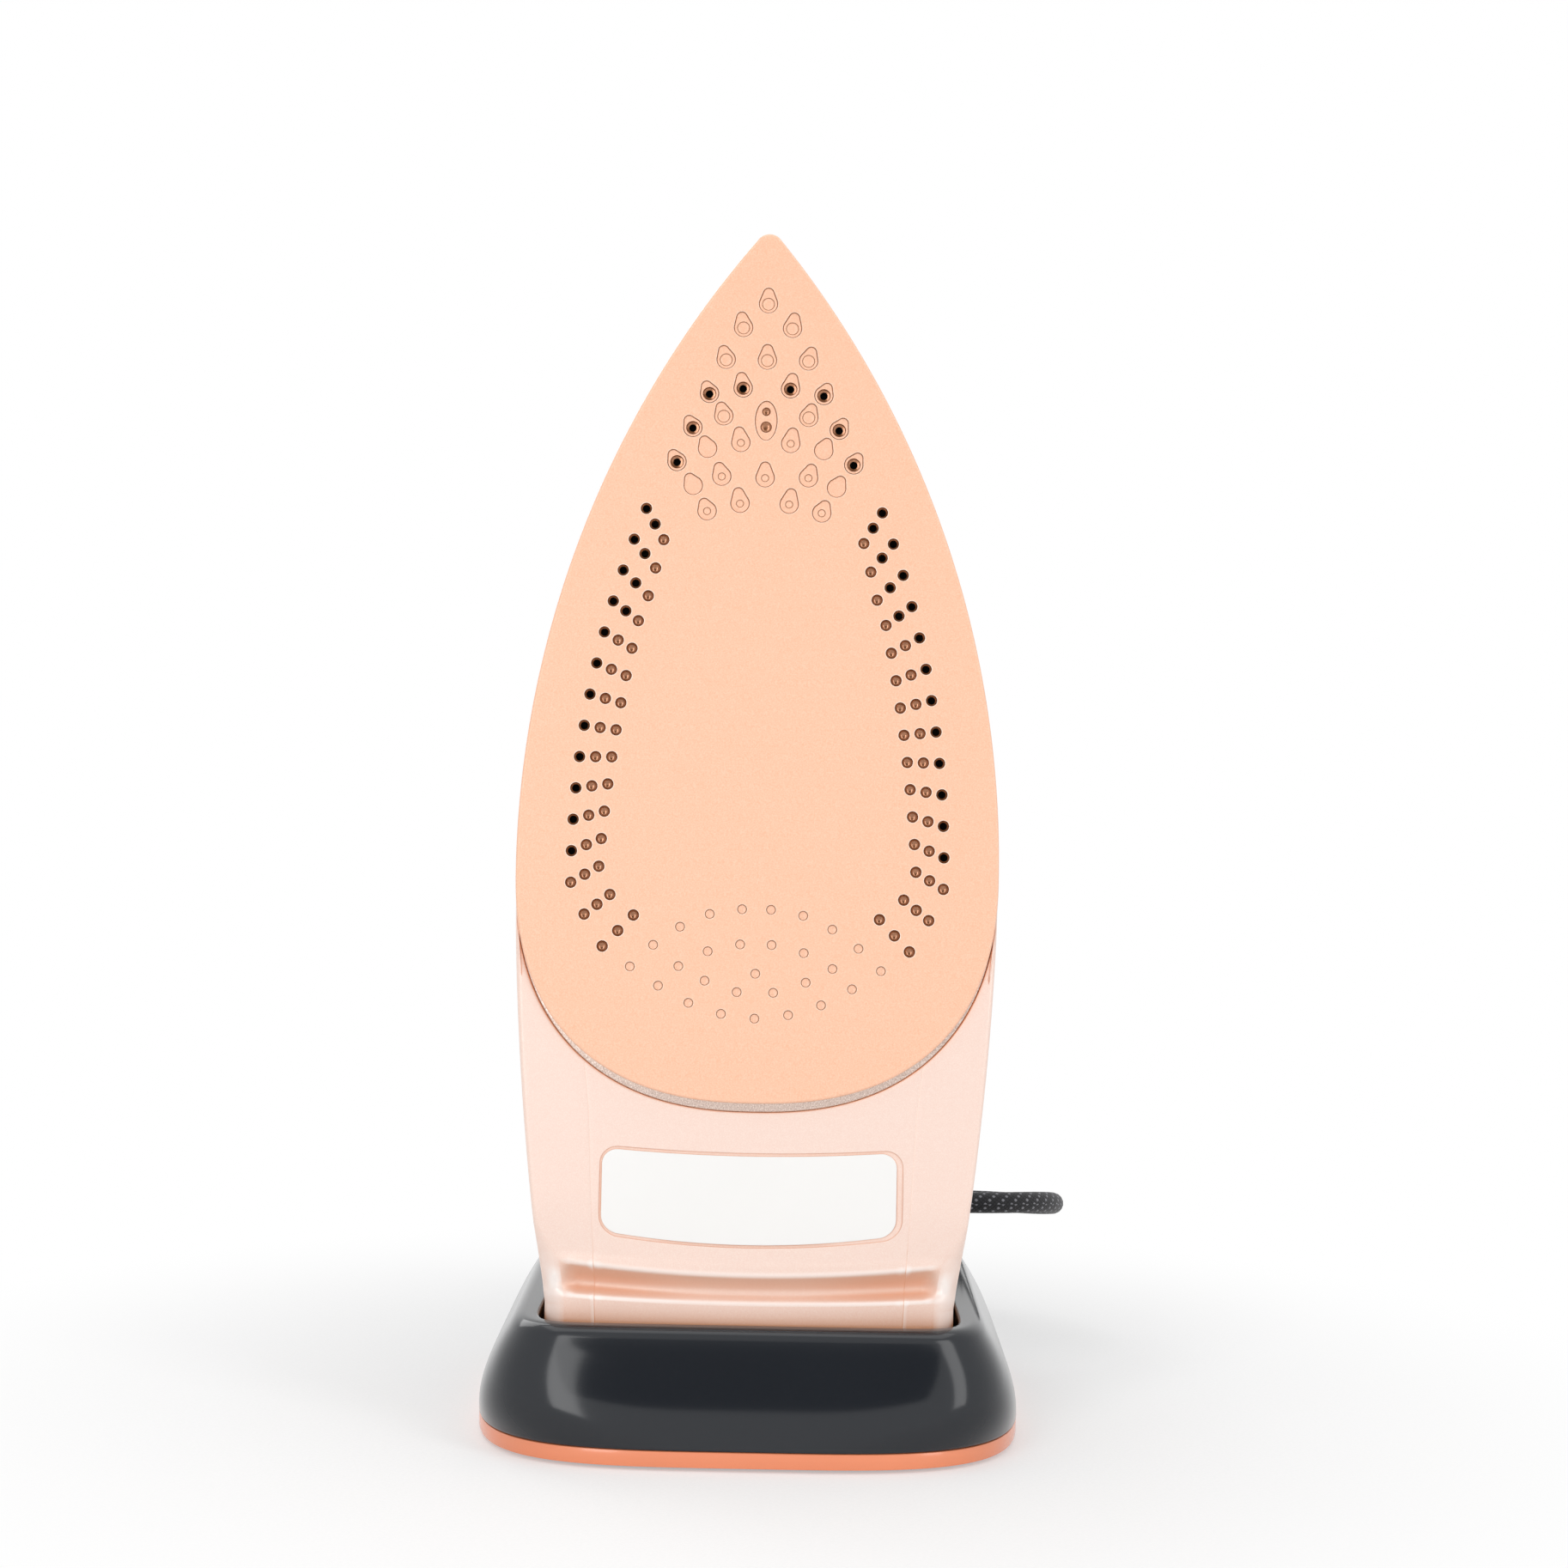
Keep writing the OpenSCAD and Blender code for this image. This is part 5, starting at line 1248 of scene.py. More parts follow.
def column_shares():
    """Columns across the heel as shares of its half-width; the mould line has three close together."""
    shares = list(np.linspace(0, 0.7, 36)) + [0.725, 0.746, MOULD_SHARE, 0.754, 0.775]
    shares += list(np.linspace(0.8, 1.0, 21))
    return [-u for u in shares[:0:-1]] + shares


class IRON_OT_skirt(bpy.types.Operator):
    """Moulds the pearl skirt with its heel, finger groove and foot"""
    bl_idname = "iron.skirt"
    bl_label = "Skirt"

    def execute(self, context):
        shares = column_shares()
        lip_r = [0.05 + 0.45 * (1 - smoothly(abs(u), 0.85, 0.99)) for u in shares]
        grid = self.level_rows(shares) + self.fan_rows(shares, lip_r)
        sides = skirt_sides(ZC, body_half_w(ZC))
        grid += self.edge_rows(shares, lip_r, sides)
        verts = [(x, y, level(y, z)) for row in grid for x, y, z in row]
        n = len(grid[0])
        faces = []
        for i in range(len(grid) - 1):
            ends = len(sides) if i >= len(grid) - 6 else 0
            for j in range(ends, n - 1 - ends):
                faces.append((i * n + j, i * n + j + 1, (i + 1) * n + j + 1, (i + 1) * n + j))
        faces.append(tuple(range(n))[::-1])
        bands = self.bands()
        faces += skin(len(bands), len(bands[0]), len(verts), closed=False)
        skirt = new_piece("skirt_shell", stand(verts + sum(bands, [])), faces, smooth=None)
        merge_close(skirt)
        facing_out(skirt)
        self.thicken(skirt)
        carve(skirt, self.label_recess())
        place_piece(skirt, "iron", "pearl_pink", pearl(), "skirt", crisp=32)
        return {"FINISHED"}

    @staticmethod
    def whole_row(side, z, front):
        """A row over both sides and the front; side is the right side's (x, y) from back to front."""
        return [(-x, y, z) for x, y in side] + front + [(x, y, z) for x, y in side[::-1]]

    def level_rows(self, shares):
        """Level rows, from the foot's underside up."""
        rows = []
        heights = np.linspace(0, 20, 9), np.arange(21, 38, 0.4), np.linspace(38.5, LEVEL_TO, 26)
        for z in np.concatenate(heights):
            w = body_half_w(z)
            if z < FOOT_EASE:
                w -= FOOT_EASE - sqrt(FOOT_EASE ** 2 - (FOOT_EASE - z) ** 2)
            bow = smoothly(z, 14, FOOT_Z) * 1.4 + 1.5 * smoothly(z, FOOT_Z, RIDGE_Z)
            bow *= 1 - smoothly(z, 36, 46)
            front = []
            for u in shares:
                x = column_x(u, z) if z >= FOOT_EASE else u * (w - edge_radius(z))
                q = z + bow * smile(x) * (1 - smoothly(abs(u), 0.9, 1.0))
                front.append((x, self.skin_y(x, q, u), q))
            rows.append(self.whole_row(skirt_sides(z, w), z, front))
        return rows

    def fan_rows(self, shares, lip_r):
        """Rows that fan out from the last level to the opening for the sole."""
        rows = []
        tops = [opening_point(u, -GAP - r) for u, r in zip(shares, lip_r)]
        straight = column_x(1.0, LEVEL_TO)
        for t in np.linspace(0, 1, 27)[1:]:
            z_side = LEVEL_TO + (ZC - LEVEL_TO) * t
            w = body_half_w(z_side)
            end = straight + (tops[-1][0] - straight) * t
            front = []
            for u, (xt, zt) in zip(shares, tops):
                z = LEVEL_TO + (zt - LEVEL_TO) * t
                if abs(u) <= 0.8:
                    x = column_x(u, z) * (1 - t * t) + xt * t * t
                else:
                    x0 = column_x(u, LEVEL_TO)
                    x = x0 + (xt - x0) * t
                    x += copysign(1, u) * (w - edge_radius(z_side) - end) * abs(u) ** 8
                front.append((x, self.skin_y(x, z, u), z))
            rows.append(self.whole_row(skirt_sides(z_side, w), z_side, front))
        return rows

    def edge_rows(self, shares, lip_r, sides):
        """The opening's rounded edge, and its wall in the last row."""
        rows = []
        for degrees, deeper in ((25, 0), (50, 0), (75, 0), (90, 0), (90, 1.6)):
            turn = radians(degrees)
            front = []
            for u, r in zip(shares, lip_r):
                x, z = opening_point(u, -GAP - r * (1 - sin(turn)))
                y = skirt_front(*opening_point(u, -GAP - r)) + r * (1 - cos(turn))
                front.append((x, y + deeper, z))
            rows.append(self.whole_row(sides, ZC, front))
        return rows

    @staticmethod
    def bands():
        """Sections of the narrow band that runs round the sole, from one side over the tip."""
        wide_half, slim_half = np.array(front_arc(-SKIRT_OUT)), np.array(front_arc(SKIRT_OUT))
        stations = [(k, 1) for k in range(len(wide_half) - 1, -1, -1)]
        stations += [(k, -1) for k in range(1, len(wide_half))]
        bands = []
        for k, hand in stations:
            tuck = smoothly(wide_half[k][1], ZC, ZC + 20)

            def out(y):
                return -0.05 + tuck * (0.1 - (SKIRT_OUT + 0.05) * smoothly(y, 4, 14))

            hole = 0.35 + 0.25 * tuck
            back, front = split_y(wide_half[k][1]), LIP_FRONT
            section = [(out(y), y) for y in (back, 0.5 * (back + front + 0.3), front + 0.6)]
            section += [(out(front) + 0.3 - 0.3 * cos(a), front + 0.3 * (1 - sin(a)))
                        for a in np.radians([0, 15, 30, 45, 60, 75])]
            section.append((out(front) + 0.3, front))
            section += [(hole - 0.05 * (1 - sin(a)), front + 0.05 * (1 - cos(a)))
                        for a in np.radians([25, 50, 75, 90])]
            section.append((hole, front + 1.65))
            band = []
            for d, y in section:
                t = (d + SKIRT_OUT) / (2 * SKIRT_OUT)
                x, z = wide_half[k] * (1 - t) + slim_half[k] * t
                band.append((hand * x, y, z))
            bands.append(band)
        return bands

    @staticmethod
    def thicken(skirt):
        """Gives the shell its wall, thick behind the heel's panel and thin elsewhere."""
        thick = skirt.vertex_groups.new(name="panel")
        for vert in skirt.data.vertices:
            x, z = abs(vert.co.x) / MM, vert.co.z / MM
            thick.add([vert.index], smoothly(46 - x, 0, 6) * smoothly(100 - z, 0, 10), "REPLACE")
        wall = skirt.modifiers.new("wall", "SOLIDIFY")
        wall.thickness = WALL_T * MM
        wall.vertex_group = "panel"
        wall.thickness_vertex_group = THIN_SHARE
        wall.offset = -1
        wall.use_even_offset = False
        settle(skirt)

    @staticmethod
    def skin_y(x, z, u):
        """Depth of the front at a column; the mould line's column lies a little deeper."""
        return skirt_front(x, z) + (0.1 if abs(abs(u) - MOULD_SHARE) < 0.001 else 0)

    @staticmethod
    def label_recess():
        """The recess for the plate, bowed like the foot."""
        rings = [plate_outline(73.0 + 2 * g, 22.6 + 2 * g, 4.6 + g, LABEL_Z)
                 for g in (0.5, 0.2, 0.05, 0.0, 0.0)]
        depths = [np.clip(panel_depth(*np.array(ring).T), PANEL_Y, 9) + y
                  for ring, y in zip(rings, (-1.2, -0.02, 0.08, 0.16, 0.3))]
        return cutter([(rings, depths)])


LABEL_Z = HEEL_L - 22.4


def plate_outline(wide, high, r, z0, steps=10, straight=24):
    """A rounded rectangle whose upper and lower edges sag towards the middle."""
    points = []
    corners = [(wide / 2 - r, high / 2 - r, 0), (-wide / 2 + r, high / 2 - r, 90),
               (-wide / 2 + r, -high / 2 + r, 180), (wide / 2 - r, -high / 2 + r, 270)]
    for k, (cx, cz, start) in enumerate(corners):
        for a in np.radians(np.linspace(start, start + 90, steps)):
            points.append((cx + r * cos(a), cz + r * sin(a)))
        nx = corners[(k + 1) % 4][0]
        if k in (0, 2):
            for t in np.linspace(0, 1, straight)[1:-1]:
                points.append((cx + (nx - cx) * t, cz + copysign(r, cz)))
    out = []
    for x, z in points:
        share = (x / (wide / 2)) ** 2
        rise = 1.5 + (2.8 - 1.5) * (0.5 - z / high)
        out.append((x, z0 + z + rise * share - 0.9))
    return out


def facing_out(piece):
    """Turns an open shell's faces outwards, away from the middle of its depth."""
    mesh = piece.data
    middle = sum((v.co for v in mesh.vertices), Vector()) / len(mesh.vertices)
    total = sum(f.area * f.normal.dot(f.center - middle) for f in mesh.polygons)
    if total < 0:
        mesh.flip_normals()


class IRON_OT_plate(bpy.types.Operator):
    """Lays the bare white plate into its recess in the heel"""
    bl_idname = "iron.plate"
    bl_label = "Plate"

    def execute(self, context):
        rings = []
        for y, g in ((0.28, 0.0), (0.06, 0.0), (0, -0.08), (-0.03, -0.25)):
            ring = np.array(plate_outline(71 + 2 * g, 21.2 + 2 * g, 4 + g, LABEL_Z)) - (0.5, 0)
            rings.append(at_depth(ring, y + panel_depth(ring[:, 0], ring[:, 1])))
        plate = lofted("heel_plate", rings, smooth=30)
        place_piece(plate, "iron", "white_plate", white_plate(), "label_plate", crisp=40)
        return {"FINISHED"}


# ---------- Dock ----------

DOCK_W = 135.0
DOCK_D = 150.0
RIM_H = 31.6
BAND_TOP = 4.8
FOOT_N = 3.8             # squareness of the dock's outline at its foot
RIM_N = 9.0              # and at its rim
POCKET_N = 12.0
POCKET_FLOOR = SEAT_Z - 0.3
POCKET_GAP = 1.5
FOOT_D = 88.0
SHELL_T = 2.4


def squircle(a, b, n, steps, wavy=0.0):
    """A squarish ring about the origin, from its front middle round."""
    points = []
    corner = atan2(b, a)
    quarter = list(np.linspace(0, corner, steps // 2 + 1))
    quarter += list(np.linspace(corner, pi / 2, steps // 2 + 1))[1:]
    turns = quarter + [pi - t for t in quarter[-2::-1]]
    turns += [t + pi for t in turns[1:-1]]
    for t in turns:
        c, s = cos(t), sin(t)
        r = (abs(c / a) ** n + abs(s / b) ** n) ** (-1 / n)
        points.append((r * c, r * s * (1 + wavy * (1 - (r * c / a) ** 2))))
    return np.array(points)


def dock_ring(inset, z, steps=60, n=None):
    """The dock's outline, inset from its footprint; it grows squarer towards the rim."""
    if n is None:
        n = FOOT_N + (RIM_N - FOOT_N) * max(0.0, z - BAND_TOP) / (RIM_H - BAND_TOP)
    ring = squircle(DOCK_W / 2 - inset, DOCK_D / 2 - inset, n, steps)
    return raised(ring + (0, DOCK_Y), z)


def pocket_ring(grow, z, steps=60):
    """The pocket leans with the iron."""
    lean = (z - SEAT_Z) * tan(LEAN)
    y0, y1 = SOLE_Y + 0.6 + lean, SOLE_Y + FOOT_D + 1 + lean
    ring = squircle(FOOT_HALF_W + POCKET_GAP + grow, (y1 - y0) / 2 + grow, POCKET_N, steps, 0.006)
    return raised(ring + (0, (y0 + y1) / 2), z)


# Outer profile of the shell: (inset from the footprint, height).
SHELL_PROFILE = [(0, 4.8), (0.1, 7.8), (1.6, 13.8), (4, 20.2), (7.2, 26.4), (9.6, 29.8)]


def shell_outline():
    """The shell's profile as a smooth line that rounds over into the rim."""
    line, _ = smooth_line([(d, z, 0) for d, z in SHELL_PROFILE], 1.0)
    points = [(d, z) for d, z, _ in line]
    x0, z0 = points[-1]
    for t in np.linspace(0, 1, 7)[1:]:
        a, b, c = (x0, z0), (x0 + 1.35, z0 + 1.72), (x0 + 3.1, RIM_H - 0.02)
        points.append(tuple((1 - t) ** 2 * p + 2 * t * (1 - t) * q + t * t * r for p, q, r in zip(a, b, c)))
    return points


class IRON_OT_dock(bpy.types.Operator):
    """Moulds the dock's glossy shell with its leaning pocket, and the coloured band round its foot"""
    bl_idname = "iron.dock"
    bl_label = "Dock"

    def execute(self, context):
        under = [pocket_ring(SHELL_T, POCKET_FLOOR - SHELL_T), pocket_ring(SHELL_T, RIM_H - 6.4)]
        under += [dock_ring(d + SHELL_T, z - (1.2 if d > 3 else 0)) for d, z in SHELL_PROFILE[4::-1]]
        outer = [dock_ring(0.35, BAND_TOP), dock_ring(0.1, BAND_TOP + 0.1)]
        outer += [dock_ring(d, z + (0.35 if z < 4.9 else 0)) for d, z in shell_outline()]
        rim = [pocket_ring(0.9, RIM_H), pocket_ring(0.45, RIM_H - 0.1), pocket_ring(0.12, RIM_H - 0.4),
               pocket_ring(0.0, RIM_H - 0.9), pocket_ring(0.0, POCKET_FLOOR + 1.2),
               pocket_ring(-0.35, POCKET_FLOOR + 0.35), pocket_ring(-1.2, POCKET_FLOOR)]
        shell = lofted("dock_cover", under + outer + rim, lie, smooth=None)
        slots = []
        for x in (-11, 0, 11):
            ring = [(x - 1.6, -4.2), (x + 1.6, -4.2), (x + 1.6, 4.2), (x - 1.6, 4.2)]
            slots.append(([[(p, q + CONTACT_WORLD_Y) for p, q in ring]] * 2, [2.0, POCKET_FLOOR + 1]))
        carve(shell, cutter(slots, upright=False))
        place_piece(shell, "dock", "charcoal_gloss", gloss_black(), "dock_shell", crisp=38)

        profile = [(3, 0.8), (0.5, 0.8), (0.12, 0.95), (0, 1.35), (0, 4.2), (0.12, 4.55), (0.45, 4.7),
                   (3, 4.7)]
        band = lofted("dock_foot_band", [dock_ring(d, z, n=FOOT_N) for d, z in profile], lie, loop=True,
                      caps=(False, False), smooth=38)
        place_piece(band, "dock", "coral_band", coral(), "dock_band")
        return {"FINISHED"}


CONTACT_WORLD_Y = SOLE_Y + (FOOT_D - 21) * cos(LEAN) + 8 * sin(LEAN)


def round_plan(wide, deep, r, steps=8):
    """A rounded rectangle about the origin."""
    points = []
    for cx, cy, start in ((1, 1, 0), (-1, 1, 90), (-1, -1, 180), (1, -1, 270)):
        for a in np.radians(np.linspace(start, start + 90, steps)):
            points.append((cx * (wide / 2 - r) + r * cos(a), cy * (deep / 2 - r) + r * sin(a)))
    return np.array(points)


def turned(name, profile, sides, place, axis="z", at=(0, 0, 0), smooth=35):
    """A turned body: profile is (along the axis, radius), closed at both ends."""
    verts = []
    for far, r in profile:
        for a in np.linspace(0, 2 * pi, sides, endpoint=False):
            c, s = r * cos(a), r * sin(a)
            p = {"x": (far, c, s), "y": (c, far, s), "z": (c, s, far)}[axis]
            verts.append(tuple(u + v for u, v in zip(p, at)))
    return new_piece(name, place(verts), skin(len(profile), sides, caps=(True, True)), smooth)


def bore(piece, profile, axis, at, sides=32):
    """Cuts a turned hole into a piece of the iron."""
    carve(piece, turned("bore", profile, sides, stand, axis, at))


def joined(name, parts):
    """One piece from several."""
    bpy.ops.object.select_all(action="DESELECT")
    for part in parts:
        part.select_set(True)
    bpy.context.view_layer.objects.active = parts[0]
    bpy.ops.object.join()
    parts[0].name = name
    return parts[0]


MODULE_Y = (44.0, 66.0)
MODULE_TOP = 50.0
EXIT = (56.0, 42.0)      # y and z of the cord's way out


class IRON_OT_module(bpy.types.Operator):
    """Moulds the cord module behind the iron, its button, and the ribbed strain relief"""
    bl_idname = "iron.module"
    bl_label = "Cord module"

    def execute(self, context):
        middle = sum(MODULE_Y) / 2
        deep = MODULE_Y[1] - MODULE_Y[0]

        def ring(grow, z):
            return raised(round_plan(52 + 2 * grow, deep + 2 * grow, 6.0 + grow) + (0, middle), z)

        low = RIM_H + 0.05
        rings = [ring(0.9, low), ring(0.55, low + 0.12), ring(0.22, low + 0.45), ring(0.05, low + 1.0),
                 ring(0, low + 1.8)]
        rings += [ring(-1.4 * (1 - cos(a)), MODULE_TOP - 1.4 * (1 - sin(a)))
                  for a in np.radians([0, 15, 30, 45, 60, 75, 90])]
        body = lofted("cord_housing", rings, lie, smooth=None)
        y = MODULE_Y[0] + 10
        # the key is 16 by 8 mm, and its well leaves 0.3 mm all round
        plans = [round_plan(16.6 + 2 * g, 8.6 + 2 * g, 1.2 + g) + (0, y) for g in (0, 0, 0.25, 0.6)]
        well = [(plans, [MODULE_TOP - 4.4, MODULE_TOP - 0.3, MODULE_TOP - 0.02, MODULE_TOP + 0.4])]
        carve(body, cutter(well, upright=False))
        place_piece(body, "dock", "charcoal_gloss", gloss_black(), "cord_module", crisp=38)

        def key_ring(wide, high, r, steps, x, g, z):
            return raised(round_plan(wide + 2 * g, high + 2 * g, r + g, steps) + (x, y), MODULE_TOP + z)

        button = [lofted("release_key", [key_ring(16, 8, 1.2, 8, 0, g, z) for g, z in (
            (0, -2.7), (0, 1.2), (-0.15, 1.7), (-0.6, 1.98), (-1.1, 2.0), (-1.15, 1.6))], lie, smooth=None)]
        for x in (-5, -2.5, 0, 2.5, 5):
            button.append(lofted("rib", [key_ring(1.0, 5, 0.5, 5, x, g, z)
                                         for g, z in ((0, 1.5), (0, 1.8), (-0.2, 1.98))], lie))
        place_piece(joined("release_key", button), "release_button", "pearl_pink", pearl_key(),
                    "module_button", crisp=38)

        profile = [(22.2, 3.2), (22.2, 4.9), (25.9, 4.9), (26.02, 5.2), (26.02, 6.0), (26.4, 6.4),
                   (28.5, 6.4), (29.0, 6.1), (29.2, 5.3)]
        for i in range(8):
            x = 30.2 + 3.6 * i
            r = 5.4 - 1.8 * (x - 29) / 31
            profile += [(x, r - 0.05), (x + 0.35, r), (x + 1.9, r - 0.1), (x + 2.2, r - 0.35),
                        (x + 2.35, r - 0.95), (x + 3.2, r - 1.05), (x + 3.4, r - 0.5)]
        profile += [(59.2, 3.62), (59.8, 3.5), (60.0, 3.2), (60.0, 3.02)]
        relief = turned("cord_sleeve", profile, 32, lie, "x", (0, EXIT[0], EXIT[1]), smooth=40)
        place_piece(relief, "dock", "soft_rubber", rubber(), "strain_relief")
        return {"FINISHED"}


# ---------- What stands behind the sole ----------

TANK_FROM = HEEL_L + 5
COVER_Y = 3.0            # top of the tank cover above the rim
MARKS_R = 26.3           # ring of the printed dots round the dial
HEAD_W = 42.0
HEAD_TOP = GRIP_D + GRIP_T / 2
FACE_Y = 60.0
BUTTON_XS = (-8.6, 8.6)
BUTTON_Z = GRIP_END + 13
DISH_R = 20.0            # of the dished tops of the keys
SLIDER_Y = 98.0
NOZZLE_Y = 82.0
FILL_Z = GRIP_END + 46
NEEDLE_Z = GRIP_END + 11  # where the valve's needle goes through the tank's cover
DIAL_AT = (0, 0, DIAL_Z)


def tank_half(share, d, rear_steps=24):
    """Right half of the tank's outline at a share of its height."""
    k = 1 - 0.26 * share * share
    points = [(x * k, ZC + (z - ZC) * (1 - 0.15 * share)) for x, z in front_arc(d, 10, 30)]
    for f in np.linspace(0, pi / 2, rear_steps + 1)[1:]:
        x = (HALF_W - d) * k * max(0.0, cos(f)) ** 0.5
        points.append((x if f < 1.57 else 0.0, ZC - (ZC - TANK_FROM - d) * sin(f) ** 0.5))
    return points


def tank_ring(share, d, lift=0.0):
    """The tank's outline at a share of its height, d inside the tank."""
    ring = np.array(mirrored(tank_half(share, d)))
    y = (1 - share) * (split_y(ring[:, 1]) + 0.4) + share * rim_y(ring[:, 1]) + lift
    return at_depth(ring, y)


def on_rim(d, lift):
    """The outline at the rim, d inside the tank and lift above the rim."""
    ring = np.array(mirrored(tank_half(1, d)))
    return at_depth(ring, rim_y(ring[:, 1]) + lift)


def bridged(name, rings, smooth=35):
    """Like lofted, for mirrored rings: each end is closed by strips from side to side, so that it
    can curve along z."""
    m, n = len(rings), len(rings[0])
    faces = skin(m, n)
    for first in (0, (m - 1) * n):
        for i in range(n // 2):
            quad = [first + i, first + i + 1, first + n - i - 1, first + (n - i) % n]
            faces.append(tuple(dict.fromkeys(quad)))
    return new_piece(name, stand(np.concatenate(rings)), faces, smooth)


def inset(points, d):
    """A closed outline moved inwards by d."""
    p = np.asarray(points, float)
    turn = np.sign(np.sum(p[:, 0] * np.roll(p[:, 1], -1) - np.roll(p[:, 0], -1) * p[:, 1]))
    a, b = p - np.roll(p, 1, axis=0), np.roll(p, -1, axis=0) - p
    a /= np.linalg.norm(a, axis=1)[:, None] + 1e-9
    b /= np.linalg.norm(b, axis=1)[:, None] + 1e-9
    normal = np.stack([-(a[:, 1] + b[:, 1]), a[:, 0] + b[:, 0]], axis=1) * turn
    normal /= np.linalg.norm(normal, axis=1)[:, None] + 1e-9
    cosine = np.clip(normal[:, 0] * -a[:, 1] * turn + normal[:, 1] * a[:, 0] * turn, 0.5, 1)
    return p + normal * (d / cosine)[:, None]


def rounded_line(points, r, steps=5):
    """A closed outline with its corners rounded; r is one radius or one for each corner."""
    p = np.asarray(points, float)
    radii = r if hasattr(r, "__len__") else [r] * len(p)
    out = []
    for i, corner in enumerate(p):
        a, b = p[i - 1] - corner, p[(i + 1) % len(p)] - corner
        la, lb = np.linalg.norm(a), np.linalg.norm(b)
        reach = min(radii[i], 0.45 * la, 0.45 * lb)
        s, e = corner + a / la * reach, corner + b / lb * reach
        for t in np.linspace(0, 1, steps):
            out.append((1 - t) ** 2 * s + 2 * t * (1 - t) * corner + t * t * e)
    return np.array(out)


def rounded_box(x0, y0, x1, y1, r, steps=5):
    """A rectangle from one corner to the opposite one, with its corners rounded."""
    return rounded_line([(x0, y0), (x1, y0), (x1, y1), (x0, y1)], r, steps)


def pillow(name, plan, heights, place, smooth=35):
    """A moulding from a plan; heights is (distance inside the plan, height), from the bottom up."""
    rings = [raised(inset(plan, d) if d else plan, h) for d, h in heights]
    return lofted(name, rings, place, smooth=smooth)


def over_sole(points):
    """Plans of (x, z) with heights along y, as points of the iron's frame."""
    p = np.asarray(points, float).reshape(-1, 3)
    return stand(np.stack([p[:, 0], p[:, 2], p[:, 1]], axis=1))


def side_of(points):
    """Plans of (y, z) with heights along x."""
    p = np.asarray(points, float).reshape(-1, 3)
    return stand(np.stack([p[:, 2], p[:, 0], p[:, 1]], axis=1))


def face_z(y):
    """Height of the head's front face at a depth."""
    return HEAD_TO + 3 * (HEAD_TOP - 30 - y) / (HEAD_TOP - 30 - FACE_Y)


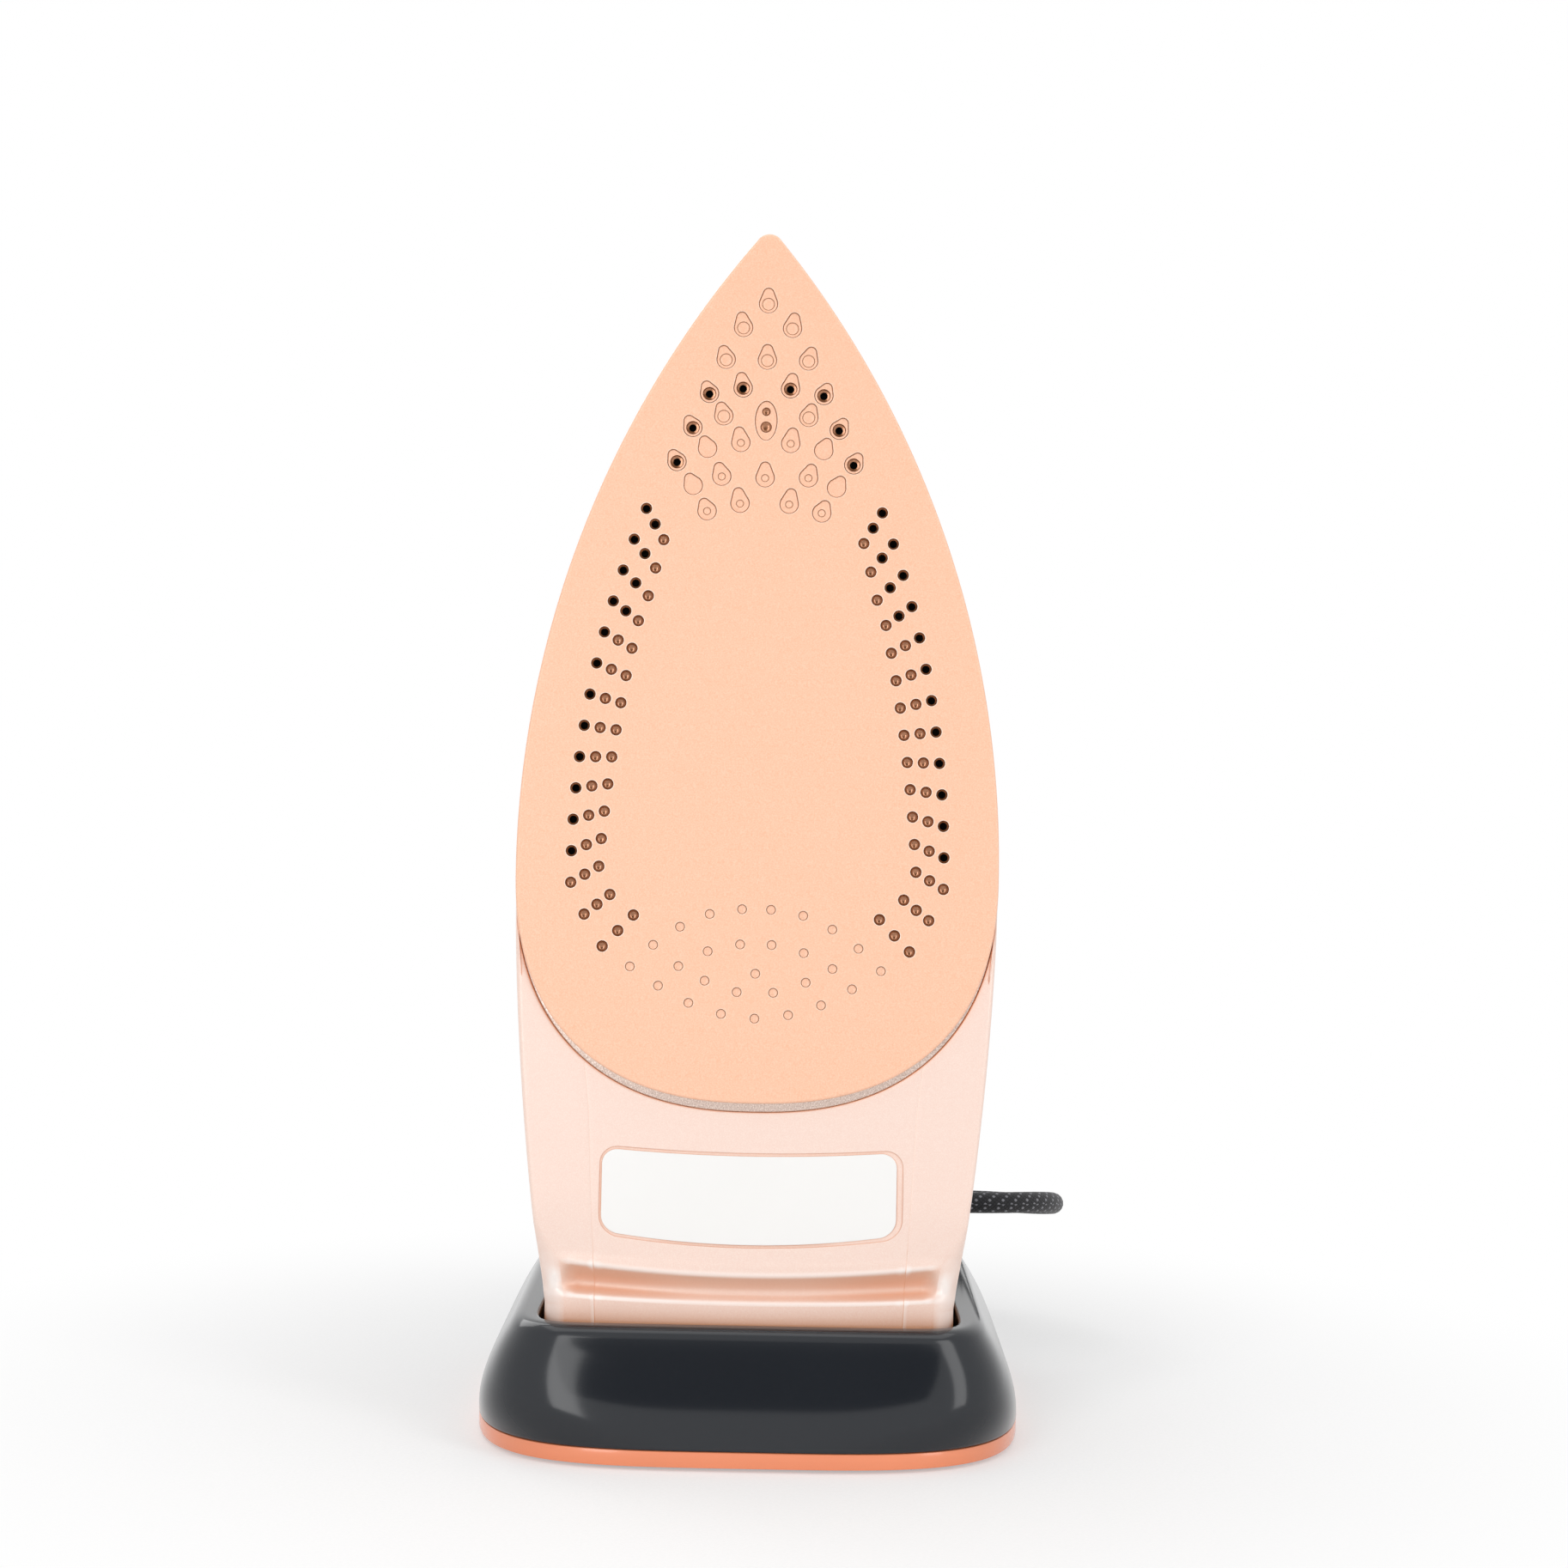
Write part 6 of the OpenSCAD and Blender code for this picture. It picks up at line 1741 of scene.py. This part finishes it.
class IRON_OT_tank(bpy.types.Operator):
    """Moulds the smoked water tank, its cover with the filler hole, and the rear housing"""
    bl_idname = "iron.tank"
    bl_label = "Tank and housing"

    def execute(self, context):
        shares = np.linspace(0, 1, 12)
        rings = [tank_ring(s, 2.3, 2.0 if s == 0 else 0) for s in shares]
        rings += [tank_ring(1, d, lift) for d, lift in ((1.9, 0.12), (0.7, 0.12), (0.35, 0.02))]
        rings += [tank_ring(s, 0.3) for s in shares[:0:-1]]
        # a raised bead marks the highest water level
        bead = ((0.83, 0.3), (0.825, 0.05), (0.81, 0.05), (0.805, 0.3))
        rings[17:17] = [tank_ring(s, d) for s, d in bead]
        rings += [tank_ring(0.02, 0.3), tank_ring(0.0, 0.55)]
        tank = bridged("tank_wall", rings)
        place_piece(tank, "iron", "smoke_clear", smoke(), "water_tank")
        foot, top = split_y(DIAL_Z) + 2.6, rim_y(DIAL_Z) - 0.5
        sleeve = turned("dial_sleeve", [(foot, 6.1), (top, 6.1), (top + 0.1, 4.1), (foot, 4.1)], 32, stand,
                        "y", DIAL_AT)
        place_piece(sleeve, "iron", "smoke_clear", smoke())

        edge = [(0.3, 0.9), (0.3, 2.0), (0.42, 2.45), (0.75, 2.8), (1.25, 2.97), (1.8, 3.0), (4.4, 3.0),
                (4.55, 2.93), (4.65, 2.75), (4.7, 2.5), (5.3, 2.5), (5.35, 2.75), (5.45, 2.93), (5.6, 3.0)]
        cover = bridged("tank_lid", [on_rim(d, lift) for d, lift in edge], smooth=None)
        y = rim_y(FILL_Z)
        bore(cover, [(y - 6, 6.0), (y + 2.2, 6.0), (y + 2.9, 6.5), (y + 7, 6.6)], "y", (0, 0, FILL_Z), 40)
        bore(cover, [(50, 4.0), (80, 4.0)], "y", DIAL_AT)
        bore(cover, [(40, 3.0), (80, 3.0)], "y", (0, 0, NEEDLE_Z), 24)
        place_piece(cover, "iron", "charcoal_gloss", gloss_black(), "tank_cover", crisp=38)
        self.housing()
        self.marks()
        return {"FINISHED"}

    def housing(self):
        """The housing behind the heel, which narrows to the handle's root."""
        turns = np.linspace(0, 2 * pi, 160, endpoint=False)

        def ring(y, hw, z0, z1):
            m, h = (z0 + z1) / 2, (z1 - z0) / 2
            r = (np.abs(np.cos(turns) / hw) ** 6 + np.abs(np.sin(turns) / h) ** 6) ** (-1 / 6)
            return at_depth(np.stack([r * np.cos(turns), level(y, m + r * np.sin(turns))], axis=1), y)

        def even(sections, n):
            """Sections close together along y, whose sizes change evenly."""
            table = np.array(sections)
            ys = np.linspace(table[0, 0], table[-1, 0], int((table[-1, 0] - table[0, 0]) / 0.8))
            weights = np.hanning(2 * n + 3)[1:-1]
            weights = weights / weights.sum()
            sizes = [np.pad(np.interp(ys, table[:, 0], table[:, k]), n, mode="edge") for k in (1, 2, 3)]
            return list(zip(ys, *(np.convolve(size, weights, mode="valid") for size in sizes)))

        trunk = even([(SKIRT_D + 0.4, 48.9, 0, 76), (60, 47.5, 0, 76), (78, 44.5, 0, 77),
                      (83.6, 42.5, 0.5, 79)], 6)
        y, hw, z0, z1 = trunk[-1]
        for a in np.radians([15, 32, 48, 64, 78, 90]):
            d = 4 * (1 - cos(a))
            trunk.append((y + 4 * sin(a), hw - d, z0 + d, z1 - d))
        root = even([(79, 34, 31.5, 74), (87.6, 33.2, 32, 79.5), (98, 29.5, 42.5, 80.5),
                     (105.6, 18, 53.5, 79.5)], 4)
        housing = joined("housing_shell", [lofted("housing_part", [ring(*row) for row in rows], smooth=40)
                                           for rows in (trunk, root)])
        well = rounded_box(-17, 58, 17, 76, 2.0)
        carve(housing, pillow("well", well, [(-0.8, -3.0), (0, 7.4), (0, 12.0)], stand))
        vents = []
        for i in range(5):
            z = 12.0 + 5.2 * i
            y = 86.4 if z < 26 else 88
            vents.append(([rounded_box(-13, z - 1, 13, z + 1, 1.0, 4)] * 3, [84.4, y - 0.6, y + 8]))
        carve(housing, cutter(vents))
        place_piece(housing, "iron", "charcoal_gloss", gloss_black(), "rear_housing", crisp=38)

    def marks(self):
        """One, two and three printed dots beside the dial, for cool, warm and hot."""
        dots = []
        for count, turn in ((1, 205), (2, 180), (3, 155)):
            for i in range(count):
                a = radians(turn + (i - (count - 1) / 2) * 5.2)
                x, z = MARKS_R * cos(a), DIAL_Z + MARKS_R * sin(a)
                y = rim_y(z) + COVER_Y
                profile = [(y - 0.2, 0.8), (y + 0.04, 0.8), (y + 0.07, 0.6)]
                dots.append(turned("dot", profile, 20, stand, "y", (x, 0, z)))
        place_piece(joined("dial_marks", dots), "iron", "white_plate", white_plate())


class IRON_OT_dial(bpy.types.Operator):
    """Moulds the temperature dial with its finger grooves and pointer"""
    bl_idname = "iron.dial"
    bl_label = "Dial"

    def execute(self, context):
        y0 = rim_y(DIAL_Z) + COVER_Y + 0.3
        turns = np.linspace(0, 2 * pi, DIAL_GROOVES * 12, endpoint=False)
        pitch = 360 / DIAL_GROOVES
        off = np.abs((np.degrees(turns) + pitch / 2) % pitch - pitch / 2)
        groove = np.clip(1 - (off / 2.4) ** 2, 0, 1) ** 0.8
        rings = []
        for r, y, deep in (
                (18, 0.1, 0), (DIAL_R - 0.5, 0, 0.5), (DIAL_R - 0.1, 0.35, 0.8), (DIAL_R, 0.9, 0.8),
                (DIAL_R, 4.2, 0.8), (DIAL_R - 0.25, 5.0, 0.75), (DIAL_R - 0.8, 5.6, 0.5),
                (DIAL_R - 1.6, 5.92, 0.15), (DIAL_R - 2.6, 6.0, 0), (15.5, 6.0, 0), (15.1, 5.9, 0),
                (14.8, 5.6, 0), (14.2, 5.4, 0), (9, 5.15, 0), (3, 5.1, 0)):
            reach = r - deep * groove
            plan = np.stack([reach * np.cos(turns), DIAL_Z + reach * np.sin(turns)], axis=1)
            rings.append(at_depth(plan, y0 + y))
        dial = lofted("dial_knob", rings, smooth=None)
        bore(dial, [(y0 - 2, 3.05), (y0 + 4.2, 3.05)], "y", DIAL_AT)
        place_piece(dial, "dial", "charcoal_gloss", gloss_black(), "temperature_dial", crisp=38)
        plan = rounded_box(-0.7, DIAL_R - 10.5, 0.7, DIAL_R - 3.4, 0.6, 4) + (0, DIAL_Z)
        pointer = pillow("dial_pointer", plan, [(0, y0 + 5.0), (0, y0 + 6.05), (0.15, y0 + 6.15)], over_sole)
        place_piece(pointer, "dial", "white_plate", white_plate())
        return {"FINISHED"}


class IRON_OT_door(bpy.types.Operator):
    """Moulds the filler door with its knuckles, and its pin in three stands"""
    bl_idname = "iron.door"
    bl_label = "Filler door"

    def execute(self, context):
        hinge_z = FILL_Z - 9
        y0 = rim_y(hinge_z) + COVER_Y + 2.4
        slope = atan((rim_y(FILL_Z - 7) - rim_y(FILL_Z + 9)) / 16)

        def hung(points):
            """Plans of (x, z) from the hinge, with heights along y, on the sloping door."""
            p = np.asarray(points, float).reshape(-1, 3)
            c, s = cos(slope), sin(slope)
            y, z = p[:, 2], p[:, 1]
            return stand(np.stack([p[:, 0], y0 + y * c - z * s, hinge_z + y * s + z * c], axis=1))

        def hung_axis(points):
            p = np.asarray(points, float)
            return hung(p[:, [0, 2, 1]])

        plan = rounded_line([(-10, 3), (10, 3), (10, 9.6), (6, 18.6), (-6, 18.6), (-10, 9.6)],
                            [0.8, 0.8, 3, 2.4, 2.4, 3], 6)
        parts = [pillow("door_lid", plan, [(0.35, -1), (0.1, -0.85), (0, -0.5), (0, 0.3), (0.12, 0.58),
                                           (0.4, 0.76), (0.8, 0.8), (1.8, 0.8), (2.0, 0.72), (2.2, 0.5),
                                           (2.8, 0.42)], hung)]
        for s in (-1, 1):
            x = s * 4.2
            profile = [(-2, 1.12), (-2, 1.7), (-1.8, 1.9), (1.8, 1.9), (2, 1.7), (2, 1.12)]
            parts.append(turned("knuckle", [(x + far, r) for far, r in profile], 28, hung_axis, "x"))
            parts.append(pillow("arm", rounded_box(x - 1.9, 0.9, x + 1.9, 3.6, 0.3, 3),
                                [(0, -0.95), (0, 0.55), (0.15, 0.7)], hung))
        for i in range(3):
            z, w = 14.6 + 1.1 * i, 3.6 - 0.5 * i
            parts.append(pillow("grip", rounded_box(-w, z - 0.25, w, z + 0.25, 0.25, 4),
                                [(0, 0.3), (0, 0.62), (0.12, 0.72)], hung))
        place_piece(joined("door_lid", parts), "filler_door", "charcoal_gloss", gloss_black(), "fill_door")

        pin = [turned("pin", [(-10, 0.7), (-9.8, 0.98), (9.8, 0.98), (10, 0.7)], 24, hung_axis, "x")]
        for x in (-8.4, 0, 8.4):
            side = rounded_box(-2.3, -1.9, 1.9, 1.2, [0.2, 1.2, 1.2, 0.2])

            def across(points, x=x):
                p = np.asarray(points, float).reshape(-1, 3)
                return hung(np.stack([p[:, 2] + x, p[:, 1], p[:, 0]], axis=1))

            pin.append(pillow("stand", side, [(0.15, -1.2), (0, -1.05), (0, 1.05), (0.15, 1.2)], across))
        place_piece(joined("door_hinge", pin), "iron", "plain_steel", steel(), "door_pin")
        return {"FINISHED"}


class IRON_OT_head(bpy.types.Operator):
    """Moulds the head with its two sprung keys, the steam slider and the spray nozzle"""
    bl_idname = "iron.head"
    bl_label = "Head and keys"

    def execute(self, context):
        low = [(rim_y(z) + COVER_Y + 0.03, z) for z in np.linspace(HEAD_TO + 3, GRIP_END, 9)]
        top = [(HEAD_TOP, GRIP_END), (HEAD_TOP, GRIP_END + 8), (HEAD_TOP - 1.5, GRIP_END + 18),
               (HEAD_TOP - 5, HEAD_TO - 9), (HEAD_TOP - 12, HEAD_TO - 3), (HEAD_TOP - 30, HEAD_TO),
               (FACE_Y, HEAD_TO + 3)]
        side = rounded_line(low + top, [2.0] * 9 + [2.6, 3, 4, 5, 6, 8, 6], 5)
        r = 1.5
        heights = [(r + 0.3, -HEAD_W / 2)]
        heights += [(r * (1 - sin(a)), -HEAD_W / 2 + r * (1 - cos(a)))
                    for a in np.radians([0, 18, 36, 54, 72, 90])]
        heights += [(d, -x) for d, x in heights[::-1]]
        head = pillow("head_case", side, heights, side_of, smooth=None)
        hollow = rounded_line([(45, HEAD_TO + 0.6), (45, GRIP_END + 2), (HEAD_TOP - 2.4, GRIP_END + 2),
                               (HEAD_TOP - 2.6, GRIP_END + 12), (HEAD_TOP - 8, HEAD_TO - 11),
                               (HEAD_TOP - 16, HEAD_TO - 6), (HEAD_TOP - 30, HEAD_TO - 2.4),
                               (FACE_Y, HEAD_TO + 0.6)], 1.5, 4)
        carve(head, pillow("hollow", hollow, [(0, -18.8), (0, 18.8)], side_of))
        for x in BUTTON_XS:
            plan = rounded_box(x - 6.8, BUTTON_Z - 8.3, x + 6.8, BUTTON_Z + 8.3, 3.2, 8)
            carve(head, pillow("opening", plan, [(0, HEAD_TOP - 12), (0, HEAD_TOP + 6)], over_sole))
        slot = rounded_box(-8.4, SLIDER_Y - 2.3, 8.4, SLIDER_Y + 2.3, 2.2, 6)
        carve(head, pillow("slot", slot, [(0, HEAD_TO - 7), (0, HEAD_TO + 6)], stand))
        bore(head, [(HEAD_TO - 7, 3.15), (HEAD_TO + 12, 3.15)], "z", (0, NOZZLE_Y, 0))
        place_piece(head, "iron", "charcoal_gloss", gloss_black(), "head_shell", crisp=38)
        self.key(BUTTON_XS[0], "spray_key", "spray_button")
        self.key(BUTTON_XS[1], "burst_key", "burst_button")
        self.slider()
        self.nozzle()
        return {"FINISHED"}

    @staticmethod
    def key(x, body, node):
        """A key with a dished top, a stem under it and three ribs across its dish."""
        def dish(z):
            """How deep the dish is at a place along the key."""
            far = np.sqrt(np.maximum(0, DISH_R ** 2 - (z - BUTTON_Z) ** 2))
            return np.clip(1.9 - (DISH_R + 2 - far - 0.2), 0, 2)

        plan = rounded_box(x - 6.5, BUTTON_Z - 8, x + 6.5, BUTTON_Z + 8, 3.0, 9)
        rings = []
        for d, y in ((0, -6), (0, 1.7), (0.08, 2.1), (0.3, 2.4), (0.65, 2.52), (1.2, 2.5), (2.6, 2.46),
                     (3.9, 2.43), (5.2, 2.41)):
            # beyond the corners' radius the outline shrinks towards the middle instead
            ring = inset(plan, min(d, 2.6)) if d else plan
            ring = (x, BUTTON_Z) + (ring - (x, BUTTON_Z)) * min(1, (6.5 - d) / 3.9)
            rings.append(at_depth(ring, HEAD_TOP + y - (dish(ring[:, 1]) if y > 0 else 0)))
        key = lofted("key_" + body, rings, smooth=None)
        even_shading(key, 40)
        stem = [(92, 4.3), (96, 4.3), (96.2, 2.2), (HEAD_TOP - 5.9, 2.2)]
        parts = [key, turned("stem", stem, 28, stand, "y", (x, 0, BUTTON_Z))]
        for i in (-1, 0, 1):
            z, w = BUTTON_Z + 2.2 * i, 2.6 - 0.5 * abs(i)
            y = HEAD_TOP + 2.42 - dish(z)
            parts.append(pillow("bar", rounded_box(x - w, z - 0.35, x + w, z + 0.35, 0.35, 4),
                                [(0, y - 0.2), (0, y + 0.4), (0.12, y + 0.55)], over_sole))
        place_piece(joined("key_" + body, parts), body, "pearl_pink", pearl_key(), node)

    @staticmethod
    def slider():
        """The steam slider: a ribbed knob on a stem through the head's slot."""
        base = face_z(SLIDER_Y - 4) + 0.4
        knob = pillow("knob", rounded_box(-10.5, SLIDER_Y - 4, -1.5, SLIDER_Y + 4, 1.4, 6),
                      [(0.25, base), (0, base + 0.25), (0, base + 1.7), (0.12, base + 2.1),
                       (0.4, base + 2.35), (0.9, base + 2.45)], stand, smooth=None)
        even_shading(knob, 40)
        parts = [knob, pillow("stem", rounded_box(-8, SLIDER_Y - 2, -4, SLIDER_Y + 2, 0.6, 4),
                              [(0, HEAD_TO - 5), (0, base + 0.1)], stand)]
        for i in range(4):
            x = -8.4 + 1.6 * i
            parts.append(pillow("rib", rounded_box(x - 0.35, SLIDER_Y - 3, x + 0.35, SLIDER_Y + 3, 0.35, 4),
                                [(0, base + 2.2), (0, base + 2.75), (0.14, base + 2.98)], stand))
        place_piece(joined("slider_knob", parts), "slider", "pearl_pink", pearl_key(), "steam_slider")

    @staticmethod
    def nozzle():
        """The spray nozzle in the head's face."""
        base = face_z(NOZZLE_Y - 4.2) + 0.2
        profile = [(HEAD_TO - 8, 0.7), (HEAD_TO - 8, 2.8), (HEAD_TO - 7.8, 3.0)]
        profile += [(base + z, r) for z, r in ((0, 3.0), (0, 4.0), (0.25, 4.2), (1.0, 3.75), (1.2, 3.45),
                                               (2.6, 2.85), (2.95, 2.6), (3.0, 2.3), (2.6, 1.5), (1.6, 0.9),
                                               (-3, 0.7))]
        nozzle = turned("nozzle_tip", profile, 40, stand, "z", (0, NOZZLE_Y, 0))
        place_piece(nozzle, "iron", "contact_brass", brass(), "spray_nozzle")


HANDLE_BEND = 16.0
HANDLE_FROM = 66.5
HANDLE_WALL = 2.0
SEAM_IN = 0.175          # the outer edges of the two halves draw in at their seam


class IRON_OT_handle(bpy.types.Operator):
    """Moulds the loop handle in two halves, with its ribbed grip, its lamp and the holes for its screws"""
    bl_idname = "iron.handle"
    bl_label = "Handle"

    def execute(self, context):
        bend, z0 = HANDLE_BEND, HANDLE_FROM
        line = [(GRIP_D - bend + bend * sin(a), z0 + bend * (1 - cos(a)), a)
                for a in np.linspace(0, pi / 2, 19)]
        line += [(GRIP_D, z, pi / 2) for z in np.linspace(z0 + bend, GRIP_END - 0.4, 30)[1:]]

        def swept(name, sign):
            """One half: its section runs round the outside and back inside the wall."""
            def arch(inside, turns):
                return [((GRIP_W / 2 - inside) * cos(f),
                         sign * max(0.12, (GRIP_T / 2 - inside) * sin(f) ** 0.8)) for f in turns]

            turns = np.radians(np.linspace(0, 180, 41))
            outer, inner = arch(0, turns), arch(HANDLE_WALL, turns[::-1])
            outer[0] = (outer[0][0] - SEAM_IN, outer[0][1])
            outer[-1] = (outer[-1][0] + SEAM_IN, outer[-1][1])
            rings = [[(u, y + v * sin(a), z - v * cos(a)) for u, v in outer + inner]
                     for y, z, a in line]
            m, n = len(rings), len(rings[0])
            faces = skin(m, n)
            # each end is a strip of faces, as the wall's section is a curved band
            for first in (0, (m - 1) * n):
                faces += [(first + i, first + i + 1, first + n - 2 - i, first + n - 1 - i)
                          for i in range(n // 2 - 1)]
            return new_piece(name, stand(np.concatenate(rings)), faces, None)

        base = swept("handle_inner", -1)
        for z in (z0 + bend + 22, GRIP_END - 26):
            y = GRIP_D - GRIP_T / 2
            bore(base, [(y - 2, 3.3), (y + 0.4, 3.1), (y + 0.75, 1.8), (y + 6, 1.7)], "y", (0, 0, z))
        place_piece(base, "iron", "charcoal_gloss", gloss_black(), "handle_base", crisp=38)
        cover = swept("handle_outer", 1)
        place_piece(cover, "iron", "charcoal_gloss", gloss_black(), "handle_cover", crisp=38)

        # the pad follows the handle's outer curve; its ribs run across it
        z_from, z_to = z0 + bend + 14, GRIP_END - 10
        zs = np.concatenate([np.linspace(z_from, z_to, 45), np.arange(z_from, z_to, 0.5)])
        rings = []
        for z in sorted(set(np.round(zs, 3))):
            near = min(z - z_from, z_to - z)
            half = 9.0 if near > 8 else sqrt(max(0.0, 1 - ((8 - near) / 8) ** 2)) * 8 + 1
            wave = 0.5 - 0.5 * cos(2 * pi * (z - z_from) / 4.0)
            rib = 0.45 * wave ** 0.5 * smoothly(near, 6, 10)
            out, back = [], []
            for t in np.linspace(-1, 1, 17):
                x = half * t
                f = acos(max(-1, min(1, x / (GRIP_W / 2))))
                y = GRIP_T / 2 * sin(f) ** 0.8
                edge = smoothly((1 - abs(t)) * half, 0, 1.1)
                ends = smoothly(near, 0, 1.1)
                y_out = y + 0.12 + (1.05 - (0.45 - rib) * (1 - t ** 4)) * edge * ends
                out.append((x, GRIP_D + y_out, z))
                back.append((x, GRIP_D + y + 0.03, z))
            rings.append(out + back[::-1])
        pad = lofted("grip_skin", rings, smooth=None)
        place_piece(pad, "iron", "soft_rubber", rubber(), "grip_pad", crisp=50)

        y = GRIP_D + GRIP_T / 2 - 0.25
        z = z0 + bend - 4.5
        profile = [(0, 2.9), (0.5, 2.98), (0.8, 2.85), (1.0, 2.4), (1.15, 1.6), (1.22, 0.7)]
        lens = turned("lamp_lens", [(y + up, r) for up, r in profile], 36, stand, "y", (0, 0, z))
        place_piece(lens, "iron", "lamp_red", lamp_red(), "indicator_lens")
        return {"FINISHED"}


# ---------- Panel and running ----------

GROUPS = ((IronColours, "iron_colours"), (IronSizes, "iron_sizes"), (StageSizes, "iron_stage"))
OPERATORS = (IRON_OT_stage, IRON_OT_cord, IRON_OT_nodes, IRON_OT_soleplate, IRON_OT_casting,
             IRON_OT_skirt, IRON_OT_plate, IRON_OT_dock, IRON_OT_module, IRON_OT_tank, IRON_OT_dial,
             IRON_OT_door, IRON_OT_head, IRON_OT_handle)


class IRON_PT_pieces(bpy.types.Panel):
    """Lists the pieces in the order in which they are built"""
    bl_idname = "IRON_PT_pieces"
    bl_label = "Cordless steam iron"
    bl_space_type = "VIEW_3D"
    bl_region_type = "UI"
    bl_category = "Iron"

    def draw(self, context):
        for kind, name in GROUPS:
            box = self.layout.box()
            for key in kind.__annotations__:
                box.prop(getattr(context.scene, name), key)
        for kind in OPERATORS:
            self.layout.operator(kind.bl_idname)


def register():
    for kind, name in GROUPS:
        bpy.utils.register_class(kind)
        setattr(bpy.types.Scene, name, PointerProperty(type=kind))
    for kind in OPERATORS:
        bpy.utils.register_class(kind)
    bpy.utils.register_class(IRON_PT_pieces)


def unregister():
    bpy.utils.unregister_class(IRON_PT_pieces)
    for kind in reversed(OPERATORS):
        bpy.utils.unregister_class(kind)
    for kind, name in reversed(GROUPS):
        delattr(bpy.types.Scene, name)
        bpy.utils.unregister_class(kind)


def main():
    register()
    for kind in OPERATORS:
        group, call = kind.bl_idname.split(".")
        getattr(getattr(bpy.ops, group), call)()


if __name__ == "__main__":
    main()
